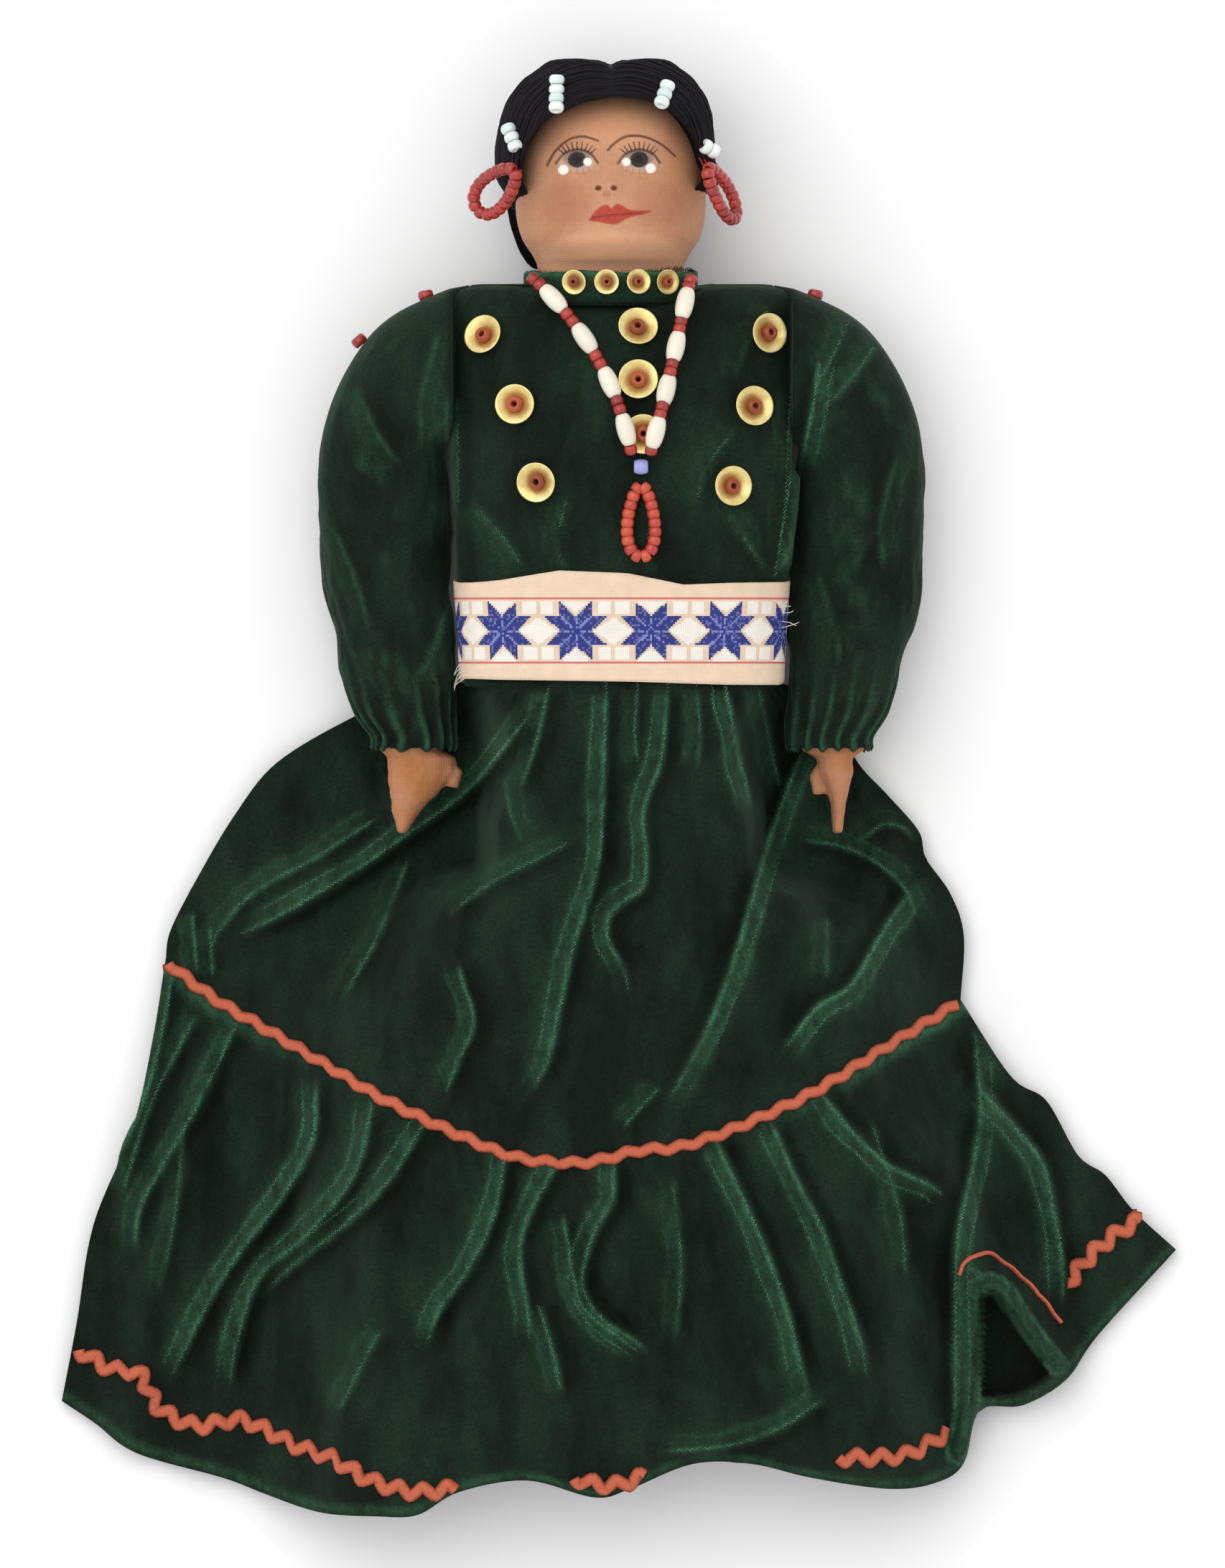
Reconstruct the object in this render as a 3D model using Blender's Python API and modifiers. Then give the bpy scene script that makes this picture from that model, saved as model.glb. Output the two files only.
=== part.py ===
"""A cloth doll in a velvet blouse and a tiered skirt, lying on its back.

Metres, +Z up. The doll's back is on Z = 0, its face looks up and its head points along +Y.
Shapes that rest on others are seated by casting a ray down onto them.
"""

import math

import bmesh
import bpy
from mathutils import Vector
from mathutils.bvhtree import BVHTree

MM = 0.001

# Fits
GAP = 0.3 * MM  # between pieces that touch or are sewn together
LAY_GAP = 0.45 * MM  # under a strip that bridges small folds
FLAT_CUT = 0.5 * MM  # how deep a soft form is cut where it lies on the floor
PIVOT_SIZE = 10 * MM  # of the empties drawn on the joints
OVERRUN = 6 * MM  # how far a cutter runs past what it cuts
RAY_HEIGHT = 200 * MM  # where a ray that looks for a surface starts

# Places of the body
BODY_X = 0.6 * MM  # the body's axis, from the middle of the spread skirt
WAIST_Y = 23.5 * MM  # the waist line, under the lower edge of the belt
BODY_Z = 20 * MM

# Stuffed body and blouse
BODY_HALF_WIDTH = 37 * MM
BODY_HALF_DEPTH = 20 * MM
BLOUSE_LENGTH = 84 * MM  # waist line to shoulder
BLOUSE_CLOTH = 1.3 * MM
HIP_LENGTH = 21 * MM  # how far the stuffed body goes below the waist
# Height share of the blouse, then shares of the half width and half depth, and squareness
BODY_SECTION_SHARES = (
    (0.0, 0.925, 0.875, 2.5),
    (0.14, 0.94, 0.90, 2.5),
    (0.30, 0.965, 0.97, 2.5),
    (0.48, 0.985, 1.02, 2.6),
    (0.66, 0.997, 1.0, 2.8),
    (0.80, 1.0, 0.93, 3.0),
    (0.90, 1.0, 0.84, 3.0),
    (0.955, 0.99, 0.72, 3.0),
    (0.985, 0.96, 0.50, 3.0),
    (1.0, 0.88, 0.18, 3.0),
)
HIP_SECTION_SHARES = ((-1.0, 0.56, 0.36, 2.5), (-0.93, 0.66, 0.52, 2.5), (-0.6, 0.74, 0.68, 2.5))
BODY_SIDES = 24

# Head, neck and collar
HEAD_X = -2.4 * MM  # the head leans to the doll's right, seen from the body's axis
HEAD_Z = 22 * MM
HEAD_HALF_WIDTH = 20.7 * MM
HEAD_HALF_DEPTH = 18 * MM
HEAD_LENGTH = 47 * MM  # neck's foot to crown, under the hair
NECK_SINK = 1.4 * MM  # how far the neck's foot is below the shoulder line
NECK_FOOT = BLOUSE_LENGTH - NECK_SINK  # above the waist line
# Length share, then shares of the half width, of the front depth and of the back depth
HEAD_SECTION_SHARES = (
    (0.0, 0.75, 0.54, 0.54),
    (0.14, 0.765, 0.565, 0.56),
    (0.20, 0.81, 0.70, 0.58),
    (0.28, 0.925, 0.93, 0.60),
    (0.37, 0.985, 0.99, 0.60),
    (0.47, 1.0, 1.02, 0.62),
    (0.58, 0.985, 1.03, 0.66),
    (0.68, 0.96, 1.02, 0.78),
    (0.78, 0.885, 0.95, 0.82),
    (0.87, 0.76, 0.82, 0.76),
    (0.94, 0.56, 0.60, 0.58),
    (0.985, 0.28, 0.32, 0.30),
)
HEAD_SIDES = 20
COLLAR_HALF_WIDTH = 18.9 * MM
COLLAR_HALF_DEPTH = 14.2 * MM
COLLAR_CLOTH = 1.6 * MM
COLLAR_HEIGHT = 4.6 * MM
COLLAR_DROP = 6 * MM  # how far it runs down over the slope of the shoulders
COLLAR_SEAT_SHARE = 1.4  # gaps under a collar sequin, whose flat foot stands on a curve

# Hair
HAIR_THICKNESS = 5.2 * MM
HAIR_BACK_THICKNESS = 3.6 * MM
HAIR_SIDE_THICKNESS = 4.2 * MM
HAIR_PART_DEPTH = 1.1 * MM  # the notch of the centre part
HAIR_PART_WIDTH = 3.5 * MM
HAIR_LOW_SHARE = 0.42  # where the cap ends beside the jaw, as a share of the head's length
HAIR_NAPE_SHARE = 0.66  # and over the bun, at the back
HAIR_GAP = 0.45 * MM  # between the cap and the head
HAIR_SIDES = 28
HAIR_STATIONS = 9
HAIR_SQUARENESS = 2.3  # of the rolled cap
FACE_OPENING_HALF_WIDTH = 18.6 * MM
FACE_OPENING_LENGTH = 56 * MM
FACE_OPENING_TOP_SHARE = 0.93  # the hairline, as a share of the head's length
FACE_OPENING_Z = 19 * MM
FACE_OPENING_SQUARENESS = 2.4
BUN_X = -3.4 * MM
BUN_Z = 5 * MM
BUN_LENGTH = 24 * MM
BUN_HALF_WIDTH = 17 * MM
BUN_HALF_DEPTH = 4.9 * MM
BUN_SHARES = (
    (0.0, 0.45, 0.40),
    (0.10, 0.86, 0.85),
    (0.26, 1.0, 1.0),
    (0.40, 0.72, 0.9),
    (0.48, 0.34, 0.78),
    (0.62, 0.34, 0.78),
    (0.70, 0.62, 0.9),
    (0.84, 0.80, 0.95),
    (0.95, 0.62, 0.75),
    (1.0, 0.36, 0.4),
)
BUN_SIDES = 16
TIE_SHARE = 0.55  # where the tie is, along the bun
TIE_LENGTH_SHARE = 0.10
TIE_THICKNESS = 0.5 * MM
TIE_HALF_WIDTH_SHARE = 0.34
TIE_HALF_DEPTH_SHARE = 0.78

# Sleeves, arms and hands
SLEEVE_CLEARANCE = 0.4 * MM  # beside the blouse, so that the arm can swing
ARMHOLE_DIAMETER = 34 * MM
ARMHOLE_DEPTH = 34 * MM
ARMPIT_RADIUS = 1.5 * MM
SLEEVE_LENGTH = 65 * MM  # armpit to wrist
SLEEVE_WIDTH = 28.2 * MM
SLEEVE_DEPTH = 28 * MM
SLEEVE_SIDES = 16
SLEEVE_SQUARENESS = 2.2
# Turn round the armpit in degrees, shares of the armhole's diameter and depth, lift share
SHOULDER_FAN_SHARES = (
    (0, 1.0, 1.0, 1.0),
    (14, 0.965, 0.985, 0.95),
    (30, 0.915, 0.95, 0.82),
    (48, 0.85, 0.90, 0.6),
    (68, 0.82, 0.86, 0.3),
    (88, 0.83, 0.83, 0.0),
)
# Share of the sleeve's length, of its width and depth, and lift over the floor as a share
SLEEVE_TUBE_SHARES = (
    (0.14, 1.01, 1.0, 0.0),
    (0.32, 0.995, 0.97, 0.0),
    (0.48, 0.965, 0.90, 0.15),
    (0.62, 0.90, 0.80, 0.6),
    (0.76, 0.82, 0.69, 1.1),
    (0.88, 0.72, 0.58, 1.3),
    (0.955, 0.60, 0.50, 1.3),
    (1.0, 0.60, 0.50, 1.3),
)
SLEEVE_LIFT = 7 * MM  # the skirt's cloth under the cuff
ARM_SIDES = 12
ARM_HALF_WIDTH = 7.0 * MM
ARM_HALF_DEPTH = 5.4 * MM
HAND_LENGTH = 19 * MM
# Share of the hand's length, then for its two edges the shares of the arm's half width, and depth
LEFT_HAND_SHARES = (
    (0.10, -1.40, 0.75, 0.95),
    (0.26, -1.42, 0.72, 0.85),
    (0.42, -1.05, 0.70, 0.75),
    (0.70, -0.32, 0.62, 0.62),
    (0.96, 0.12, 0.40, 0.45),
)
RIGHT_HAND_SHARES = (
    (0.10, -0.50, 0.62, 0.95),
    (0.26, -0.46, 0.66, 0.95),
    (0.42, -0.25, 0.58, 0.85),
    (0.62, -0.06, 0.42, 0.62),
    (0.96, 0.0, 0.30, 0.45),
)
LEFT_THUMB_SHARES = ((0.16, -0.95), (0.30, -1.38), (0.44, -1.30))
RIGHT_THUMB_SHARES = ((0.18, -0.20), (0.34, -0.46), (0.52, -0.44))
THUMB_RADIUS = 1.9 * MM
THUMB_TIP_SHARE = 0.7
THUMB_SIDES = 8

ARM_STATION_SHARES = (0.10, 0.35, 0.6, 0.85, 1.0)
ARM_SWELL = 1.6 * MM  # how much fuller the arm is at the shoulder
CLEAR_OF_ARM = 0.1 * MM
CUFF_ROOM_SHARES = (0.15, 0, 0, 1)  # where the hole for the arm leaves the cuff

# Legs and moccasins
LEG_X = 15 * MM
LEG_FLOOR = 2.8 * MM  # the legs lie on the skirt's back
LEG_HALF_WIDTH = 11.6 * MM
LEG_HALF_DEPTH = 10.6 * MM
LEG_LENGTH = 107 * MM  # from the middle of the hip's curve to the ankle
LEG_SIDES = 14
LEG_SHARES = (
    (0.12, 1.0, 1.0), (0.35, 0.93, 0.95), (0.6, 0.82, 0.86), (0.85, 0.66, 0.72), (1.0, 0.60, 0.66),
)
HIP_TURNS = (75, 50, 25, 0)  # degrees round the hip's curve
FOOT_HALF_WIDTH = 8 * MM
FOOT_THICKNESS = 12.5 * MM
FOOT_HEIGHT = 21 * MM
FOOT_SIDES = 14
FOOT_SQUARENESS = 2.6
# Height share, half width share, and the sole's and the upper's shares of the thickness
FOOT_SHARES = (
    (0.0, 0.50, 0.10, 0.80),
    (0.12, 0.82, 0.02, 0.97),
    (0.50, 0.92, 0.0, 1.0),
    (0.66, 1.0, 0.0, 0.76),
    (0.85, 0.92, 0.04, 0.56),
    (1.0, 0.50, 0.12, 0.42),
)

# Belt
BELT_WIDTH = 21.6 * MM
BELT_CLOTH = 0.9 * MM

# Skirt
CLOTH = 1.2 * MM
TRIM_THICKNESS = 0.6 * MM
SKIRT_BACK_Z = TRIM_THICKNESS + GAP  # the back panel lies on its own trim
SKIRT_EDGE_Z = SKIRT_BACK_Z + 2 * CLOTH + GAP  # top of the front panel at its edges
TIER_HALF_WIDTH = 86.5 * MM
TIER_LENGTH = 103.9 * MM
TIER_CROWN = 30 * MM
RUFFLE_HALF_WIDTH = 121.4 * MM
RUFFLE_LENGTH = 76 * MM
RUFFLE_CROWN = 28 * MM
SEAM_GAP = 0.5 * MM
LEG_ROOM_HALF_WIDTH = 47 * MM  # how far from the axis the cloth stays up over the legs
DRAPE_WIDTH = 40 * MM  # how far it takes to fall to the floor from there
HIP_ROOM_HALF_WIDTH = 29 * MM  # the same over the hips, between the hands
HIP_DRAPE_WIDTH = 8.5 * MM
HIP_ROOM_SHARE = 0.34  # how far down the tier that goes
TIER_COLUMNS = 38
TIER_ROWS = 13
RUFFLE_COLUMNS = 48
RUFFLE_ROWS = 10
BACK_COLUMNS = 22
BACK_ROWS = 5
BACK_ROW_POWER = 1.6  # the back's rows lie closer together near the waist
BACK_FALL_SHARE = 0.07
LEG_ROOM_SHARE = 0.62  # where the skirt is narrow, as a share of its half width
WAIST_GAP = 1.2 * MM  # under the belt
FRONT_WRAP = math.radians(4)  # how far below the waist's sides the front panel starts
BACK_WRAP = math.radians(45)  # and the back panel, which leaves a placket under each sleeve
WAIST_FALL_SHARE = 0.30  # of the tier's length, over which the cloth leaves the waist's shape
SEAM_CALM_SHARE = 0.22  # of a tier, over which its folds die away towards the seam
SIDE_FALL = 4.6 * MM  # how fast the cloth falls beside the waist, under the sleeves
EDGE_CALM_SHARE = 0.06  # of its width, over which they die away towards its sides
# Outlines: x as a share of the half width from the body's axis, y as a share of the length
TIER_LEFT_SHARES = (
    (-0.553, 0.026), (-0.683, 0.068), (-0.869, 0.161), (-0.976, 0.272), (-1.07, 0.404), (-1.137, 0.514),
    (-1.149, 0.58),
)
TIER_RIGHT_SHARES = (
    (0.513, 0.048), (0.595, 0.161), (0.669, 0.228), (0.748, 0.304), (0.766, 0.361), (0.829, 0.437),
    (0.862, 0.525), (0.853, 0.664),
)
SEAM_SHARES = (
    (-1.149, 0.58), (-1.023, 0.659), (-0.911, 0.714), (-0.721, 0.807), (-0.589, 0.871), (-0.381, 0.952),
    (-0.258, 0.99), (-0.098, 1.0), (0.045, 0.974), (0.139, 0.968), (0.257, 0.937), (0.376, 0.895),
    (0.495, 0.846), (0.676, 0.752), (0.853, 0.664),
)
RUFFLE_LEFT_SHARES = (
    (-0.841, -0.36), (-0.877, -0.103), (-0.948, 0.177), (-0.978, 0.457), (-1.005, 0.683),
)
RUFFLE_RIGHT_SHARES = (
    (0.699, -0.247), (0.762, -0.179), (0.819, -0.021), (0.868, 0.035), (0.918, 0.136), (0.995, 0.249),
)
HEM_SHARES = (
    (-1.005, 0.683), (-0.945, 0.747), (-0.87, 0.833), (-0.716, 0.903), (-0.635, 0.952), (-0.541, 1.0),
    (-0.439, 1.01), (-0.366, 1.006), (-0.291, 0.94), (-0.17, 0.907), (-0.049, 0.956), (0.014, 0.932),
    (0.127, 0.86), (0.233, 0.86), (0.339, 0.899), (0.48, 0.932), (0.565, 0.915), (0.614, 0.86),
    (0.642, 0.71), (0.72, 0.695), (0.798, 0.621), (0.855, 0.494), (0.995, 0.249),
)
# Folds: from (across, down) to (across, down) in shares, half width share, height in shares of a fold
FOLD_HEIGHT = 5 * MM
FOLD_END_SHARE = 0.15  # of a fold's length, over which it rises and dies away past its ends
TIER_FOLD_SHARES = (
    (0.43, -0.05, 0.43, 1.0, 0.040, 0.85),
    (0.62, -0.05, 0.54, 0.55, 0.035, 0.75),
    (0.80, -0.05, 0.77, 0.45, 0.035, 0.7),
    (0.92, 0.12, 0.62, 1.0, 0.045, 0.9),
    (0.36, 0.06, 0.07, 0.92, 0.045, 1.35),
    (0.22, -0.05, 0.26, 0.5, 0.035, 0.55),
    (0.47, 0.35, 0.34, 0.52, 0.035, 0.6),
    (0.95, 0.48, 0.78, 0.95, 0.045, 0.8),
    (0.31, -0.05, 0.34, 0.32, 0.03, 0.5),
    (0.71, -0.05, 0.69, 0.3, 0.03, 0.5),
    (0.52, -0.05, 0.50, 0.25, 0.03, 0.45),
)
RUFFLE_FOLD_SHARES = (
    (0.07, 0.0, 0.06, 1.0, 0.022, 0.9),
    (0.15, 0.0, 0.13, 1.0, 0.022, 0.8),
    (0.22, 0.0, 0.19, 0.8, 0.02, 0.8),
    (0.29, 0.0, 0.24, 1.0, 0.022, 0.9),
    (0.38, 0.0, 0.36, 0.85, 0.02, 0.8),
    (0.45, 0.0, 0.44, 0.9, 0.02, 0.9),
    (0.52, 0.0, 0.53, 0.7, 0.02, 0.7),
    (0.58, 0.0, 0.64, 1.0, 0.022, 0.9),
    (0.67, 0.0, 0.72, 0.85, 0.02, 0.8),
    (0.75, 0.1, 0.80, 1.0, 0.022, 1.0),
    (0.88, 0.2, 0.855, 1.0, 0.03, 2.3),
    (0.95, 0.2, 0.95, 0.9, 0.025, 0.9),
)
# Where the hands and cuffs press the cloth down, beside the body
HAND_DENT_INNER_X = 33 * MM
HAND_DENT_OUTER_X = 58 * MM
HAND_DENT_LENGTH = 46 * MM  # from the waist line
HAND_DENT_SLANT = 0.38  # how much further out it starts near the waist
HAND_DENT_SLANT_LENGTH = 15 * MM
HAND_DENT_EDGE = 4 * MM
HAND_DENT_RISE = 2.4 * MM  # the pressed cloth's height over the skirt's edge

# Rickrack
RICKRACK_WIDTH = 2.1 * MM
RICKRACK_SWING = 1.15 * MM
RICKRACK_PITCH = 5.9 * MM
TIER_TRIM_UP = 0.2 * MM  # the trim's middle line above the seam
HEM_TRIM_UP = 9 * MM  # and above the hem
HEM_TRIM_IN_SHARE = 0.93  # drawn in from the skirt's sides

# Sequin buttons
SEQUIN_RADIUS = 4.3 * MM
SEQUIN_RISE = 1.3 * MM
SEQUIN_SHEET = 0.35 * MM
SEQUIN_BEAD_RADIUS = 1.55 * MM
SEQUIN_BEAD_TOP = 2.5 * MM
SEQUIN_SEGMENTS = 10
SEQUIN_WELD = 0.1 * MM
# The bead's outline as shares of its radius and top, and the cup's as shares of its rim and rise
SEQUIN_BEAD_SHARES = ((0, 1), (0.75, 0.9), (1, 0.62))
SEQUIN_NECK_SHARES = (1.1, 0.43)
SEQUIN_FOOT_SHARE = 0.45
BEAD_FOOT_SHARES = (0.75, 0.2)
COLLAR_SEQUIN_SIZE_SHARE = 0.52
# Shares of the blouse's half width, from the body's axis, and of its length, from the waist
CHEST_SEQUIN_SHARES = {
    "left_upper": (-0.794, 0.889), "left_middle": (-0.617, 0.713), "left_lower": (-0.49, 0.513),
    "centre_upper": (0.093, 0.907), "centre_middle": (0.097, 0.775), "centre_lower": (0.127, 0.637),
    "right_upper": (0.874, 0.896), "right_middle": (0.76, 0.708), "right_lower": (0.634, 0.503),
}
COLLAR_SEQUIN_X_SHARES = {"outer_left": -0.40, "inner_left": -0.04, "inner_right": 0.30, "outer_right": 0.62}
# Side, and the turn round the armpit as a share
SHOULDER_BEAD_SHARES = {"left_inner": (-1, 0.10), "left_outer": (-1, 0.45), "right": (1, 0.09)}
SHOULDER_BEAD_Z = 19 * MM
SHOULDER_BEAD_GAP = 0.4 * MM

# Beads
SEED_RADIUS = 1.45 * MM
SEED_LENGTH = 2.2 * MM
OVAL_RADIUS = 2.0 * MM
OVAL_LENGTH = 7.4 * MM
BEAD_SIDES = 6
# Place along a bead and its girth there, both as shares
BEAD_FORM_SHARES = ((0.04, 0.6), (0.5, 1.05), (0.96, 0.6))
OVAL_FORM_SHARES = ((0.03, 0.5), (0.25, 0.95), (0.5, 1.05), (0.75, 0.95), (0.97, 0.5))
PENDANT_HALF_WIDTH = 3.8 * MM
PENDANT_LENGTH = 15.4 * MM
PENDANT_BEADS = 18
PENDANT_NECK_SHARE = 0.55
BLUE_BEAD_RADIUS = 1.7 * MM
NECKLACE_MEET_SHARE = 0.585  # where the strands meet, as a share of the blouse's length
NECKLACE_TOP_SHARE = 1.045
NECKLACE_CENTRE_X = 4.2 * MM  # from the body's axis
NECKLACE_HALF_WIDTH = 17.8 * MM
NECKLACE_BOTTOM_HALF_WIDTH = 2.0 * MM
# One strand from the collar down: s is a seed bead and o is an oval
STRAND = "ssossossossos"
NECKLACE_POINTS = 16
NECKLACE_LIFT = 0.15 * MM
NECKLACE_BEND = 0.8
SEAT_LIFT = 1.5  # gaps under a sequin, whose flat foot stands on a curve
EARRING_BEADS = 18
EARRING_HALF_WIDTH = 4.3 * MM
EARRING_LENGTH = 14.5 * MM
EAR_SHARE = 0.60  # of the head's length
EAR_X = 21 * MM  # from the head's middle
EAR_LIFT = 0.5 * MM
EAR_FALL_SHARE = 0.75  # how steeply the loops fall back, as a slope
EARRING_TAPER_SHARE = 0.4
# Side, how far the loop swings outward, and how far it is turned about its own length
EARRINGS = (
    ("left", -1, math.radians(44), math.radians(12)),
    ("right", 1, math.radians(32), math.radians(-58)),
)
HAIR_BEAD_RADIUS = 1.5 * MM
HAIR_BEAD_LENGTH = 2.1 * MM
HAIR_BEAD_POINTS = 6
# The two ends, as shares of the head's half width from its middle and of its length
HAIR_BEAD_SHARES = {
    "outer_left": (-1.08, 0.80, -0.99, 0.70), "inner_left": (-0.565, 1.015, -0.57, 0.89),
    "inner_right": (0.60, 0.995, 0.53, 0.905), "outer_right": (1.0, 0.71, 1.08, 0.69),
}

# Colours
SKIN, VELVET, HAIR = (0.48, 0.23, 0.12), (0.010, 0.030, 0.018), (0.010, 0.006, 0.010)
RED, IVORY, BLUE, GOLD = (0.45, 0.045, 0.03), (0.86, 0.80, 0.64), (0.03, 0.04, 0.25), (0.80, 0.62, 0.22)
CORAL, CREAM, WHITE = (0.62, 0.15, 0.06), (0.87, 0.74, 0.60), (0.80, 0.78, 0.72)


def material(name, colour, roughness=0.9, metallic=0.0):
    made = bpy.data.materials.new(name)
    made.use_nodes = True
    shader = made.node_tree.nodes["Principled BSDF"]
    shader.inputs["Base Color"].default_value = (*colour, 1)
    shader.inputs["Roughness"].default_value = roughness
    shader.inputs["Metallic"].default_value = metallic
    return made


def add(name, mesh, looks, collection="cloth_doll"):
    """A new object for a mesh, in a collection, with its own material."""
    group = bpy.data.collections.get(collection)
    if group is None:
        group = bpy.data.collections.new(collection)
        bpy.context.scene.collection.children.link(group)
    made = bpy.data.objects.new(name, mesh)
    group.objects.link(made)
    if collection == "cutters":
        made.hide_render = True
        made.display_type = "WIRE"
    else:
        mesh.materials.append(material(name, *looks))
        mesh.shade_smooth()
    return made


def mesh_of(form):
    """A bmesh as a mesh, with its faces pointing out."""
    bmesh.ops.recalc_face_normals(form, faces=form.faces)
    mesh = bpy.data.meshes.new("mesh")
    form.to_mesh(mesh)
    form.free()
    return mesh


def loft(rings, closed=False):
    """A skin over rings of points, with a fan of faces over each open end."""
    form = bmesh.new()
    rows = [[form.verts.new(point) for point in ring] for ring in rings]
    pairs = list(zip(rows, rows[1:]))
    if closed:
        pairs.append((rows[-1], rows[0]))
    for row, following in pairs:
        for i in range(len(row)):
            j = (i + 1) % len(row)
            form.faces.new((row[i], row[j], following[j], following[i]))
    if not closed:
        for row in (rows[0], rows[-1]):
            middle = form.verts.new(sum((v.co for v in row), Vector()) / len(row))
            for i in range(len(row)):
                form.faces.new((row[i], row[(i + 1) % len(row)], middle))
    return mesh_of(form)


def oval(sides, squareness=2.0):
    """Points round a rounded square of half size 1."""
    points = []
    for i in range(sides):
        turn = 2 * math.pi * i / sides
        c, s = math.cos(turn), math.sin(turn)
        power = 2 / squareness
        points.append((math.copysign(abs(c) ** power, c), math.copysign(abs(s) ** power, s)))
    return points


def section(x, y, z, half_width, front, back, sides, squareness=2.0):
    """A ring square to Y, never below the floor."""
    ring = []
    for a, b in oval(sides, squareness):
        height = z + b * (front if b > 0 else back)
        ring.append(Vector((x + a * half_width, y, max(height, 0))))
    return ring


def cut(target, cutter):
    """A hole with the shape of the cutter."""
    hole = target.modifiers.new("cut", "BOOLEAN")
    hole.operation = "DIFFERENCE"
    hole.solver = "EXACT"
    hole.object = cutter


def join(target, piece):
    """Two overlapping forms sewn into one."""
    seam = target.modifiers.new("join", "BOOLEAN")
    seam.operation = "UNION"
    seam.solver = "EXACT"
    seam.object = piece


def surface(*names):
    """What a ray meets: one search tree for each named object as it is now."""
    bpy.context.view_layer.update()
    graph = bpy.context.evaluated_depsgraph_get()
    trees = []
    for name in names:
        shown = bpy.data.objects[name].evaluated_get(graph)
        mesh = shown.to_mesh()
        points = [shown.matrix_world @ v.co for v in mesh.vertices]
        trees.append(BVHTree.FromPolygons(points, [tuple(face.vertices) for face in mesh.polygons]))
        shown.to_mesh_clear()
    return trees


def top_of(trees, x, y, around=0.0):
    """The highest point over a place, or over a small circle round it."""
    spots = [(x, y)]
    if around:
        spots += [(x + around * a, y + around * b) for a, b in oval(8)]
    heights = []
    for spot_x, spot_y in spots:
        for tree in trees:
            hit = tree.ray_cast(Vector((spot_x, spot_y, RAY_HEIGHT)), Vector((0, 0, -1)))[0]
            if hit is not None:
                heights.append(hit.z)
    return max(heights) if heights else 0.0


def along(points, share):
    """The point at a share of the length of a chain of points."""
    lengths = [0.0]
    for a, b in zip(points, points[1:]):
        lengths.append(lengths[-1] + (b - a).length)
    wanted = min(max(share, 0), 1) * lengths[-1]
    for i in range(len(points) - 1):
        if wanted <= lengths[i + 1] or i == len(points) - 2:
            part = (wanted - lengths[i]) / (lengths[i + 1] - lengths[i])
            return points[i].lerp(points[i + 1], part)


def length_of(points):
    return sum((b - a).length for a, b in zip(points, points[1:]))


def smooth(points, per_span=4):
    """A Catmull-Rom curve through the points."""
    ends = [2 * points[0] - points[1], *points, 2 * points[-1] - points[-2]]
    curve = []
    for p, q, r, s in zip(ends, ends[1:], ends[2:], ends[3:]):
        for i in range(per_span):
            t = i / per_span
            curve.append(
                0.5 * (2 * q + (r - p) * t + (2 * p - 5 * q + 4 * r - s) * t * t
                       + (3 * q - p - 3 * r + s) * t * t * t)
            )
    curve.append(points[-1].copy())
    return curve


def body_rings(inset, stations, low=None):
    """Rings of the stuffed body, drawn in by a wall."""
    rings = []
    for share, width, depth, squareness in stations:
        y = WAIST_Y + share * (BLOUSE_LENGTH - inset)
        if share < 0:
            y = WAIST_Y + share * HIP_LENGTH
        if low is not None and not rings:
            y = low
        half_depth = BODY_HALF_DEPTH * depth - inset
        half_width = BODY_HALF_WIDTH * width - inset
        ring = section(BODY_X, y, BODY_Z, half_width, half_depth, half_depth + FLAT_CUT,
                       BODY_SIDES, squareness)
        floor = inset if inset else 0
        rings.append([Vector((p.x, p.y, max(p.z, floor))) for p in ring])
    return rings


def make_body():
    wall = BLOUSE_CLOTH + GAP
    add("stuffed_body", loft(body_rings(wall, HIP_SECTION_SHARES + BODY_SECTION_SHARES)), (SKIN,))
    blouse = add("blouse_body", loft(body_rings(0, BODY_SECTION_SHARES)), (VELVET,))
    inside = body_rings(BLOUSE_CLOTH, BODY_SECTION_SHARES, WAIST_Y - OVERRUN)
    cut(blouse, add("blouse_inside", loft(inside), None, "cutters"))
    return blouse


def head_rings(grow=0.0, shares=HEAD_SECTION_SHARES, sides=HEAD_SIDES):
    rings = []
    for share, width, front, back in shares:
        y = WAIST_Y + NECK_FOOT + share * (HEAD_LENGTH + grow)
        rings.append(section(BODY_X + HEAD_X, y, HEAD_Z, HEAD_HALF_WIDTH * width + grow,
                             HEAD_HALF_DEPTH * front + grow, HEAD_HALF_DEPTH * back + grow, sides))
    return rings


def make_head():
    return add("head", loft(head_rings()), (SKIN,))


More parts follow.
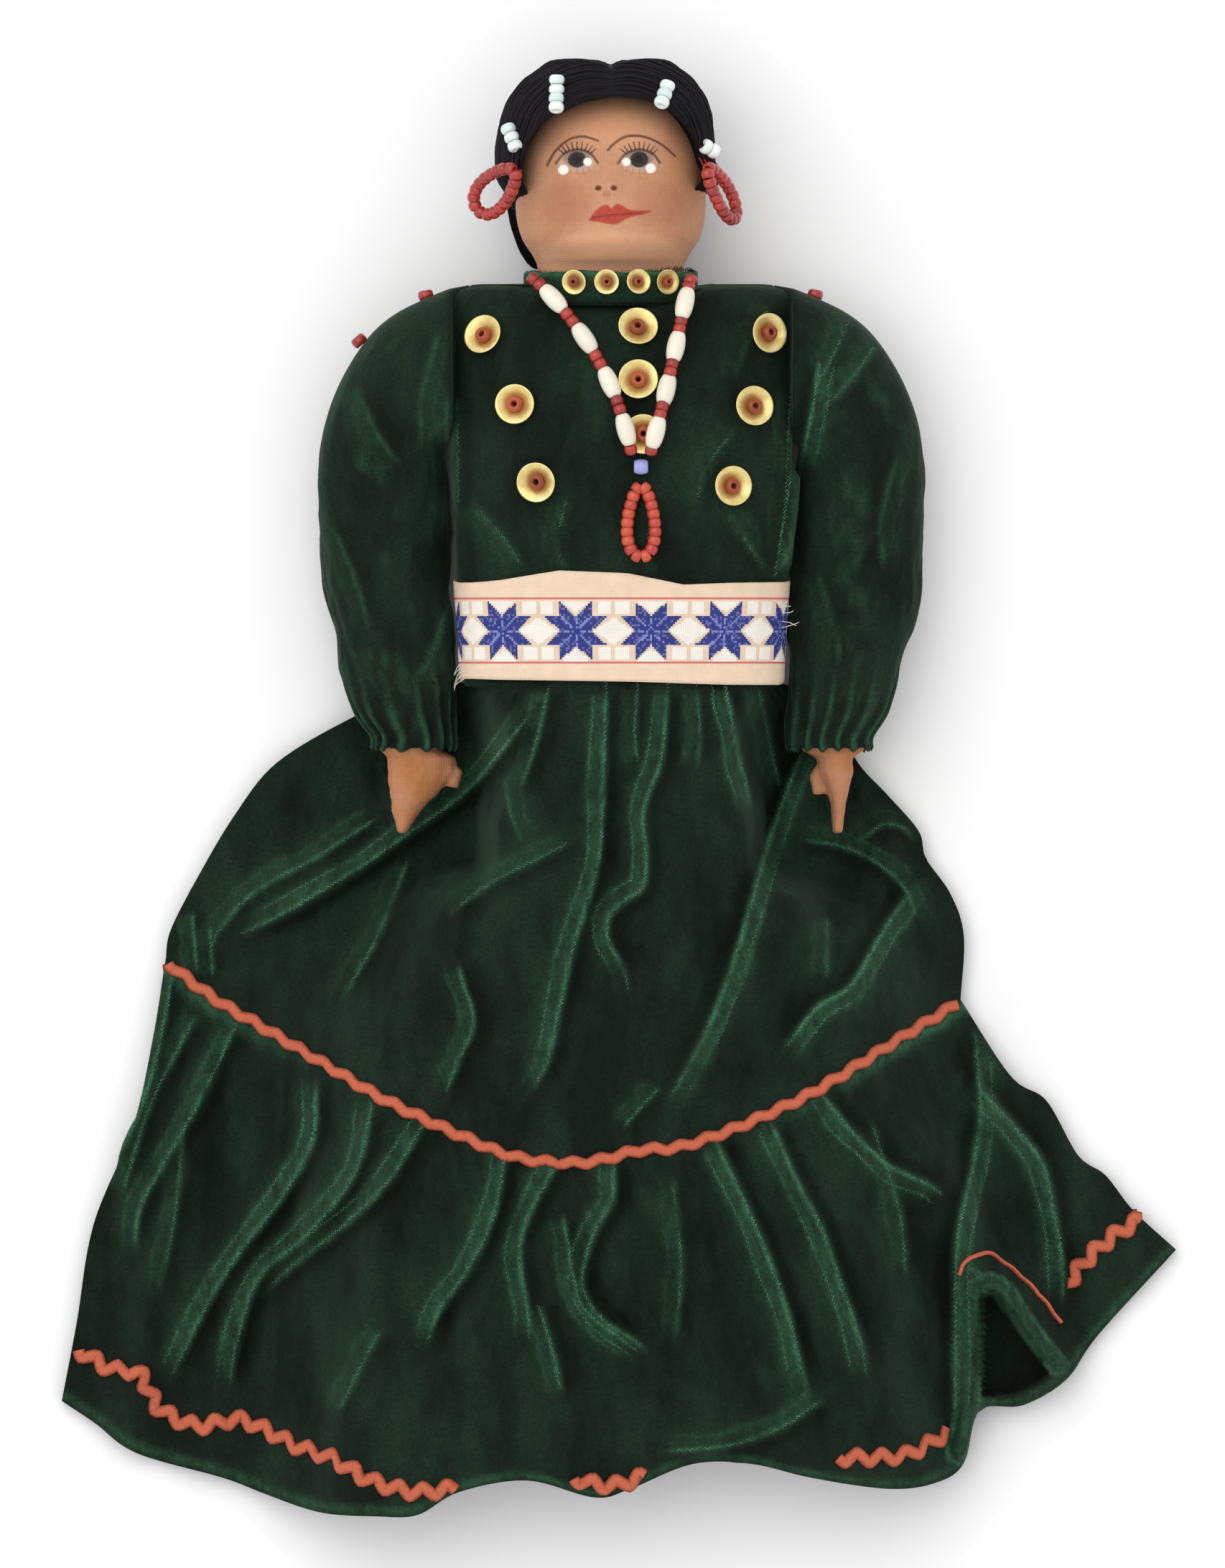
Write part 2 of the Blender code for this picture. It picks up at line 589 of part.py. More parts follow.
def make_collar(blouse):
    """A standing band with an oval hole, set on the shoulders, and the neck hole of the blouse."""
    low = WAIST_Y + BLOUSE_LENGTH + GAP
    outer = [section(BODY_X + HEAD_X, low + rise, HEAD_Z, COLLAR_HALF_WIDTH, COLLAR_HALF_DEPTH,
                     COLLAR_HALF_DEPTH, BODY_SIDES) for rise in (-COLLAR_DROP, COLLAR_HEIGHT)]
    collar = add("collar_band", loft(outer), (VELVET,))
    hole_half_width = COLLAR_HALF_WIDTH - COLLAR_CLOTH
    hole_half_depth = COLLAR_HALF_DEPTH - COLLAR_CLOTH
    hole = [section(BODY_X + HEAD_X, y, HEAD_Z, hole_half_width, hole_half_depth, hole_half_depth,
                    BODY_SIDES) for y in (WAIST_Y + NECK_FOOT - GAP, low + COLLAR_HEIGHT + OVERRUN)]
    cutter = add("neck_hole", loft(hole), None, "cutters")
    deep = [[Vector((p.x, p.y - lower, p.z)) for p in ring] for ring, lower in zip(hole, (OVERRUN, 0))]
    cut(collar, add("collar_hole", loft(deep), None, "cutters"))
    cut(collar, add("shoulders", loft(body_rings(-GAP, BODY_SECTION_SHARES)), None, "cutters"))
    cut(blouse, cutter)
    cut(bpy.data.objects["stuffed_body"], cutter)
    return collar


def table_at(table, share):
    """A row of a table of shares, read between its rows."""
    for low, high in zip(table, table[1:]):
        if share <= high[0]:
            part = (share - low[0]) / (high[0] - low[0])
            return [a + (b - a) * part for a, b in zip(low, high)]
    return list(table[-1])


def box(name, low, high):
    """A cutter with flat sides between two corners."""
    form = bmesh.new()
    bmesh.ops.create_cube(form, size=1)
    for vert in form.verts:
        vert.co = Vector(low[i] + (vert.co[i] + 0.5) * (high[i] - low[i]) for i in range(3))
    return add(name, mesh_of(form), None, "cutters")


def make_hair():
    """A rolled cap of floss with a centre part, open round the face."""
    middle_x = BODY_X + HEAD_X
    rings = []
    for i in range(HAIR_STATIONS):
        share = HAIR_LOW_SHARE + (1 - HAIR_LOW_SHARE) * i / (HAIR_STATIONS - 1)
        _, width, front, back = table_at(HEAD_SECTION_SHARES, min(share, HEAD_SECTION_SHARES[-1][0]))
        rise = (share - HAIR_LOW_SHARE) / (1 - HAIR_LOW_SHARE)
        y = WAIST_Y + NECK_FOOT + share * HEAD_LENGTH + HAIR_THICKNESS * rise
        roll = HAIR_SIDE_THICKNESS + HAIR_THICKNESS * rise * rise
        rings.append(section(middle_x, y, HEAD_Z, HEAD_HALF_WIDTH * width + roll,
                             HEAD_HALF_DEPTH * front + roll,
                             HEAD_HALF_DEPTH * back + HAIR_BACK_THICKNESS + roll - HAIR_SIDE_THICKNESS,
                             HAIR_SIDES, HAIR_SQUARENESS))
    crown = [middle_x, rings[-1][0].y + HAIR_PART_DEPTH / 2, HEAD_Z]
    rings.append([p.lerp(Vector(crown), 0.5) for p in rings[-1]])
    for ring in rings[-4:]:
        for p in ring:
            near = (p.x - middle_x) / HAIR_PART_WIDTH
            p.y -= HAIR_PART_DEPTH * math.exp(-near * near)
    hair = add("hair_cap", loft(rings), (HAIR,))
    cut(hair, add("head_room", loft(head_rings(HAIR_GAP)), None, "cutters"))
    hairline = WAIST_Y + NECK_FOOT + HEAD_LENGTH * FACE_OPENING_TOP_SHARE
    half = FACE_OPENING_LENGTH / 2
    opening = [[Vector((middle_x + a * FACE_OPENING_HALF_WIDTH, hairline - half + b * half, z))
                for a, b in oval(HAIR_SIDES, FACE_OPENING_SQUARENESS)]
               for z in (FACE_OPENING_Z, HEAD_Z + 2 * HEAD_HALF_DEPTH)]
    cut(hair, add("face_opening", loft(opening), None, "cutters"))
    nape = WAIST_Y + NECK_FOOT + HEAD_LENGTH * HAIR_NAPE_SHARE
    reach = 2 * HEAD_HALF_WIDTH
    cut(hair, box("nape_opening", (middle_x - reach, nape - HEAD_LENGTH, -OVERRUN),
                  (middle_x + reach, nape, BUN_Z + BUN_HALF_DEPTH + GAP)))
    return hair


def bun_rings(grow, shares):
    low = WAIST_Y + BLOUSE_LENGTH + COLLAR_HEIGHT + 2 * GAP
    return [section(BODY_X + HEAD_X + BUN_X, low + share * BUN_LENGTH, BUN_Z, BUN_HALF_WIDTH * width + grow,
                    BUN_HALF_DEPTH * depth + grow, BUN_HALF_DEPTH * depth + FLAT_CUT + grow, BUN_SIDES)
            for share, width, depth in shares]


def make_bun():
    """The hair at the nape, gathered in the middle by a wool tie."""
    add("hair_bun", loft(bun_rings(0, BUN_SHARES)), (HAIR,))
    girth = (TIE_HALF_WIDTH_SHARE, TIE_HALF_DEPTH_SHARE)
    ends = [(TIE_SHARE + side * TIE_LENGTH_SHARE / 2, *girth) for side in (-1, 1)]
    tie = add("bun_tie", loft(bun_rings(GAP + TIE_THICKNESS, ends)), (WHITE,))
    long_ends = [(TIE_SHARE + side * TIE_LENGTH_SHARE, *girth) for side in (-1, 1)]
    cut(tie, add("tie_room", loft(bun_rings(GAP, long_ends)), None, "cutters"))


def inner_x():
    """How far the sleeve's inner side is from the body's axis."""
    return BODY_HALF_WIDTH + SLEEVE_CLEARANCE


def armpit_y():
    return WAIST_Y + BLOUSE_LENGTH - ARMHOLE_DIAMETER


def sleeve_rings(side):
    """Rings that turn round the armpit and then run down the arm."""
    rings = []
    for turn, width, depth, lift in SHOULDER_FAN_SHARES:
        half_depth = ARMHOLE_DEPTH / 2 * depth
        low = half_depth - FLAT_CUT
        z = low + (BODY_Z - low) * lift
        half = (ARMHOLE_DIAMETER * width - ARMPIT_RADIUS) / 2
        c, s = math.cos(math.radians(turn)), math.sin(math.radians(turn))
        ring = []
        for a, b in oval(SLEEVE_SIDES, SLEEVE_SQUARENESS):
            reach = ARMPIT_RADIUS + (1 + a) * half
            ring.append(Vector((BODY_X + side * (inner_x() + reach * s), armpit_y() + reach * c,
                                max(z + b * half_depth, 0))))
        rings.append(ring)
    for share, width, depth, lift in SLEEVE_TUBE_SHARES:
        half = SLEEVE_WIDTH / 2 * width
        half_depth = SLEEVE_DEPTH / 2 * depth
        z = half_depth - FLAT_CUT + lift * SLEEVE_LIFT
        rings.append([Vector((BODY_X + side * (inner_x() + half + a * half),
                              armpit_y() - share * SLEEVE_LENGTH, max(z + b * half_depth, 0)))
                      for a, b in oval(SLEEVE_SIDES, SLEEVE_SQUARENESS)])
    return rings


def arm_middle(share):
    """The middle of the arm in the sleeve: distance from the inner side, and height."""
    _, width, depth, lift = table_at(((0.0, *SLEEVE_TUBE_SHARES[0][1:]), *SLEEVE_TUBE_SHARES), share)
    return SLEEVE_WIDTH / 2 * width, SLEEVE_DEPTH / 2 * depth - FLAT_CUT + lift * SLEEVE_LIFT


def arm_rings(side, hand, grow=0.0):
    rings = []
    for share in ARM_STATION_SHARES:
        across, z = arm_middle(share)
        swell = ARM_SWELL * (1 - share)
        if grow and share == ARM_STATION_SHARES[0]:
            share -= grow / SLEEVE_LENGTH
        centre = BODY_X + side * (inner_x() + across)
        y = armpit_y() - share * SLEEVE_LENGTH
        half_width, half_depth = ARM_HALF_WIDTH + swell + grow, ARM_HALF_DEPTH + swell + grow
        rings.append([Vector((centre + a * half_width, y, z + b * half_depth)) for a, b in oval(ARM_SIDES)])
    across, z = arm_middle(1.0)
    for share, inner, outer, depth in hand:
        middle = (inner + outer) / 2
        half = (outer - inner) / 2
        y = armpit_y() - SLEEVE_LENGTH - share * HAND_LENGTH
        if grow:
            middle, half, depth = 0, 1, 1
        centre = BODY_X + side * (inner_x() + across + ARM_HALF_WIDTH * middle)
        half_width, half_depth = ARM_HALF_WIDTH * half + grow, ARM_HALF_DEPTH * depth + grow
        rings.append([Vector((centre + a * half_width, y, z + b * half_depth)) for a, b in oval(ARM_SIDES)])
    return rings


def make_shoulder_beads(names):
    """Beads sewn along the top of a shoulder, on the sleeve."""
    for name in names:
        side, share = SHOULDER_BEAD_SHARES[name]
        turn = SHOULDER_FAN_SHARES[-1][0] * share
        reach = ARMHOLE_DIAMETER * table_at(SHOULDER_FAN_SHARES, turn)[1] + SHOULDER_BEAD_GAP
        normal = Vector((side * math.sin(math.radians(turn)), math.cos(math.radians(turn)), 0))
        foot = Vector((BODY_X + side * inner_x(), armpit_y(), SHOULDER_BEAD_Z))
        place = foot + normal * reach
        seat_turned("shoulder_bead_" + name, sequin_mesh(with_cup=False), (RED, 0.3), place, normal)


def hang(pivot_name, place, names, carrier=None):
    """Pieces that turn together, parented to an empty on their joint's axis."""
    pivot = bpy.data.objects.new(pivot_name, None)
    bpy.data.collections["cloth_doll"].objects.link(pivot)
    pivot.empty_display_size = PIVOT_SIZE
    pivot.location = place
    if carrier is not None:
        pivot.parent = bpy.data.objects[carrier]
        pivot.location = Vector(place) - pivot.parent.location
    for name in names:
        piece = bpy.data.objects[name]
        piece.parent = pivot
        piece.location = piece.location - Vector(place)


def make_arm(name, side, hand, thumb):
    """A stuffed arm with a mitten hand and a thumb, in a gathered sleeve."""
    arm = add("arm_" + name, loft(arm_rings(side, hand)), (SKIN,))
    across, z = arm_middle(1.0)
    line = [Vector((BODY_X + side * (inner_x() + across + ARM_HALF_WIDTH * place),
                    armpit_y() - SLEEVE_LENGTH - share * HAND_LENGTH, z)) for share, place in thumb]
    radii = [THUMB_RADIUS, THUMB_RADIUS, THUMB_RADIUS * THUMB_TIP_SHARE]
    join(arm, add("thumb_" + name, tube(line, radii, THUMB_SIDES), None, "cutters"))
    sleeve = add("sleeve_" + name, loft(sleeve_rings(side)), (VELVET,))
    room = loft(arm_rings(side, (CUFF_ROOM_SHARES,), GAP + CLEAR_OF_ARM))
    cut(sleeve, add("arm_room_" + name, room, None, "cutters"))
    beads = [bead for bead in SHOULDER_BEAD_SHARES if bead.startswith(name)]
    make_shoulder_beads(beads)
    shoulder = (BODY_X + side * inner_x(), armpit_y() + ARMHOLE_DIAMETER / 2, BODY_Z)
    hang("shoulder_" + name, shoulder, [arm.name, sleeve.name, *("shoulder_bead_" + b for b in beads)])


def frames_along(points, closed=False):
    """Two directions square to the line at each point, with no twist between them."""
    count = len(points)
    frames = []
    side = None
    for i in range(count):
        before = points[i - 1] if i or closed else points[0]
        after = points[(i + 1) % count] if i < count - 1 or closed else points[-1]
        ahead = (after - before).normalized()
        if side is None:
            side = ahead.orthogonal().normalized()
        side = (side - ahead * side.dot(ahead)).normalized()
        frames.append((side, ahead.cross(side)))
    return frames


def tube(points, radii, sides, closed=False):
    """A round skin along a line, of a radius given for each point."""
    rings = []
    for point, radius, (side, up) in zip(points, radii, frames_along(points, closed)):
        rings.append([point + radius * (a * side + b * up) for a, b in oval(sides)])
    return loft(rings, closed)


def bead_chain(line, beads, closed=False):
    """Beads threaded tight along a line: each is (radius, length), and the string fuses them."""
    total = sum(length for _, length in beads)
    points, radii = [], []
    start = 0.0
    for radius, length in beads:
        for place, girth in OVAL_FORM_SHARES if length > 2 * radius else BEAD_FORM_SHARES:
            points.append(along(line, (start + place * length) / total))
            radii.append(radius * girth)
        start += length
    return tube(points, radii, BEAD_SIDES, closed)


def make_legs():
    pivot = WAIST_Y - HIP_LENGTH - 2 * GAP - LEG_HALF_WIDTH
    for name, side in (("left", -1), ("right", 1)):
        x = BODY_X + side * LEG_X
        rings = []
        for turn in HIP_TURNS:
            c, s = math.cos(math.radians(turn)), math.sin(math.radians(turn))
            half_depth = LEG_HALF_DEPTH * math.sqrt(c)
            rings.append(section(x, pivot + LEG_HALF_WIDTH * s, LEG_FLOOR + LEG_HALF_DEPTH,
                                 LEG_HALF_WIDTH * c, half_depth, half_depth, LEG_SIDES))
        for share, width, depth in LEG_SHARES:
            half_depth = LEG_HALF_DEPTH * depth
            rings.append(section(x, pivot - share * LEG_LENGTH, LEG_FLOOR + half_depth,
                                 LEG_HALF_WIDTH * width, half_depth, half_depth, LEG_SIDES))
        add("leg_" + name, loft(rings), (SKIN,))
        sole = pivot - LEG_LENGTH - GAP - FOOT_THICKNESS
        foot = []
        for share, width, low, high in FOOT_SHARES:
            middle = sole + FOOT_THICKNESS * (low + high) / 2
            half = FOOT_THICKNESS * (high - low) / 2
            z = LEG_FLOOR + share * FOOT_HEIGHT
            foot.append([Vector((x + a * FOOT_HALF_WIDTH * width, middle + b * half, z))
                         for a, b in oval(FOOT_SIDES, FOOT_SQUARENESS)])
        add("moccasin_" + name, loft(foot), (CORAL,))
        hang("hip_" + name, (x, pivot, LEG_FLOOR + LEG_HALF_DEPTH), ["leg_" + name, "moccasin_" + name])


def make_belt():
    """A woven ribbon round the waist, over the foot of the blouse."""
    top = BELT_WIDTH / BLOUSE_LENGTH
    low_rows = [row for row in BODY_SECTION_SHARES if row[0] < top]
    rows = [*low_rows, tuple(table_at(BODY_SECTION_SHARES, top))]
    belt = add("belt_ribbon", loft(body_rings(-GAP - BELT_CLOTH, rows, WAIST_Y)), (CREAM,))
    longer = [*rows, (top + OVERRUN / BLOUSE_LENGTH, *rows[-1][1:])]
    cut(belt, add("belt_room", loft(body_rings(-GAP, longer, WAIST_Y - OVERRUN)), None, "cutters"))


def outline(shares, half_width, length, top_y):
    return [Vector((BODY_X + x * half_width, top_y - y * length, 0)) for x, y in shares]


def ease(value):
    value = min(max(value, 0), 1)
    return value * value * (3 - 2 * value)


def drape_height(x, edge, crown, v=1.0):
    """The front cloth's height: up over the legs, and down to the floor beside them."""
    reach = abs(x - BODY_X)
    spread = ease((v - HIP_ROOM_SHARE) / (1 - HIP_ROOM_SHARE))
    room = HIP_ROOM_HALF_WIDTH + (LEG_ROOM_HALF_WIDTH - HIP_ROOM_HALF_WIDTH) * spread
    room = min(room, LEG_ROOM_SHARE * edge)
    width = HIP_DRAPE_WIDTH + (DRAPE_WIDTH - HIP_DRAPE_WIDTH) * spread
    fall = ease((reach - room) / min(width, max(edge - room, CLOTH)))
    return SKIRT_EDGE_Z + (crown - SKIRT_EDGE_Z) * (1 - fall)


def fold_height(folds, u, v):
    height = 0.0
    for u0, v0, u1, v1, width, size in folds:
        part = (v - v0) / (v1 - v0)
        if -FOLD_END_SHARE < part < 1 + FOLD_END_SHARE:
            off = (u - u0 - (u1 - u0) * part) / width
            fade = ease((part / FOLD_END_SHARE + 1) / 2) * ease(((1 - part) / FOLD_END_SHARE + 1) / 2)
            height += size * fade * math.exp(-off * off)
    return height * FOLD_HEIGHT


def hand_dent(x, y, z):
    """The cloth's height where a hand or a cuff lies on it."""
    low = SKIRT_EDGE_Z + HAND_DENT_RISE
    reach = abs(x - BODY_X)
    inner = HAND_DENT_INNER_X + HAND_DENT_SLANT * max(y - WAIST_Y + HAND_DENT_SLANT_LENGTH, 0)
    off_x = max(inner - reach, reach - HAND_DENT_OUTER_X, 0)
    off_y = max(WAIST_Y - HAND_DENT_LENGTH - y, 0)
    if z > low:
        z = low + (z - low) * ease(math.hypot(off_x, off_y) / HAND_DENT_EDGE)
    return z


def patch(top, bottom, left, right, columns, row_shares):
    """Rows of points across a panel, laid flat: from a top row down to three other edges."""
    grid = []
    for v in row_shares:
        from_left, from_right = along(left, v), along(right, v)
        row = []
        for i in range(columns + 1):
            u = i / columns
            straight = top[i].lerp(along(bottom, u), v)
            ends = top[0].lerp(bottom[0], v), top[-1].lerp(bottom[-1], v)
            pull = (from_left - ends[0]) * (1 - u) ** 2 + (from_right - ends[1]) * u ** 2
            row.append(straight + pull)
        grid.append(row)
    return grid


def sheet(grid):
    """A sheet of cloth under a grid of points, as thick as the cloth."""
    form = bmesh.new()
    rows = [[form.verts.new(p) for p in row] for row in grid]
    for row, following in zip(rows, rows[1:]):
        for i in range(len(row) - 1):
            form.faces.new((row[i], following[i], following[i + 1], row[i + 1]))
    mesh = bpy.data.meshes.new("sheet")
    form.to_mesh(mesh)
    form.free()
    return mesh


def thicken(panel):
    wall = panel.modifiers.new("cloth", "SOLIDIFY")
    wall.thickness = CLOTH
    wall.offset = -1
    wall.use_even_offset = False


def fall_share(x, v, length_share):
    """How far the cloth has left the shape of the waist."""
    side = abs(x - BODY_X) - BODY_HALF_WIDTH * BODY_SECTION_SHARES[0][1]
    return max(ease(v / length_share), ease(side / SIDE_FALL))


def waist_row(columns, front):
    """Points round the front or back of the waist, from the left in view to the right."""
    _, width, depth, squareness = BODY_SECTION_SHARES[0]
    power = 2 / squareness
    start = math.pi + FRONT_WRAP
    span = -math.pi - 2 * FRONT_WRAP
    half_depth = BODY_HALF_DEPTH * depth
    if not front:
        start = math.pi + BACK_WRAP
        span = math.pi - 2 * BACK_WRAP
        half_depth += FLAT_CUT
    row = []
    for i in range(columns + 1):
        turn = start + span * i / columns
        c, s = math.cos(turn), math.sin(turn)
        x = math.copysign(abs(c) ** power, c) * BODY_HALF_WIDTH * width
        row.append(Vector((BODY_X + x, WAIST_Y - WAIST_GAP,
                           BODY_Z + math.copysign(abs(s) ** power, s) * half_depth)))
    return row


def make_skirt():
    """Two tiers, each a front and a back panel, that lie spread on the floor."""
    seam_y = WAIST_Y - WAIST_GAP - TIER_LENGTH
    for front in (True, False):
        face = "front" if front else "back"
        columns = TIER_COLUMNS if front else BACK_COLUMNS
        row_shares = [j / TIER_ROWS for j in range(TIER_ROWS + 1)]
        if not front:
            row_shares = [(j / BACK_ROWS) ** BACK_ROW_POWER for j in range(BACK_ROWS + 1)]
        waist = waist_row(columns, front)
        flat_waist = [Vector((p.x, p.y, 0)) for p in waist]
        seam = outline(SEAM_SHARES, TIER_HALF_WIDTH, TIER_LENGTH, WAIST_Y - WAIST_GAP)
        seam = smooth(seam)
        left, right = (outline(side, TIER_HALF_WIDTH, TIER_LENGTH, WAIST_Y - WAIST_GAP)
                       for side in (TIER_LEFT_SHARES, TIER_RIGHT_SHARES))
        left, right = smooth([flat_waist[0], *left]), smooth([flat_waist[-1], *right])
        grid = patch(flat_waist, seam, left, right, columns, row_shares)
        for v, row in zip(row_shares, grid):
            ends = BODY_X - row[0].x, row[-1].x - BODY_X
            for i, p in enumerate(row):
                u = i / columns
                start = waist[i].z
                if front and v:
                    crown = start + (TIER_CROWN - start) * v
                    laid = drape_height(p.x, ends[0] if p.x < BODY_X else ends[1],
                                        max(crown, TIER_CROWN), v)
                    p.z = start + (laid - start) * fall_share(p.x, v, WAIST_FALL_SHARE)
                    fade = ease(v / WAIST_FALL_SHARE) * ease((1 - v) / SEAM_CALM_SHARE)
                    fade *= ease(u / EDGE_CALM_SHARE) * ease((1 - u) / EDGE_CALM_SHARE)
                    p.z = hand_dent(p.x, p.y, p.z + fade * fold_height(TIER_FOLD_SHARES, u, v))
                elif front:
                    p.z = start
                else:
                    p.z = start + (SKIRT_BACK_Z - start) * fall_share(p.x, v, BACK_FALL_SHARE)
        if not front:
            grid = [list(reversed(row)) for row in grid]
        thicken(add("skirt_tier_" + face, sheet(grid), (VELVET,)))

        columns = RUFFLE_COLUMNS if front else BACK_COLUMNS
        rows = RUFFLE_ROWS if front else BACK_ROWS
        row_shares = [j / rows for j in range(rows + 1)]
        start = [p - Vector((0, SEAM_GAP, 0)) for p in seam]
        hem = outline(HEM_SHARES, RUFFLE_HALF_WIDTH, RUFFLE_LENGTH, seam_y)
        left, right = (outline(side, RUFFLE_HALF_WIDTH, RUFFLE_LENGTH, seam_y)
                       for side in (RUFFLE_LEFT_SHARES, RUFFLE_RIGHT_SHARES))
        left, right = smooth([start[0], *left]), smooth([start[-1], *right])
        top = [along(start, i / columns) for i in range(columns + 1)]
        grid = patch(top, smooth(hem), left, right, columns, row_shares)
        for v, row in zip(row_shares, grid):
            ends = BODY_X - row[0].x, row[-1].x - BODY_X
            for i, p in enumerate(row):
                u = i / columns
                if front:
                    crown = TIER_CROWN + (RUFFLE_CROWN - TIER_CROWN) * v
                    p.z = drape_height(p.x, ends[0] if p.x < BODY_X else ends[1], crown)
                    fade = ease(v / SEAM_CALM_SHARE)
                    fade *= ease(u / EDGE_CALM_SHARE) * ease((1 - u) / EDGE_CALM_SHARE)
                    p.z += fade * fold_height(RUFFLE_FOLD_SHARES, u, v)
                else:
                    p.z = SKIRT_BACK_Z
        if not front:
            grid = [list(reversed(row)) for row in grid]
        thicken(add("skirt_ruffle_" + face, sheet(grid), (VELVET,)))


def rickrack(name, line, front, supports):
    """A zigzag braid along a line, on top of the cloth or on the floor under it."""
    waves = round(length_of(line) / RICKRACK_PITCH)
    steps = 2 * waves if front else waves
    rings = []
    for i in range(steps + 1):
        share = (i + 0.5) / (steps + 1)
        here = along(line, share)
        ahead = (along(line, share + 0.5 / steps) - along(line, share - 0.5 / steps)).normalized()
        across = Vector((-ahead.y, ahead.x, 0))
        here = here + across * (RICKRACK_SWING if i % 2 else -RICKRACK_SWING)
        half = across * RICKRACK_WIDTH / 2
        low = 0.0
        if front:
            low = top_of(supports, here.x, here.y, RICKRACK_WIDTH) + LAY_GAP
        corners = [(here - half, low), (here + half, low), (here + half, low + TRIM_THICKNESS),
                   (here - half, low + TRIM_THICKNESS)]
        rings.append([Vector((p.x, p.y, z)) for p, z in corners])
    add(name, loft(rings), (CORAL,))


def make_rickrack():
    """Braid on the tier's seam and above the hem, front and back."""
    seam_y = WAIST_Y - WAIST_GAP - TIER_LENGTH
    seam = smooth(outline(SEAM_SHARES, TIER_HALF_WIDTH, TIER_LENGTH, WAIST_Y - WAIST_GAP + TIER_TRIM_UP))
    hem = smooth(outline(HEM_SHARES, RUFFLE_HALF_WIDTH, RUFFLE_LENGTH, seam_y + HEM_TRIM_UP))
    inset = [(p - Vector((BODY_X, p.y, 0))) * HEM_TRIM_IN_SHARE + Vector((BODY_X, p.y, 0)) for p in hem]
    cloth = surface("skirt_tier_front", "skirt_ruffle_front")
    for name, line in (("tier_rickrack", seam), ("hem_rickrack", inset)):
        rickrack(name + "_front", line, True, cloth)
        rickrack(name + "_back", line, False, None)


def sequin_mesh(size=1.0, with_cup=True):
    """Half the outline of a cupped sequin with its bead, to be turned about Z."""
    bead, top = SEQUIN_BEAD_RADIUS * size, SEQUIN_BEAD_TOP * size
    rim, rise, wall = SEQUIN_RADIUS * size, SEQUIN_RISE * size, SEQUIN_SHEET * size
    profile = [(bead * a, top * b) for a, b in SEQUIN_BEAD_SHARES]
    if with_cup:
        profile += [(bead * SEQUIN_NECK_SHARES[0], rise * SEQUIN_NECK_SHARES[1]), (rim, rise),
                    (rim, rise - wall), (rim * SEQUIN_FOOT_SHARE, 0)]
    else:
        profile.append((bead * BEAD_FOOT_SHARES[0], top * BEAD_FOOT_SHARES[1]))
    profile.append((0, 0))
    mesh = bpy.data.meshes.new("sequin")
    mesh.from_pydata([(x, 0, z) for x, z in profile], [(i, i + 1) for i in range(len(profile) - 1)], [])
    return mesh


def seat_turned(name, mesh, looks, place, up):
    """A turned piece stood on a surface."""
    made = add(name, mesh, looks)
    turn = made.modifiers.new("turn", "SCREW")
    turn.steps = turn.render_steps = SEQUIN_SEGMENTS
    turn.use_merge_vertices = True
    turn.merge_threshold = SEQUIN_WELD
    made.rotation_mode = "QUATERNION"
    made.rotation_quaternion = Vector((0, 0, 1)).rotation_difference(up)
    made.location = place
    return made


def slope_of(trees, x, y, reach):
    """The surface's normal over a place, from four heights round it."""
    rise_x = top_of(trees, x + reach, y) - top_of(trees, x - reach, y)
    rise_y = top_of(trees, x, y + reach) - top_of(trees, x, y - reach)
    return Vector((-rise_x, -rise_y, 2 * reach)).normalized()


def make_sequins():
    """Cup sequins on the chest and collar, each held by a bead, and beads on the shoulders."""
    blouse = surface("blouse_body")
    for name, (across, up) in CHEST_SEQUIN_SHARES.items():
        x = BODY_X + across * BODY_HALF_WIDTH
        y = WAIST_Y + up * BLOUSE_LENGTH
        normal = slope_of(blouse, x, y, SEQUIN_RADIUS / 2)
        lift = GAP * SEAT_LIFT
        place = Vector((x, y, top_of(blouse, x, y))) + normal * lift
        seat_turned("sequin_" + name, sequin_mesh(), (GOLD, 0.3, 0.8), place, normal)
    middle_y = WAIST_Y + BLOUSE_LENGTH + GAP + COLLAR_HEIGHT / 2
    for name, across in COLLAR_SEQUIN_X_SHARES.items():
        turn = math.acos(across)
        c, s = math.cos(turn), math.sin(turn)
        normal = Vector((COLLAR_HALF_DEPTH * c, 0, COLLAR_HALF_WIDTH * s)).normalized()
        foot = Vector((BODY_X + HEAD_X + COLLAR_HALF_WIDTH * c, middle_y, HEAD_Z + COLLAR_HALF_DEPTH * s))
        mesh = sequin_mesh(COLLAR_SEQUIN_SIZE_SHARE)
        place = foot + normal * GAP * COLLAR_SEAT_SHARE
        seat_turned("collar_sequin_" + name, mesh, (GOLD, 0.3, 0.8), place, normal)


def resting(trees, x, y, radius):
    """The height of the middle of a round thing that lies on a surface."""
    return top_of(trees, x, y, radius) + radius + GAP


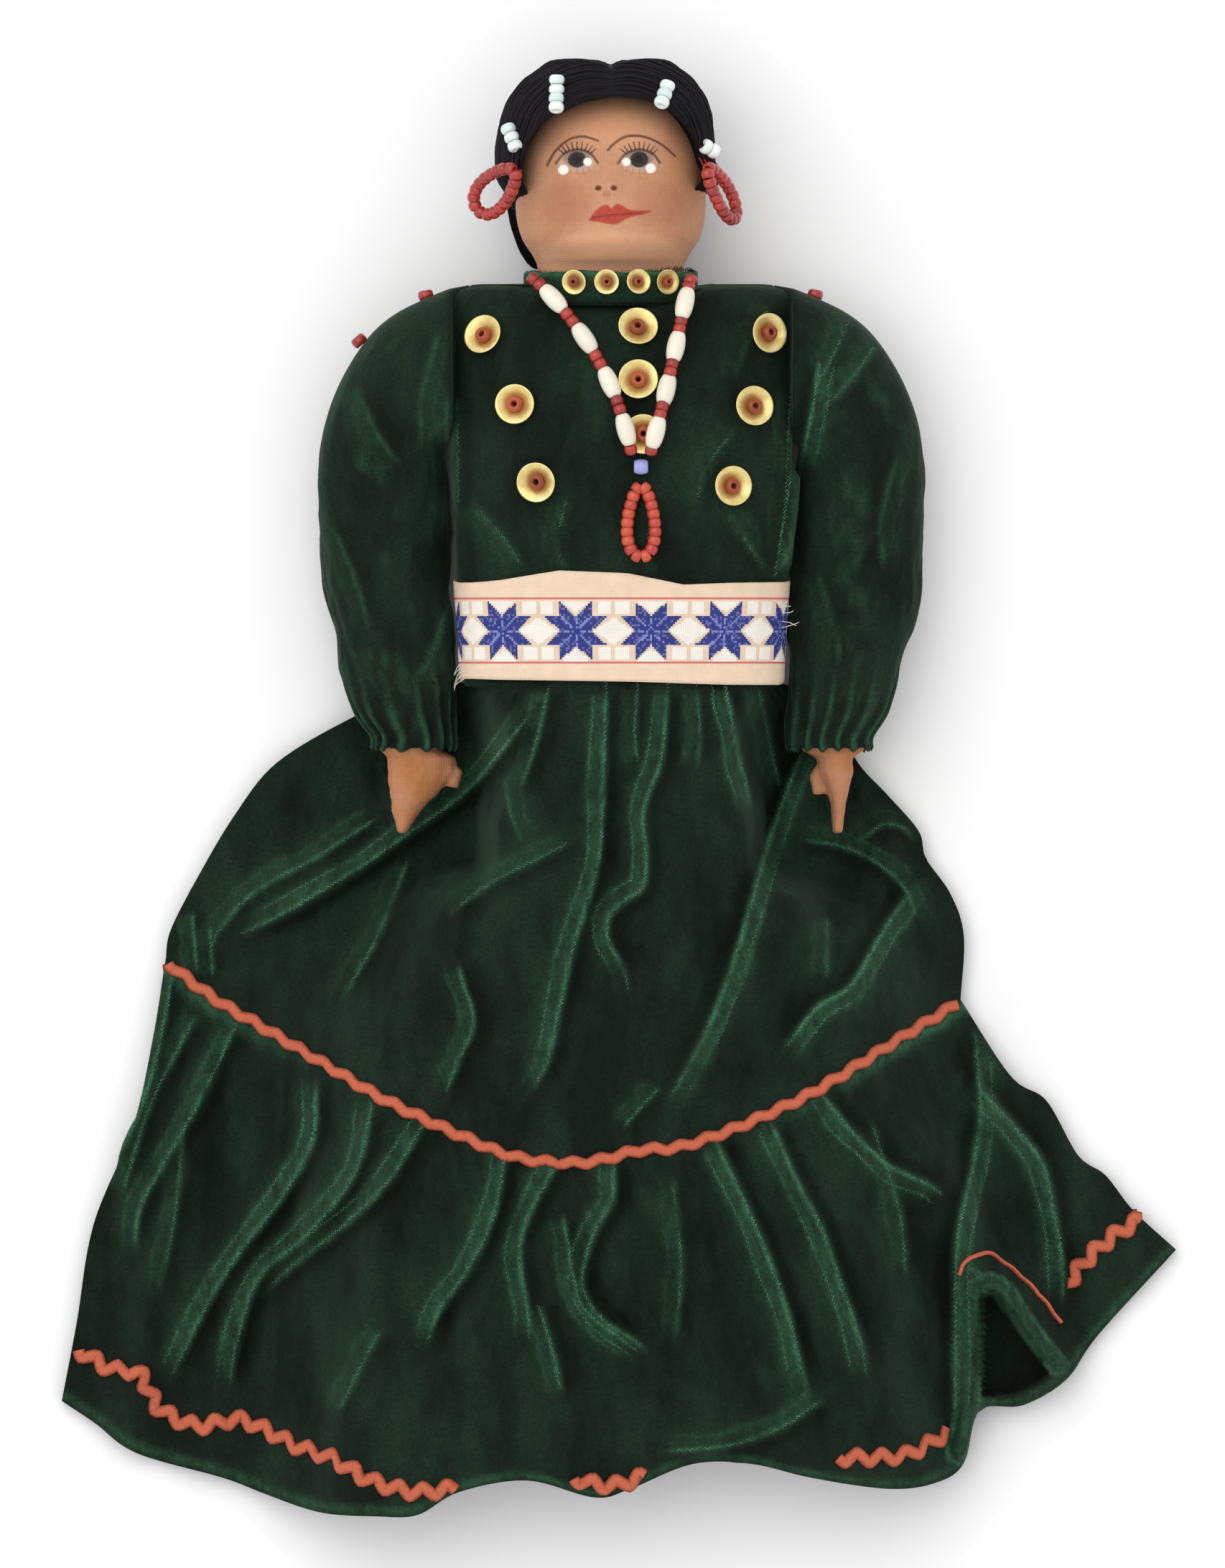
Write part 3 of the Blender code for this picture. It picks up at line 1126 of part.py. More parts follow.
def make_necklace():
    """Two strands of seed beads and long ovals that meet over a blue bead and a looped pendant."""
    names = ["blouse_body", "collar_band"]
    names += ["sequin_" + n for n in CHEST_SEQUIN_SHARES if n.startswith("centre")]
    names += ["collar_sequin_" + n for n in COLLAR_SEQUIN_X_SHARES]
    under = surface(*names)
    top_y = WAIST_Y + BLOUSE_LENGTH * NECKLACE_TOP_SHARE
    meet_y = WAIST_Y + BLOUSE_LENGTH * NECKLACE_MEET_SHARE
    centre = BODY_X + NECKLACE_CENTRE_X
    beads = {"s": (SEED_RADIUS, SEED_LENGTH), "o": (OVAL_RADIUS, OVAL_LENGTH)}
    for name, side in (("left", -1), ("right", 1)):
        line = []
        for i in range(NECKLACE_POINTS + 1):
            share = i / NECKLACE_POINTS
            start = BODY_X + HEAD_X + side * NECKLACE_HALF_WIDTH
            end = centre + side * NECKLACE_BOTTOM_HALF_WIDTH
            x = start + (end - start) * share ** NECKLACE_BEND
            y = top_y + (meet_y - top_y) * share
            line.append(Vector((x, y, resting(under, x, y, OVAL_RADIUS))))
        heights = [p.z for p in line]
        for i, p in enumerate(line):
            p.z = max(heights[max(i - 2, 0):i + 3])
        line = smooth([line[i] for i in range(0, NECKLACE_POINTS + 1, 2)])
        for p in line:
            p.z = max(p.z, resting(under, p.x, p.y, OVAL_RADIUS) + NECKLACE_LIFT)
        strand_top = line[0].z
        add("necklace_strand_" + name, bead_chain(line, [beads[k] for k in STRAND]), (RED, 0.3))
    y = meet_y - SEED_LENGTH / 2 - BLUE_BEAD_RADIUS
    z = resting(under, centre, y, BLUE_BEAD_RADIUS)
    form = bmesh.new()
    bmesh.ops.create_uvsphere(form, u_segments=10, v_segments=6, radius=BLUE_BEAD_RADIUS)
    blue = add("necklace_blue_bead", mesh_of(form), (BLUE, 0.3))
    blue.location = (centre, y, z)
    top = y - BLUE_BEAD_RADIUS - GAP - SEED_RADIUS
    loop = []
    for i in range(4 * PENDANT_BEADS):
        turn = 2 * math.pi * i / (4 * PENDANT_BEADS)
        down = (1 - math.cos(turn)) / 2
        widening = PENDANT_NECK_SHARE + (1 - PENDANT_NECK_SHARE) * down
        x = centre + PENDANT_HALF_WIDTH * math.sin(turn) * widening
        loop.append((x, top - down * PENDANT_LENGTH))
    height = max(resting(under, x, y, SEED_RADIUS) for x, y in loop[::4])
    strands = ["necklace_strand_left", "necklace_strand_right", "necklace_blue_bead"]
    hang("necklace_ends", (centre, top_y, strand_top), strands)
    line = [Vector((x, y, height)) for x, y in [*loop, loop[0]]]
    chain = bead_chain(line, [(SEED_RADIUS, SEED_LENGTH)] * PENDANT_BEADS, True)
    add("pendant_loop", chain, (RED, 0.3))
    hang("pendant_hanger", (centre, y, z), ["pendant_loop"], "necklace_ends")


def make_earrings():
    """A loop of seed beads at each ear, that falls outward and down from the hair."""
    hair = surface("hair_cap")
    ear_y = WAIST_Y + NECK_FOOT + HEAD_LENGTH * EAR_SHARE
    for name, side, swing, tilt in EARRINGS:
        ahead = Vector((side * math.sin(swing), -math.cos(swing), -EAR_FALL_SHARE)).normalized()
        flat = Vector((side * math.cos(swing), math.sin(swing), 0))
        across = (flat * math.cos(tilt) + ahead.cross(flat) * math.sin(tilt)).normalized()
        x = BODY_X + HEAD_X + side * EAR_X
        top = Vector((x, ear_y, resting(hair, x, ear_y, SEED_RADIUS) + EAR_LIFT))
        line = []
        for i in range(4 * EARRING_BEADS + 1):
            turn = 2 * math.pi * i / (4 * EARRING_BEADS)
            down = (1 - math.cos(turn)) / 2
            width = EARRING_HALF_WIDTH * math.sin(turn) * (1 - EARRING_TAPER_SHARE * (1 - down))
            line.append(top + ahead * down * EARRING_LENGTH + across * width)
        chain = bead_chain(line, [(SEED_RADIUS, SEED_LENGTH)] * EARRING_BEADS, True)
        add("earring_" + name, chain, (RED, 0.3))
        hang("ear_" + name, top, ["earring_" + name], "neck")


def make_hair_beads():
    """Short strings of pale beads over the roll of hair."""
    hair = surface("hair_cap")
    for name, (x0, y0, x1, y1) in HAIR_BEAD_SHARES.items():
        line = []
        for i in range(HAIR_BEAD_POINTS + 1):
            share = i / HAIR_BEAD_POINTS
            x = BODY_X + HEAD_X + HEAD_HALF_WIDTH * (x0 + (x1 - x0) * share)
            y = WAIST_Y + NECK_FOOT + HEAD_LENGTH * (y0 + (y1 - y0) * share)
            line.append(Vector((x, y, resting(hair, x, y, HAIR_BEAD_RADIUS))))
        middle = along(line, 0.5)
        count = math.ceil(length_of(line) / HAIR_BEAD_LENGTH)
        scale = count * HAIR_BEAD_LENGTH / length_of(line)
        line = [middle + (p - middle) * scale for p in line]
        lift = max(resting(hair, p.x, p.y, HAIR_BEAD_RADIUS) - p.z for p in line)
        line = [p + Vector((0, 0, max(lift, 0))) for p in line]
        chain = bead_chain(line, [(HAIR_BEAD_RADIUS, HAIR_BEAD_LENGTH)] * count)
        add("hair_beads_" + name, chain, (WHITE, 0.3))


def main():
    for old in list(bpy.data.objects):
        bpy.data.objects.remove(old)
    blouse = make_body()
    make_head()
    make_collar(blouse)
    make_hair()
    make_bun()
    make_arm("left", -1, LEFT_HAND_SHARES, LEFT_THUMB_SHARES)
    make_arm("right", 1, RIGHT_HAND_SHARES, RIGHT_THUMB_SHARES)
    make_legs()
    make_belt()
    make_skirt()
    make_rickrack()
    make_sequins()
    make_necklace()
    make_hair_beads()
    head_nodes = ["head", "hair_cap", "hair_bun", "bun_tie", *("hair_beads_" + n for n in HAIR_BEAD_SHARES)]
    hang("neck", (BODY_X + HEAD_X, WAIST_Y + BLOUSE_LENGTH, HEAD_Z), head_nodes)
    make_earrings()


main()
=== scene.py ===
"""A cloth doll in a velvet blouse and a tiered skirt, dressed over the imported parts.

The doll lies on its back, as in the photograph: its face looks up and its head points along +Y.
Tables are in millimetres in the row frame, and MM turns them to metres.
"""

import math

import bmesh
import bpy
import numpy as np
from bpy.props import FloatProperty, FloatVectorProperty, IntProperty, PointerProperty
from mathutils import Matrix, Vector, noise
from mathutils.bvhtree import BVHTree


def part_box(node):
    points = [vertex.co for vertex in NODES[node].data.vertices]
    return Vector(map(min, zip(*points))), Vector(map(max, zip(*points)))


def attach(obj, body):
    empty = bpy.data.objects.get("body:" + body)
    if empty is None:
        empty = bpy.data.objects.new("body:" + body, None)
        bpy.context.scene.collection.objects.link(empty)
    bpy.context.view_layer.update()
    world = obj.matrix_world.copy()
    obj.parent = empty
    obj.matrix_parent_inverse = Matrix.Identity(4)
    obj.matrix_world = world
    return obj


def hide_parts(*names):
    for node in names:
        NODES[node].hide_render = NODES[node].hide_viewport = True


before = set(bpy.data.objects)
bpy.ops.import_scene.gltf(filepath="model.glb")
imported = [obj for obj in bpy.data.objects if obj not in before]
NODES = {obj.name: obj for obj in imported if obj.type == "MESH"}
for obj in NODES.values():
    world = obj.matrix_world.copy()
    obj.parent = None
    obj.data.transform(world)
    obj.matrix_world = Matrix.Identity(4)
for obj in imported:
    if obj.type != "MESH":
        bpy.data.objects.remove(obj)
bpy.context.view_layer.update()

bl_info = {
    "name": "Velvet Cloth Doll",
    "version": (1, 0, 0),
    "blender": (4, 5, 0),
    "location": "View3D > Sidebar > Doll",
    "description": "Builds a cloth doll in velvet, with beads, braid and a woven belt",
    "category": "Object",
}

MM = 0.001

# Body and blouse, as in the part's source
BODY_X = 0.6
WAIST_Y = 23.5
BODY_Z = 20.0
BODY_HALF_WIDTH = 37.0
BODY_HALF_DEPTH = 20.0
BLOUSE_LENGTH = 84.0
FLAT_CUT = 0.5
BODY_SHARES = (
    (0.0, 0.925, 0.875, 2.5),
    (0.14, 0.94, 0.90, 2.5),
    (0.30, 0.965, 0.97, 2.5),
    (0.48, 0.985, 1.02, 2.6),
    (0.66, 0.997, 1.0, 2.8),
    (0.80, 1.0, 0.93, 3.0),
    (0.90, 1.0, 0.84, 3.0),
    (0.955, 0.99, 0.72, 3.0),
    (0.985, 0.96, 0.50, 3.0),
    (1.0, 0.88, 0.18, 3.0),
)
BLOUSE_CREASES = (
    (1.6, 1, ((37.0, 66.5), (36.2, 60.0), (35.0, 53.9), (33.7, 44.8))),
    (1.1, -1, ((37.2, 84.0), (36.6, 73.6), (36.2, 63.3), (35.2, 53.9), (34.4, 46.3))),
    (0.8, 1, ((24.9, 57.4), (29.2, 51.4), (32.7, 46.3))),
    (0.6, -1, ((23.1, 75.3), (18.9, 69.4), (16.4, 60.8))),
    (0.5, -1, ((-4.2, 92.5), (-1.7, 83.9), (-0.8, 75.3))),
    (0.8, -1, ((-35.2, 82.0), (-35.0, 71.1), (-35.0, 58.6))),
    (0.7, -1, ((-30.0, 60.0), (-24.0, 53.0), (-20.5, 46.5))),
    (0.5, -1, ((8.0, 62.0), (6.0, 54.0), (7.5, 46.0))),
    (0.6, -1, ((-12.0, 60.0), (-13.5, 53.0), (-11.0, 46.0))),
    (0.5, -1, ((31.0, 102.0), (27.0, 95.0), (25.0, 88.0))),
)

# Head and collar
HEAD_X = -1.8
HEAD_Z = 22.0
HEAD_HALF_WIDTH = 20.7
HEAD_HALF_DEPTH = 18.0
HEAD_LENGTH = 47.0
NECK_FOOT = 106.1
HEAD_SHARES = (
    (0.0, 0.75, 0.54, 0.54),
    (0.14, 0.765, 0.565, 0.56),
    (0.20, 0.81, 0.70, 0.58),
    (0.28, 0.925, 0.93, 0.60),
    (0.37, 0.985, 0.99, 0.60),
    (0.47, 1.0, 1.02, 0.62),
    (0.58, 0.985, 1.03, 0.66),
    (0.68, 0.96, 1.02, 0.78),
    (0.78, 0.885, 0.95, 0.82),
    (0.87, 0.76, 0.82, 0.76),
    (0.94, 0.56, 0.60, 0.58),
    (0.985, 0.28, 0.32, 0.30),
)
COLLAR_HALF_WIDTH = 18.9
COLLAR_HALF_DEPTH = 14.2
COLLAR_TOP = 112.4

# Painted face: a colour, a half width, a softness and the line it follows
BROWN_PAINT, DARK_PAINT, WHITE_PAINT, RED_PAINT = "#52301f", "#20272b", "#faf4ec", "#b3362c"
FACE_STROKES = (
    (BROWN_PAINT, 0.21, 0.2, ((-15.6, 135.4), (-13.8, 138.5), (-10.8, 141.0), (-7.7, 141.6),
                               (-4.5, 140.7))),
    (BROWN_PAINT, 0.22, 0.2, ((-2.4, 138.6), (-1.1, 140.0), (1.6, 141.6), (5.3, 141.6), (9.1, 140.0),
                               (12.2, 137.4))),
)
EYES = ((-9.1, 136.4), (4.4, 136.4))
EYE_WHITES = ((-12.1, 134.4, 1.12), (-6.8, 136.1, 0.92), (1.6, 136.1, 0.92), (6.9, 134.7, 1.12))
NOSTRILS = ((-4.5, 130.4), (-1.1, 130.4))
MOUTH = ((-6.4, 123.4), (-5.4, 124.9), (-3.8, 126.3), (-2.6, 126.6), (-1.6, 125.9), (-0.4, 126.8), (0.9, 126.3),
         (2.6, 125.5), (6.8, 125.3), (3.4, 124.5), (1.3, 123.7), (-0.6, 122.7), (-2.3, 122.8), (-4.4, 123.2))

# Relief of the face: place, half sizes and rise of the nose, the cheeks, the chin, the lips and the eyes
FACE_RELIEF = (
    (-2.6, 131.6, 2.6, 3.6, 0.9), (-10.5, 128.0, 6.0, 5.5, 0.35), (7.5, 128.0, 6.0, 5.5, 0.35),
    (-1.0, 117.5, 6.0, 3.5, 0.4), (-0.6, 124.6, 5.5, 1.6, 0.35), (-9.1, 136.4, 4.0, 2.6, -0.25),
    (4.4, 136.4, 4.0, 2.6, -0.25),
)

# Sleeves, as in the part's source
INNER_X = BODY_HALF_WIDTH + 0.4
ARMHOLE = 34.0
ARMPIT_Y = WAIST_Y + BLOUSE_LENGTH - ARMHOLE
ARMPIT_RADIUS = 1.5
SLEEVE_LENGTH = 65.0
SLEEVE_WIDTH = 28.2
SLEEVE_DEPTH = 28.0
SLEEVE_LIFT = 7.0
FAN_SHARES = (
    (0, 1.0, 1.0, 1.0),
    (14, 0.965, 0.985, 0.95),
    (30, 0.915, 0.95, 0.82),
    (48, 0.85, 0.90, 0.6),
    (68, 0.82, 0.86, 0.3),
    (88, 0.83, 0.83, 0.0),
)
TUBE_SHARES = (
    (0.14, 1.01, 1.0, 0.0),
    (0.32, 0.995, 0.97, 0.0),
    (0.48, 0.965, 0.90, 0.15),
    (0.62, 0.90, 0.80, 0.6),
    (0.76, 0.82, 0.69, 1.1),
    (0.88, 0.72, 0.58, 1.3),
    (0.955, 0.60, 0.50, 1.3),
    (1.0, 0.60, 0.50, 1.3),
)
CUFF_PLEATS = 15
SLEEVE_CREASES = {
    "left": (
        (0.8, -1, ((-37.4, 82.0), (-37.6, 66.0), (-38.4, 52.0))),
        (0.9, 1, ((-36.9, 40.0), (-40.5, 30.0), (-45.0, 22.0))),
        (0.7, -1, ((-56.0, 84.0), (-52.0, 76.0), (-47.0, 70.0))),
        (0.7, 1, ((-40.0, 96.0), (-43.0, 84.0), (-42.5, 72.0))),
        (0.6, -1, ((-61.0, 54.0), (-57.0, 44.0), (-54.0, 33.0))),
    ),
    "right": (
        (2.0, 1, ((43.2, 89.5), (42.0, 82.0), (40.6, 75.0), (39.4, 69.0))),
        (1.2, -1, ((54.1, 94.2), (50.0, 88.0), (44.7, 83.1))),
        (1.0, -1, ((48.9, 99.4), (46.0, 93.0), (43.0, 88.1))),
        (0.7, 1, ((60.0, 70.0), (57.0, 58.0), (58.0, 46.0))),
        (0.7, -1, ((44.0, 44.0), (47.0, 34.0), (48.0, 26.0))),
    ),
}

# Skirt, as in the part's source
WAIST_GAP = 1.2
CLOTH = 1.2
SKIRT_BACK_Z = 0.9
SKIRT_EDGE_Z = 3.6
TIER_HALF_WIDTH = 86.5
TIER_LENGTH = 103.9
TIER_CROWN = 30.0
RUFFLE_HALF_WIDTH = 121.4
RUFFLE_LENGTH = 76.0
RUFFLE_CROWN = 28.0
SEAM_GAP = -0.7
LEG_ROOM_HALF_WIDTH = 47.0
DRAPE_WIDTH = 40.0
HIP_ROOM_HALF_WIDTH = 29.0
HIP_DRAPE_WIDTH = 8.5
HIP_ROOM_SHARE = 0.34
LEG_ROOM_SHARE = 0.62
FRONT_WRAP = math.radians(4)
BACK_WRAP = math.radians(45)
WAIST_FALL_SHARE = 0.30
BACK_FALL_SHARE = 0.07
SEAM_CALM_SHARE = 0.22
SIDE_FALL = 4.6
EDGE_CALM_SHARE = 0.06
FOLD_HEIGHT = 5.0
FOLD_END_SHARE = 0.15
TIER_LEFT = (
    (-0.553, 0.026), (-0.683, 0.068), (-0.869, 0.161), (-0.976, 0.272), (-1.07, 0.404),
    (-1.137, 0.514), (-1.149, 0.58),
)
TIER_RIGHT = (
    (0.513, 0.048), (0.595, 0.161), (0.669, 0.228), (0.748, 0.304), (0.766, 0.361), (0.829, 0.437),
    (0.862, 0.525), (0.853, 0.664),
)
SEAM = (
    (-1.149, 0.58), (-1.023, 0.659), (-0.911, 0.714), (-0.721, 0.807), (-0.589, 0.871),
    (-0.381, 0.952), (-0.258, 0.99), (-0.098, 1.0), (0.045, 0.974), (0.139, 0.968), (0.257, 0.937),
    (0.376, 0.895), (0.495, 0.846), (0.676, 0.752), (0.853, 0.664),
)
RUFFLE_LEFT = ((-0.841, -0.36), (-0.877, -0.103), (-0.948, 0.177), (-0.978, 0.457), (-1.005, 0.683))
RUFFLE_RIGHT = (
    (0.699, -0.247), (0.762, -0.179), (0.819, -0.021), (0.868, 0.035), (0.918, 0.136), (0.995, 0.249),
)
HEM = (
    (-1.005, 0.683), (-0.945, 0.747), (-0.87, 0.833), (-0.716, 0.903), (-0.635, 0.952), (-0.541, 1.0),
    (-0.439, 1.01), (-0.366, 1.006), (-0.291, 0.94), (-0.17, 0.907), (-0.049, 0.956), (0.014, 0.932),
    (0.127, 0.86), (0.233, 0.86), (0.339, 0.899), (0.48, 0.932), (0.565, 0.915), (0.614, 0.86),
    (0.642, 0.71), (0.72, 0.695), (0.798, 0.621), (0.855, 0.494), (0.995, 0.249),
)
TIER_FOLDS = (
    (0.43, -0.05, 0.43, 1, 0.040, 0.85), (0.62, -0.05, 0.54, 0.55, 0.035, 0.75),
    (0.80, -0.05, 0.77, 0.45, 0.035, 0.7), (0.92, 0.12, 0.62, 1, 0.045, 0.9),
    (0.36, 0.06, 0.07, 0.92, 0.045, 1.35), (0.22, -0.05, 0.26, 0.5, 0.035, 0.55),
    (0.47, 0.35, 0.34, 0.52, 0.035, 0.6), (0.95, 0.48, 0.78, 0.95, 0.045, 0.8),
    (0.31, -0.05, 0.34, 0.32, 0.03, 0.5), (0.71, -0.05, 0.69, 0.3, 0.03, 0.5),
    (0.52, -0.05, 0.50, 0.25, 0.03, 0.45),
)
RUFFLE_FOLDS = (
    (0.07, 0, 0.06, 1, 0.022, 0.9), (0.15, 0, 0.13, 1, 0.022, 0.8), (0.22, 0, 0.19, 0.8, 0.02, 0.8),
    (0.29, 0, 0.24, 1, 0.022, 0.9), (0.38, 0, 0.36, 0.85, 0.02, 0.8), (0.45, 0, 0.44, 0.9, 0.02, 0.9),
    (0.52, 0, 0.53, 0.7, 0.02, 0.7), (0.58, 0, 0.64, 1, 0.022, 0.9), (0.67, 0, 0.72, 0.85, 0.02, 0.8),
    (0.75, 0.1, 0.80, 1, 0.022, 1.0), (0.88, 0.2, 0.855, 1, 0.03, 2.3), (0.95, 0.2, 0.95, 0.9, 0.025, 0.9),
)
# Dents under the hands, softer and 8 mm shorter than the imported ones: inner and outer reach, length, slant and
# where it starts, softness of the edge, rise, and how much softer the edge is across and along
HAND_DENT = (33.0, 58.0, 38.0, 0.38, 15.0, 4.0, 2.4)
DENT_SOFT_ACROSS, DENT_SOFTER_ABOVE, DENT_SOFT_ALONG = 1.7, 1.1, 2.6

# Creases: height, the side of the gentle flank, which gets the painted highlight, and the line of the crest
TIER_CREASES = (
    (2.0, -1, ((-2.8, 21.6), (-3.4, 4.4), (-4.1, -13.1), (-6.6, -23.8), (-9.8, -33.9), (-12.8, -47.2),
                (-15.6, -59.4), (-19.9, -66.7), (-23.4, -71.6))),
    (1.9, -1, ((10.5, 21.6), (9.2, 6.6), (6.7, -0.3), (5.2, -6.3), (5.8, -13.6), (5.2, -21.4),
                (0.6, -24.8), (-2.4, -28.4), (-2.2, -33.5), (1.1, -39.3), (2.2, -46.6))),
    (2.0, -1, ((23.1, 21.6), (24.7, 13.8), (26.1, 6.6), (27.8, -0.3), (28.9, -6.3))),
    (2.2, 1, ((40.5, 8.9), (36.9, 0.5), (34.1, -7.3), (30.2, -19.9), (27.2, -30.5), (23.8, -41.0),
                (19.1, -52.5), (13.8, -62.8), (8.8, -71.0))),
    (3.4, -1, ((-21.4, 13.4), (-31.7, 0.8), (-37.8, -4.2), (-45.6, -9.7), (-54.2, -15.9), (-63.0, -21.3),
                (-73.8, -27.7), (-85.0, -32.8))),
    (1.0, -1, ((-14.0, -13.4), (-22.0, -17.5), (-30.0, -21.9), (-38.0, -28.5))),
    (2.2, 1, ((61.9, -24.7), (56.7, -32.4), (50.3, -43.1), (43.5, -47.2), (38.3, -53.5), (34.4, -58.9))),
    (1.1, 1, ((42.6, -11.6), (48.0, -12.6), (55.0, -15.5), (62.0, -21.5), (65.5, -30.0))),
    (0.8, 1, ((53.5, -10.5), (58.0, -7.8), (62.5, -9.0), (64.5, -13.0))),
    (1.3, -1, ((-55.0, -8.0), (-66.0, -15.0), (-79.0, -22.4), (-86.5, -30.0), (-90.0, -38.0))),
    (0.7, 1, ((-24.4, 0.0), (-23.4, -6.0), (-20.4, -12.3))),
    (1.5, -1, ((-34.1, -41.6), (-31.6, -50.8), (-34.7, -58.9), (-38.3, -67.5))),
    (1.0, -1, ((6.7, -67.2), (3.6, -70.6), (0.2, -74.6))),
    (1.1, -1, ((-92.7, -30.0), (-91.9, -41.3))),
    (1.0, -1, ((-88.9, -33.1), (-88.5, -41.3))),
    (0.9, -1, ((45.2, -31.6), (45.2, -42.0))),
    (1.3, -1, ((-15.9, 19.2), (-18.3, 9.1), (-22.2, -1.9))),
    (1.2, -1, ((30.9, 19.2), (33.3, 7.5), (35.6, -1.9))),
    (1.0, -1, ((-47.2, -18.8), (-53.5, -34.0), (-61.3, -47.2))),
    (0.9, -1, ((4.0, 21.6), (3.4, 12.0), (4.4, 4.0))),
    (0.9, -1, ((16.8, 21.6), (17.6, 12.0), (16.8, 3.0))),
)
RUFFLE_CREASES = (
    (1.6, -1, ((-97.7, -42.5), (-100.2, -56.7), (-104.9, -71.7), (-111.9, -85.2))),
    (1.8, -1, ((-93.6, -52.2), (-101.1, -66.7), (-105.3, -78.5), (-108.6, -90.2))),
    (1.8, -1, ((-84.4, -53.8), (-91.9, -69.2), (-100.2, -83.5), (-104.4, -91.9), (-106.0, -104.0))),
    (2.6, -1, ((-66.0, -66.5), (-66.7, -76.7), (-73.5, -89.4), (-82.7, -101.1), (-89.4, -111.9),
                (-94.4, -121.9), (-99.4, -131.1))),
    (2.5, -1, ((-54.2, -71.0), (-55.8, -79.2), (-59.2, -86.9), (-68.5, -97.7), (-78.5, -106.9),
                (-83.5, -121.9), (-85.2, -133.6))),
    (2.0, -1, ((-43.8, -75.0), (-50.0, -85.2), (-60.0, -95.2), (-71.7, -104.4), (-80.0, -112.4))),
    (2.6, -1, ((-24.9, -80.7), (-27.4, -93.5), (-33.3, -105.2), (-39.1, -113.6), (-42.5, -122.9))),
    (2.2, -1, ((-14.1, -82.5), (-19.9, -93.5), (-21.6, -101.9), (-19.9, -113.6), (-19.5, -122.0))),
    (1.3, -1, ((-16.6, -115.3), (-14.1, -123.6), (-12.3, -132.9))),
    (1.7, -1, ((-11.6, -96.0), (-9.8, -106.9), (-7.3, -113.6), (0.2, -119.4), (5.3, -123.6))),
    (2.4, -1, ((-1.1, -82.7), (-1.6, -89.9), (-5.5, -96.7), (-8.0, -107.1), (-4.5, -114.7), (3.1, -119.9),
                (7.5, -124.1))),
    (1.0, -1, ((-53.3, -120.4), (-58.5, -130.4), (-61.7, -137.1))),
    (3.2, -1, ((22.0, -78.6), (27.2, -89.9), (32.4, -101.9), (36.6, -113.9), (39.2, -124.1), (41.7, -134.6))),
    (2.4, -1, ((34.1, -75.1), (38.3, -84.7), (44.4, -96.7), (48.6, -108.8), (52.0, -119.1), (54.5, -130.2))),
    (2.0, -1, ((45.2, -68.0), (50.3, -74.4), (58.9, -82.2), (67.5, -86.4), (71.7, -89.9))),
    (3.0, 1, ((77.8, -56.1), (78.6, -70.2), (76.9, -83.0), (74.4, -93.3), (73.4, -102.7), (73.2, -118.0),
                (73.2, -134.0), (73.6, -143.0))),
    (2.4, -1, ((79.4, -66.5), (88.0, -76.1), (92.4, -82.2), (94.9, -93.3), (96.6, -104.4), (96.6, -113.9))),
    (1.2, -1, ((56.0, -76.0), (61.0, -92.0), (62.5, -108.0))),
    (1.0, -1, ((-95.0, -75.0), (-97.0, -95.0), (-101.0, -112.0))),
    (1.0, -1, ((12.0, -88.0), (13.5, -104.0), (12.0, -122.0))),
    (1.4, -1, ((41.8, -134.6), (34.0, -139.5), (23.0, -143.0), (8.0, -144.3))),
)
# Rolled folds at the lower right: height of the top, half width and the line of the middle
RUFFLE_ROLLS = (
    (14.0, 3.3, ((76.0, -107.0), (76.3, -112.0), (76.2, -124.0), (75.8, -136.0), (74.2, -144.5))),
    (12.0, 2.6, ((78.0, -109.0), (81.2, -107.9), (84.8, -110.8), (88.4, -116.5), (92.0, -121.5), (95.6, -125.5))),
)
# Corners of the deep fold at the lower right: its cloth is held low and given a painted shade
FOLD_HOLLOW = ((78.5, -110.5), (81.5, -109.0), (85.0, -113.0), (91.5, -123.0), (93.5, -127.5), (88.0, -131.0),
               (79.0, -132.5))

# Braid, in the runs that the photograph shows along the hem
HEM_BRAIDS = (
    ((-117.7, -122.4), (-110.8, -126.4), (-104.3, -127.7), (-100.2, -135.0), (-92.1, -138.8), (-83.0, -137.5),
     (-76.4, -140.0), (-69.9, -143.3), (-62.5, -145.7), (-56.9, -149.0), (-51.1, -151.5), (-43.8, -153.0),
     (-35.6, -152.2)),
    ((-9.8, -150.2), (-1.9, -151.6), (5.6, -149.6)),
    ((47.7, -145.6), (60.6, -145.3), (66.9, -142.9), (71.7, -140.0)),
    ((97.8, -107.8), (101.8, -102.7), (107.7, -97.5), (114.6, -93.3)),
)
FOLD_BRAID = ((74.1, -105.7), (74.8, -103.6), (77.3, -101.8), (80.2, -101.1), (83.4, -102.9), (87.7, -106.4),
              (92.0, -110.8), (96.3, -116.5))

# Sequins and shoulder beads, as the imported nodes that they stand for
CHEST_SEQUINS = (
    "sequin_left_upper", "sequin_left_middle", "sequin_left_lower", "sequin_centre_upper",
    "sequin_centre_middle", "sequin_centre_lower", "sequin_right_upper", "sequin_right_middle",
    "sequin_right_lower",
)
COLLAR_SEQUINS = ("collar_sequin_outer_left", "collar_sequin_inner_left", "collar_sequin_inner_right",
                  "collar_sequin_outer_right")
SHOULDER_BEADS = ("shoulder_bead_left_inner", "shoulder_bead_left_outer", "shoulder_bead_right")

# The upper right sequin, moved in and tilted as in the photograph
SHIFTED_SEQUIN, SEQUIN_SHIFT, SEQUIN_TILT = "sequin_right_upper", 1.3, 0.4

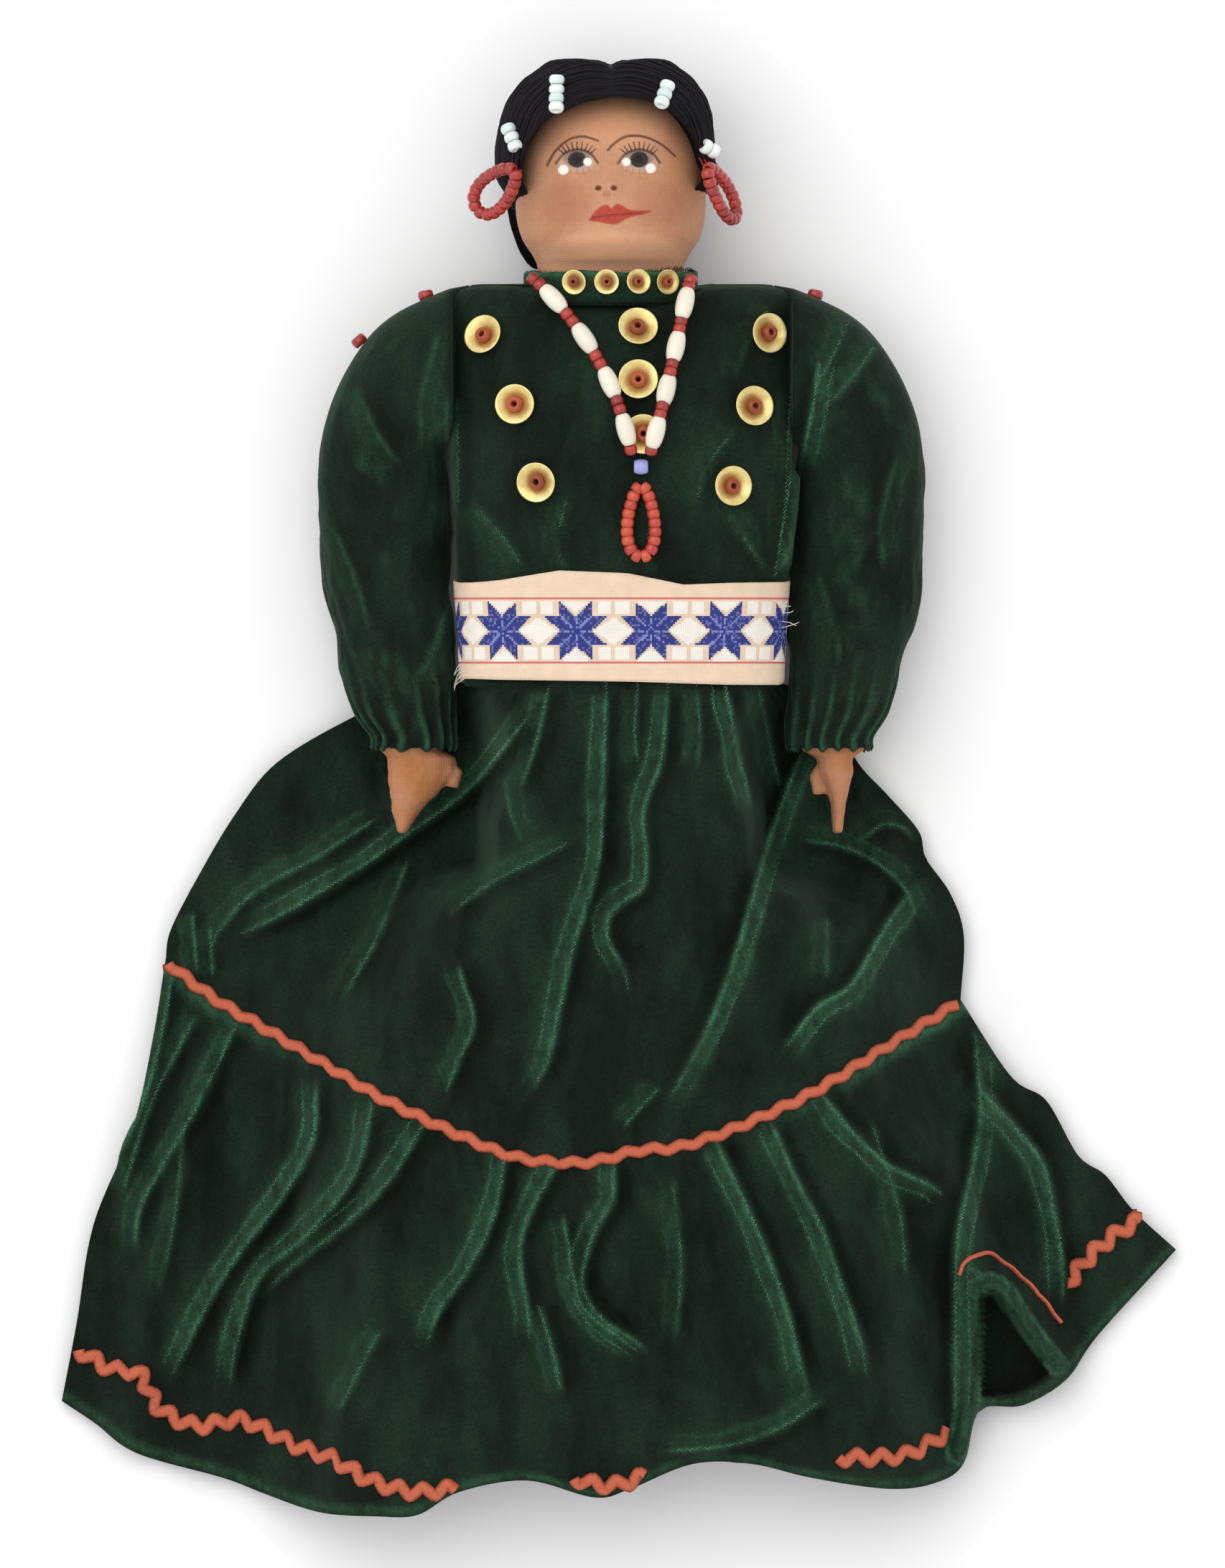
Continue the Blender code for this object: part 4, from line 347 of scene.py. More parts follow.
# Beads: the letters of a strand are seeds and ovals, and a hair bead string is two places on the head and a count
SEED_RADIUS, SEED_LENGTH = 1.45, 2.2
OVAL_RADIUS, OVAL_LENGTH = 2.0, 7.4
STRAND = "ssossossossos"
NECKLACE_TOP_Y, NECKLACE_MEET_Y = 111.28, 72.64
NECKLACE_CENTRE_X = 4.8
PENDANT_BEADS, EARRING_BEADS = 18, 18
HAIR_BEADS = {
    "outer_left": (-1.08, 0.80, -0.99, 0.70, 3), "inner_left": (-0.565, 1.015, -0.57, 0.89, 4),
    "inner_right": (0.60, 0.995, 0.53, 0.905, 3), "outer_right": (1.0, 0.71, 1.08, 0.69, 2),
}
HAIR_BEAD_RADIUS, HAIR_BEAD_LENGTH = 1.5, 2.1
# Earrings: the side, how far the loop splays and how far it is turned
EARRINGS = (
    ("left", -1, math.radians(44), math.radians(12)),
    ("right", 1, math.radians(32), math.radians(-58)),
)

# Hair cap, reshaped to the outline in the photograph: how far the crown falls at a distance from the middle,
# the pull at the right, the draw below the temples at each side and downwards, and the parting
CROWN_REACH, CROWN_FALL = (0, 3.6, 10.6, 14.8, 20, 26), (0, 0.5, 2.0, 3.8, 4.6, 4.6)
CROWN_Y, RIGHT_PULL, PULL_Y, TEMPLE_Y = 136, 3.2, 132, 134
DRAW_LEFT, DRAW_RIGHT, DRAW_DOWN = 0.12, 0.24, 8
PARTING_DEPTH, PARTING_WIDTH, PARTING_Y = 0.7, 1.5, 150
# The opening round the face: middle, reach to the left, right and up, and the dip of the hair at the left
OPENING_X, OPENING_Y, OPENING_LEFT, OPENING_RIGHT, OPENING_UP = -1.6, 128, 19.9, 20.6, 22.3
LOCK_DEPTH, LOCK_X, LOCK_WIDTH = 1.7, -9.5, 4.6

# Hidden forms, lowered so that they stay under the cloth
BELT_TRIM = 3.0
LEG_FLATNESS = 0.92

# Ribbon: height of the band's middle, half the band, and how its edges rise and fall at places across the waist
BAND_MIDDLE, BAND_HALF = 11.4, 6.55
BELT_EDGE_X = (-32.0, -26.0, -13.1, 2.0, 14.1, 24.0, 36.0)
BELT_UPPER_RISE = (-0.4, 0.1, 2.2, 1.6, -0.9, -0.5, -0.3)
BELT_LOWER_RISE = (0.3, 0.1, -0.1, -0.3, -0.7, -1.0, -1.0)
BELT_FOOT, BELT_HEIGHT, BELT_OUT, BELT_MIDDLE_X = 0.9, 21.6, 1.15, 6.9


def linear(hex_colour):
    """An sRGB hex value as the linear colour that a shader takes."""
    values = [int(hex_colour[i:i + 2], 16) / 255 for i in (1, 3, 5)]
    return tuple(v / 12.92 if v <= 0.04045 else ((v + 0.055) / 1.055) ** 2.4 for v in values)


def colour_property(name, description, hex_colour):
    return FloatVectorProperty(name=name, description=description, default=linear(hex_colour), subtype="COLOR",
                               size=3, min=0, max=1)


def length_property(name, description, millimetres):
    return FloatProperty(name=name, description=description, default=millimetres * MM, unit="LENGTH", min=0)


class VelvetSettings(bpy.types.PropertyGroup):
    """Sizes and colours of the blouse and the skirt."""

    ground: colour_property("Pile", "Colour of the pile seen from its ends", "#1a2a1f")
    shade: colour_property("Shade", "Colour where the pile leans away", "#101811")
    # Colour of the painted highlight: the paler green laid into the colour along crease ridges, fold tops and rolled
    # edges, where the sheen catches the light
    crest: colour_property("Crest", "Colour where a fold opens the pile", "#3c6b4d")
    sheen: colour_property("Sheen", "Colour of the light in the pile", "#9cc8a8")
    # Colours of the tufts along the creases, which draw the painted highlight lines of the velvet's sheen
    open_shade: colour_property("Open pile", "Colour of the tufts along a crease", "#254e37")
    open_lit: colour_property("Lit pile", "Colour of the palest tufts", "#5f9676")
    grain: length_property("Grain", "Size of the pile's grain, drawn coarse enough to show", 0.6)
    cloth: length_property("Cloth", "Thickness of the velvet", 1.2)
    crease: FloatProperty(name="Crease", description="How high the sharp creases stand", default=1.0, min=0, max=2)
    columns: IntProperty(name="Columns", description="Points across the ruffle", default=330, min=60, max=380)


class SkinSettings(bpy.types.PropertyGroup):
    """Colours of the brown cotton and the painted face."""

    cotton: colour_property("Cotton", "Colour of the cotton", "#cd9875")
    worn: colour_property("Worn", "Colour where the cotton is darker", "#bd8665")
    hand: colour_property("Hands", "Colour of the hands", "#b0713f")
    thread: length_property("Thread", "Spacing of the woven threads", 0.5)


class HairSettings(bpy.types.PropertyGroup):
    """The doll's floss hair and its wool tie."""

    floss: colour_property("Floss", "Colour of the floss", "#070508")
    lit: colour_property("Lit", "Colour of the paler strands", "#140f16")
    wool: colour_property("Wool", "Colour of the tie", "#e9e2d2")
    strand: length_property("Strand", "Radius of a strand", 0.24)
    strands: IntProperty(name="Strands", description="Strands on each side of the parting", default=105,
                         min=8, max=120)


class BeadSettings(bpy.types.PropertyGroup):
    """Colours of the glass beads and the sequins."""

    red: colour_property("Red", "Opaque red glass", "#b23229")
    coral: colour_property("Coral", "Paler red glass of the pendant", "#c9502f")
    ivory: colour_property("Ivory", "Ivory glass of the long ovals", "#f0e9d6")
    pale: colour_property("Pale", "Pale turquoise glass in the hair", "#cfe3df")
    blue: colour_property("Blue", "Blue glass where the strands meet", "#6a74c8")
    amber: colour_property("Amber", "Amber glass that holds a sequin", "#7a2f10")
    gold: colour_property("Gold", "Gilt film of the sequins", "#f1e3a4")
    # Colour of the painted reflection of the amber bead, with painted shade, in the middle of each cup
    bowl: colour_property("Bowl", "Gilt film near the amber bead, which it mirrors", "#cf8f3e")


class BeltSettings(bpy.types.PropertyGroup):
    """The woven ribbon."""

    cream: colour_property("Cream", "Colour of the ribbon's edges", "#f0d6bc")
    white: colour_property("White", "Colour of the motifs between the stars", "#f6efe6")
    blue: colour_property("Blue", "Colour of the stars", "#2f3882")
    red: colour_property("Red", "Colour of the lines", "#cf5560")
    pitch: length_property("Pitch", "Distance between two stars", 16.4)


class BraidSettings(bpy.types.PropertyGroup):
    """The rickrack braid."""

    # Coral is the braid's colour; pale is its painted highlight along the band's middle
    coral: colour_property("Coral", "Colour of the braid", "#87351f")
    pale: colour_property("Pale", "Colour of its lit threads", "#c26345")
    width: length_property("Width", "Width of the band", 2.7)
    swing: length_property("Swing", "How far a wave swings to each side", 1.15)
    pitch: length_property("Pitch", "Length of a wave", 5.4)
    thickness: length_property("Thickness", "Thickness of the band", 1.0)


class LeatherSettings(bpy.types.PropertyGroup):
    """The moccasins."""

    suede: colour_property("Suede", "Colour of the suede", "#a3562f")
    sole: colour_property("Sole", "Colour of the worn sole", "#7b4428")


class StageSettings(bpy.types.PropertyGroup):
    """Floor, light and camera."""

    floor: colour_property("Floor", "Colour of the floor", "#fdfdfd")
    lamp: FloatProperty(name="Lamp", description="Power of the large soft lamp", default=10.5, min=0, unit="POWER")
    sky: FloatProperty(name="Sky", description="Strength of the even light", default=0.90, min=0, max=2)
    height: length_property("Height", "Height of the camera over the floor", 12000.0)
    view: length_property("View", "Height of what the camera sees", 341.35)


SETTINGS = {
    "doll_velvet": VelvetSettings, "doll_skin": SkinSettings, "doll_hair": HairSettings, "doll_beads": BeadSettings,
    "doll_belt": BeltSettings, "doll_braid": BraidSettings, "doll_leather": LeatherSettings,
    "doll_stage": StageSettings,
}


def put(tree, kind, inputs=None, **settings):
    """Adds a node with its settings. An input is a value or another node's socket, by name or number."""
    made = tree.nodes.new(kind)
    for name, value in settings.items():
        setattr(made, name, value)
    for key, value in (inputs or {}).items():
        if isinstance(value, bpy.types.NodeSocket):
            tree.links.new(value, made.inputs[key])
        else:
            made.inputs[key].default_value = value
    return made


def rgba(colour):
    return (*colour, 1.0)


def new_material(name):
    """A material with an empty tree, and its tree."""
    material = bpy.data.materials.new(name)
    material.use_nodes = True
    material.node_tree.nodes.clear()
    return material, material.node_tree


def end_material(material, inputs):
    """Adds the principled shader, each input a value on its own socket or a link, and the output."""
    shader = put(material.node_tree, "ShaderNodeBsdfPrincipled", inputs)
    put(material.node_tree, "ShaderNodeOutputMaterial", {"Surface": shader.outputs[0]})
    return material


def object_place(tree):
    return put(tree, "ShaderNodeTexCoord").outputs["Object"]


def marked(tree, name):
    """The number that points carry under a name."""
    return put(tree, "ShaderNodeAttribute", attribute_name=name).outputs["Fac"]


def noise_of(tree, where, size, detail, roughness=0.5):
    """Noise with spots of a size in metres."""
    return put(tree, "ShaderNodeTexNoise", {"Vector": where, "Scale": 1 / size, "Detail": detail,
                                            "Roughness": roughness}).outputs["Fac"]


def ranged(tree, value, low, high, to_low=0.0, to_high=1.0):
    """A value from one range brought to another, and held inside it."""
    return put(tree, "ShaderNodeMapRange", {"Value": value, "From Min": low, "From Max": high, "To Min": to_low,
                                            "To Max": to_high}).outputs[0]


def mixed(tree, share, first, second):
    """Two colours mixed by a share of the second."""
    return put(tree, "ShaderNodeMix", {"Factor": share, 6: first, 7: second}, data_type="RGBA").outputs[2]


def maths(tree, operation, *values, **settings):
    return put(tree, "ShaderNodeMath", dict(enumerate(values)), operation=operation, **settings).outputs[0]


def vector_maths(tree, operation, *values):
    return put(tree, "ShaderNodeVectorMath", dict(enumerate(values)), operation=operation).outputs[0]


def scaled(tree, vector, scale):
    return put(tree, "ShaderNodeVectorMath", {0: vector, "Scale": scale}, operation="SCALE").outputs[0]


def bumped(tree, height, strength, distance=0.0002):
    return put(tree, "ShaderNodeBump", {"Strength": strength, "Distance": distance,
                                        "Height": height}).outputs[0]


def velvet_material(settings):
    """Cut pile on a woven ground: dark from above, light where a slope shows the pile's sides, and crushed in
    patches where it leans. A painted highlight along the creases and the tops of folds, and a painted shade in the
    dips beside them, are mixed into the colour. The grain is drawn at 0.6 mm, because the real pile is too fine to
    show."""
    material, tree = new_material("cotton_velvet_cut_pile")
    where = object_place(tree)
    long = put(tree, "ShaderNodeMapping", {"Vector": where, "Scale": (1.0, 0.45, 1.0)}).outputs[0]
    nap = noise_of(tree, long, 0.013, 3.0, 0.6)
    brushed = noise_of(tree, long, 0.0024, 3.0, 0.65)
    grain = noise_of(tree, where, settings.grain, 1.0)
    body = mixed(tree, ranged(tree, nap, 0.38, 0.64), rgba(settings.shade), rgba(settings.ground))
    broken = ranged(tree, brushed, 0.34, 0.7, 0.35, 1.15)
    # painted highlight: paler green along the crease ridges, broken up by the brushed noise
    painted_highlight_share = maths(tree, "MULTIPLY", marked(tree, "crest"), broken, use_clamp=True)
    speck = ranged(tree, grain, 0.3, 0.7, 0.78, 1.22)
    # painted shade: the colour darkened in the dips beside the creases and over the deep fold
    shaded = maths(tree, "MULTIPLY_ADD", marked(tree, "hollow"), -0.55, 1.0)
    rough = maths(tree, "MULTIPLY_ADD", brushed, 0.6, grain)
    return end_material(material, {
        "Base Color": scaled(tree, mixed(tree, painted_highlight_share, body, rgba(settings.crest)),
                             maths(tree, "MULTIPLY", shaded, speck)),
        "Normal": bumped(tree, rough, 0.55, 0.00035), "Roughness": 0.9, "Specular IOR Level": 0.12,
        "Sheen Weight": 0.16, "Sheen Roughness": 0.34, "Sheen Tint": rgba(settings.sheen)})


def cotton_material(name, pale, dark, thread, painted=False):
    """Brown cotton in a plain weave: two sets of threads that cross, with soft stains. Drawn at 0.5 mm."""
    material, tree = new_material(name)
    where = object_place(tree)
    stain = noise_of(tree, where, 0.016, 3.0, 0.55)
    slub = noise_of(tree, where, 0.0011, 2.0)
    period = 2 * math.pi / 20
    across, down = (put(tree, "ShaderNodeTexWave", {
        "Vector": where, "Scale": period / thread, "Distortion": 0.7, "Detail Scale": 2.0},
        bands_direction=way).outputs["Fac"] for way in "XY")
    weave = maths(tree, "MAXIMUM", across, down)
    ground = mixed(tree, ranged(tree, stain, 0.35, 0.65), rgba(dark), rgba(pale))
    threads = ranged(tree, maths(tree, "MULTIPLY", weave, slub), 0.1, 0.6, 0.88, 1.07)
    colour = scaled(tree, ground, threads)
    if painted:
        paint = put(tree, "ShaderNodeAttribute", attribute_name="paint").outputs
        worn = maths(tree, "MULTIPLY", paint["Alpha"], threads, use_clamp=True)
        colour = mixed(tree, worn, colour, paint["Color"])
    return end_material(material, {
        "Base Color": colour, "Normal": bumped(tree, weave, 0.35), "Roughness": 0.82, "Specular IOR Level": 0.3,
        "Sheen Weight": 0.05})


def fibre_material(name, base, lit, size, roughness, gleam=0.35):
    """Spun fibre, as floss, wool and braid are: the strands differ in tone, and on the braid the tone also carries a
    painted highlight along the band's middle.
    """
    material, tree = new_material(name)
    fuzz = noise_of(tree, object_place(tree), size, 3.0, 0.6)
    share = ranged(tree, maths(tree, "MULTIPLY_ADD", marked(tree, "tone"), 0.6, fuzz), 0.45, 1.05)
    return end_material(material, {
        "Base Color": mixed(tree, share, rgba(base), rgba(lit)), "Normal": bumped(tree, fuzz, 0.5),
        "Roughness": roughness, "Specular IOR Level": gleam})


def glass_material(name, base, other, roughness=0.2):
    """Opaque glass, drawn and tumbled: a bead differs a little from the next, and all have a wet gloss."""
    material, tree = new_material(name)
    streak = noise_of(tree, object_place(tree), 0.0009, 2.0)
    share = ranged(tree, maths(tree, "MULTIPLY_ADD", streak, 0.5, marked(tree, "tone")), 0.2, 1.3)
    return end_material(material, {
        "Base Color": mixed(tree, share, rgba(base), rgba(other)), "Roughness": roughness, "IOR": 1.5,
        "Coat Weight": 0.3, "Coat Roughness": 0.08})


def sequin_material(settings):
    """Gilt film pressed to a cup: pale gold with fine scratches, and warmer round the amber bead, where the bead's
    reflection and the cup's shade are painted in.
    """
    material, tree = new_material("gilt_film_pressed")
    wear = noise_of(tree, object_place(tree), 0.0016, 4.0)
    darker = tuple(v * k for v, k in zip(settings.gold, (0.86, 0.76, 0.5)))
    gilt = mixed(tree, ranged(tree, wear, 0.35, 0.7), rgba(darker), rgba(settings.gold))
    # painted reflection and shade: the middle of the cup drawn in the warmer orange
    deep = ranged(tree, marked(tree, "bowl"), 0.22, 0.62, 0.0, 0.85)
    return end_material(material, {
        "Base Color": mixed(tree, deep, gilt, rgba(settings.bowl)),
        "Roughness": ranged(tree, wear, 0.0, 1.0, 0.18, 0.42), "Metallic": 0.5})


def suede_material(settings):
    """Brushed suede: a short nap in two tones that darkens where it is worn."""
    material, tree = new_material("brushed_suede")
    where = object_place(tree)
    share = ranged(tree, noise_of(tree, where, 0.004, 5.0, 0.7), 0.35, 0.65)
    return end_material(material, {
        "Base Color": mixed(tree, share, rgba(settings.sole), rgba(settings.suede)),
        "Normal": bumped(tree, noise_of(tree, where, 0.0005, 2.0), 0.5), "Roughness": 0.92, "Sheen Weight": 0.12})


def ribbon_material(settings):
    """A woven ribbon with eight-pointed stars. In its UV map 100 U is the way along the ribbon and 100 V the
    height on it, in millimetres. A star's petal fills the part of an eighth where the short way is under one unit
    and the long way is under the short way plus one unit. The threads are drawn at 0.45 mm, as steps in the
    pattern and as ribs."""
    material, tree = new_material("woven_jacquard_ribbon")
    weave = put(tree, "ShaderNodeUVMap", uv_map="weave").outputs[0]
    place = put(tree, "ShaderNodeSeparateXYZ", {0: weave}).outputs
    thread, unit, pitch = 0.45, 3.45, settings.pitch / MM

    def calc(operation, *values):
        return maths(tree, operation, *values)

    def times(a, b):
        return calc("MULTIPLY", a, b)

    def under(a, b):
        return calc("LESS_THAN", a, b)

    def over(a, b):
        return calc("GREATER_THAN", a, b)

    def away(a, b):
        return calc("ABSOLUTE", calc("SUBTRACT", a, b))

    along_mm, up_mm = (calc("SNAP", times(place[k], 100.0), thread) for k in (0, 1))
    from_star = calc("ABSOLUTE", calc("WRAP", along_mm, pitch / 2, -pitch / 2))
    from_gap = calc("SUBTRACT", pitch / 2, from_star)
    up = away(up_mm, BAND_MIDDLE)
    high, low = (calc(way, from_star, times(up, 1.08)) for way in ("MAXIMUM", "MINIMUM"))
    in_petal = times(under(low, unit), under(high, calc("ADD", low, unit)))
    vein = times(under(calc("SUBTRACT", high, low), 0.34), over(high, 0.9))
    axis = times(under(low, 0.24), over(high, 0.6))
    broken = over(calc("PINGPONG", calc("ADD", along_mm, up_mm), 0.9), 0.44)
    light_vein = times(calc("MAXIMUM", vein, axis), broken)
    cell = put(tree, "ShaderNodeCombineXYZ", {0: along_mm, 1: up_mm}).outputs[0]
    fleck = put(tree, "ShaderNodeTexWhiteNoise", {"Vector": cell}, noise_dimensions="2D").outputs["Value"]
    diamond = under(calc("ADD", times(from_gap, 0.72), up), 3.0)
    square = times(under(away(from_gap, 1.9), 1.5), under(away(up, 5.0), 1.35))
    point = under(calc("ADD", away(up, 6.3), times(from_star, 0.8)), 2.4)
    in_band = under(up, BAND_HALF)
    white = times(calc("MAXIMUM", diamond, calc("MAXIMUM", square, point)), in_band)
    line = under(away(up, 6.95), 0.28)
    ribs = calc("MAXIMUM", *(calc("SINE", times(place[k], 2 * math.pi * 100 / thread)) for k in (1, 0)))
    colour = rgba(settings.cream)
    for share, paint in ((in_band, tuple(v * 0.93 for v in settings.cream)), (white, settings.white),
                         (times(in_petal, in_band), settings.blue),
                         (times(times(light_vein, in_petal), 0.75), linear("#8f9ad8")),
                         (times(times(over(fleck, 0.8), in_petal), 0.4), linear("#8f95c6")),
                         (times(line, 0.85), settings.red)):
        colour = mixed(tree, share, colour, rgba(paint))
    soil = ranged(tree, noise_of(tree, object_place(tree), 0.003, 3.0), 0.3, 0.7, 0.93, 1.03)
    shade = times(soil, ranged(tree, ribs, 0.0, 1.0, 0.9, 1.0))
    return end_material(material, {
        "Base Color": scaled(tree, colour, shade), "Normal": bumped(tree, ribs, 0.3), "Roughness": 0.7,
        "Specular IOR Level": 0.3})


def floor_material(settings):
    """Matt white paper, which keeps the doll's shadow."""
    material, tree = new_material("matt_paper_floor")
    tone = ranged(tree, noise_of(tree, object_place(tree), 0.02, 2.0), 0.0, 1.0, 0.99, 1.0)
    return end_material(material, {"Base Color": scaled(tree, settings.floor, tone), "Roughness": 0.95,
                                   "Specular IOR Level": 0.0})


def ease(value):
    """From 0 to 1 with a soft start and end."""
    value = np.clip(value, 0, 1)
    return value * value * (3 - 2 * value)


def curve(points, per_span=8):
    """A Catmull-Rom curve through the points."""
    p = np.asarray(points, float)
    ends = np.vstack([2 * p[:1] - p[1:2], p, 2 * p[-1:] - p[-2:-1]])
    t = np.linspace(0, 1, per_span, endpoint=False)[:, None]
    spans = [0.5 * (2 * b + (c - a) * t + (2 * a - 5 * b + 4 * c - d) * t ** 2 + (3 * b - a - 3 * c + d) * t ** 3)
             for a, b, c, d in zip(ends, ends[1:], ends[2:], ends[3:])]
    return np.vstack([*spans, p[-1:]])


def along(points, shares):
    """Points at shares of a line's length."""
    reach = np.concatenate([[0], np.cumsum(np.linalg.norm(np.diff(points, axis=0), axis=1))])
    wanted = np.clip(shares, 0, 1) * reach[-1]
    return np.stack([np.interp(wanted, reach, points[:, k]) for k in range(points.shape[1])], axis=-1)


def length_of(points):
    return float(np.linalg.norm(np.diff(points, axis=0), axis=1).sum())


def near_line(places, line):
    """How far places are to the left of a line, below zero on its right, and at what share of its length."""
    line = np.asarray(line, float)
    best, side, share, start = np.full(len(places), 1e9), np.ones(len(places)), np.zeros(len(places)), 0.0
    total = length_of(line)
    for a, b in zip(line, line[1:]):
        ab = b - a
        ap = places - a
        t = np.clip(ap @ ab / (ab @ ab), 0, 1)
        off = np.linalg.norm(ap - t[:, None] * ab, axis=1)
        span = math.sqrt(ab @ ab)
        closer = off < best
        best[closer] = off[closer]
        side[closer] = np.sign(ab[0] * ap[:, 1] - ab[1] * ap[:, 0])[closer]
        share[closer] = (start + t[closer] * span) / total
        start += span
    return best * side, share


def inside(places, corners):
    """Which places are inside a polygon."""
    found = np.zeros(len(places), bool)
    for (ax, ay), (bx, by) in zip(corners, [*corners[1:], corners[0]]):
        crosses = (ay > places[:, 1]) != (by > places[:, 1])
        x = ax + (places[:, 1] - ay) * (bx - ax) / (by - ay if by != ay else 1e-9)
        found ^= crosses & (places[:, 0] < x)
    return found


def oval(turns, squareness=2.0):
    """Points round a rounded square of half size 1, at these turns."""
    c, s, power = np.cos(turns), np.sin(turns), 2 / squareness
    return np.sign(c) * np.abs(c) ** power, np.sign(s) * np.abs(s) ** power


def full_turn(sides):
    """Angles once round, without the last, which is the first again."""
    return np.linspace(0, 2 * math.pi, sides, endpoint=False)


def hoop(x, y, z):
    """Points that share one y."""
    return np.stack([x, np.full(len(x), y), z], axis=1)


def box_of(node):
    """The low corner, the high corner and the middle of a CAD node, in millimetres."""
    low, high = (np.array(c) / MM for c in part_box(node))
    return low, high, (low + high) / 2


def grid_faces(rows, columns, closed=False):
    """Faces between rows of points, each row after the one before it."""
    j, i = np.meshgrid(np.arange(rows - 1), np.arange(columns if closed else columns - 1), indexing="ij")
    k = (i + 1) % columns
    return np.stack([j * columns + i, (j + 1) * columns + i, (j + 1) * columns + k, j * columns + k],
                    axis=-1).reshape(-1, 4)


def new_object(name, mesh):
    """A new object in the doll's collection, at the origin."""
    group = bpy.data.collections.get("dressed_doll")
    if group is None:
        group = bpy.data.collections.new("dressed_doll")
        bpy.context.scene.collection.children.link(group)
    made = bpy.data.objects.new(name, mesh)
    group.objects.link(made)
    return made


def mesh_piece(name, points, faces, material=None):
    """A smooth piece from points in millimetres and faces."""
    mesh = bpy.data.meshes.new(name)
    mesh.from_pydata((np.asarray(points) * MM).tolist(), [], [tuple(f) for f in faces])
    mesh.update()
    mesh.shade_smooth()
    if material is not None:
        mesh.materials.append(material)
    return new_object(name, mesh)


def flat_square(name, half, height, material=None):
    return mesh_piece(name, [(-half, -half, height), (half, -half, height), (half, half, height),
                             (-half, half, height)], [(0, 1, 2, 3)], material)


def mark(piece, name, values):
    """A number on each point, which the material reads."""
    layer = piece.data.attributes.new(name, "FLOAT", "POINT")
    layer.data.foreach_set("value", np.asarray(values, np.float32))


def ended(points, faces, rows, columns):
    """Closes both ends of a tube of points with fans."""
    points = np.vstack([points, points[:columns].mean(0), points[(rows - 1) * columns:rows * columns].mean(0)])
    i = np.arange(columns)
    k = (i + 1) % columns
    first = np.stack([np.full(columns, rows * columns), i, k], axis=1)
    base = (rows - 1) * columns
    last = np.stack([np.full(columns, rows * columns + 1), base + k, base + i], axis=1)
    return points, [*faces.tolist(), *first.tolist(), *last.tolist()]


def outwards(piece, merge=True):
    """Turns the faces outwards, after doubles are merged."""
    form = bmesh.new()
    form.from_mesh(piece.data)
    if merge:
        bmesh.ops.remove_doubles(form, verts=form.verts, dist=1e-6)
    bmesh.ops.recalc_face_normals(form, faces=form.faces)
    form.to_mesh(piece.data)
    form.free()
    piece.data.shade_smooth()
    return piece


def tree_of(*pieces):
    """What a ray meets on CAD nodes, by name, or on pieces as they are now."""
    graph = bpy.context.evaluated_depsgraph_get()
    points, faces = [], []
    for piece in pieces:
        piece = NODES[piece] if isinstance(piece, str) else piece
        shown = piece.evaluated_get(graph)
        mesh = shown.to_mesh()
        start = len(points)
        points += [v.co.copy() for v in mesh.vertices]
        faces += [tuple(start + i for i in face.vertices) for face in mesh.polygons]
        shown.to_mesh_clear()
    return BVHTree.FromPolygons(points, faces)


def from_above(tree, x, y):
    """What a ray straight down meets over a place in millimetres."""
    return tree.ray_cast(Vector((x * MM, y * MM, 0.2)), Vector((0, 0, -1)))


def made_plain(piece):
    """Turns what a piece's modifiers make into its own mesh."""
    graph = bpy.context.evaluated_depsgraph_get()
    mesh = bpy.data.meshes.new_from_object(piece.evaluated_get(graph), preserve_all_data_layers=True,
                                             depsgraph=graph)
    old = piece.data
    piece.modifiers.clear()
    piece.data = mesh
    mesh.name = piece.name
    bpy.data.meshes.remove(old)
    return piece


def softened(name, node, voxel, rounds, material, cutter=None):
    """A CAD solid's form with its facets gone: cut if asked, remeshed and relaxed, with its volume kept."""
    piece = new_object(name, NODES[node].data.copy())
    outwards(piece)
    piece.data.materials.clear()
    if cutter is not None:
        cut = piece.modifiers.new("cut", "BOOLEAN")
        cut.object = cutter
        cut.solver = "EXACT"
        made_plain(piece)
        bpy.data.objects.remove(cutter)
        piece.data.materials.clear()
    piece.data.materials.append(material)
    remesh = piece.modifiers.new("remesh", "REMESH")
    remesh.mode = "VOXEL"
    remesh.voxel_size = voxel * MM
    relax = piece.modifiers.new("relax", "LAPLACIANSMOOTH")
    relax.iterations = rounds
    relax.lambda_factor = 1.2
    relax.use_volume_preserve = True
    made_plain(piece)
    piece.data.shade_smooth()
    return piece


def wrinkle(piece, depth, size, stretch=(1.0, 1.0, 1.0), seed=0.0):
    """Pushes points along their normals by smooth noise."""
    mesh = piece.data
    normals = [v.normal.copy() for v in mesh.vertices]
    for v, normal in zip(mesh.vertices, normals):
        at = Vector([c * s / (size * MM) + seed for c, s in zip(v.co, stretch)])
        v.co += normal * depth * MM * noise.fractal(at, 0.6, 2.0, 3)
    mesh.update()
    return piece


def dressed(piece, body, slot, *nodes, fill=None):
    """Finishes a piece: what it moves with and which nodes it stands for. Its slot, for its finish, and its fill,
    for how full its padding is, are not used."""
    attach(piece, body)
    if nodes:
        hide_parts(*nodes)
    return piece


def thickened(piece, thickness):
    """Cloth with its thickness, in metres, below the points."""
    wall = piece.modifiers.new("cloth", "SOLIDIFY")
    wall.thickness = thickness
    wall.offset = -1
    return made_plain(piece)


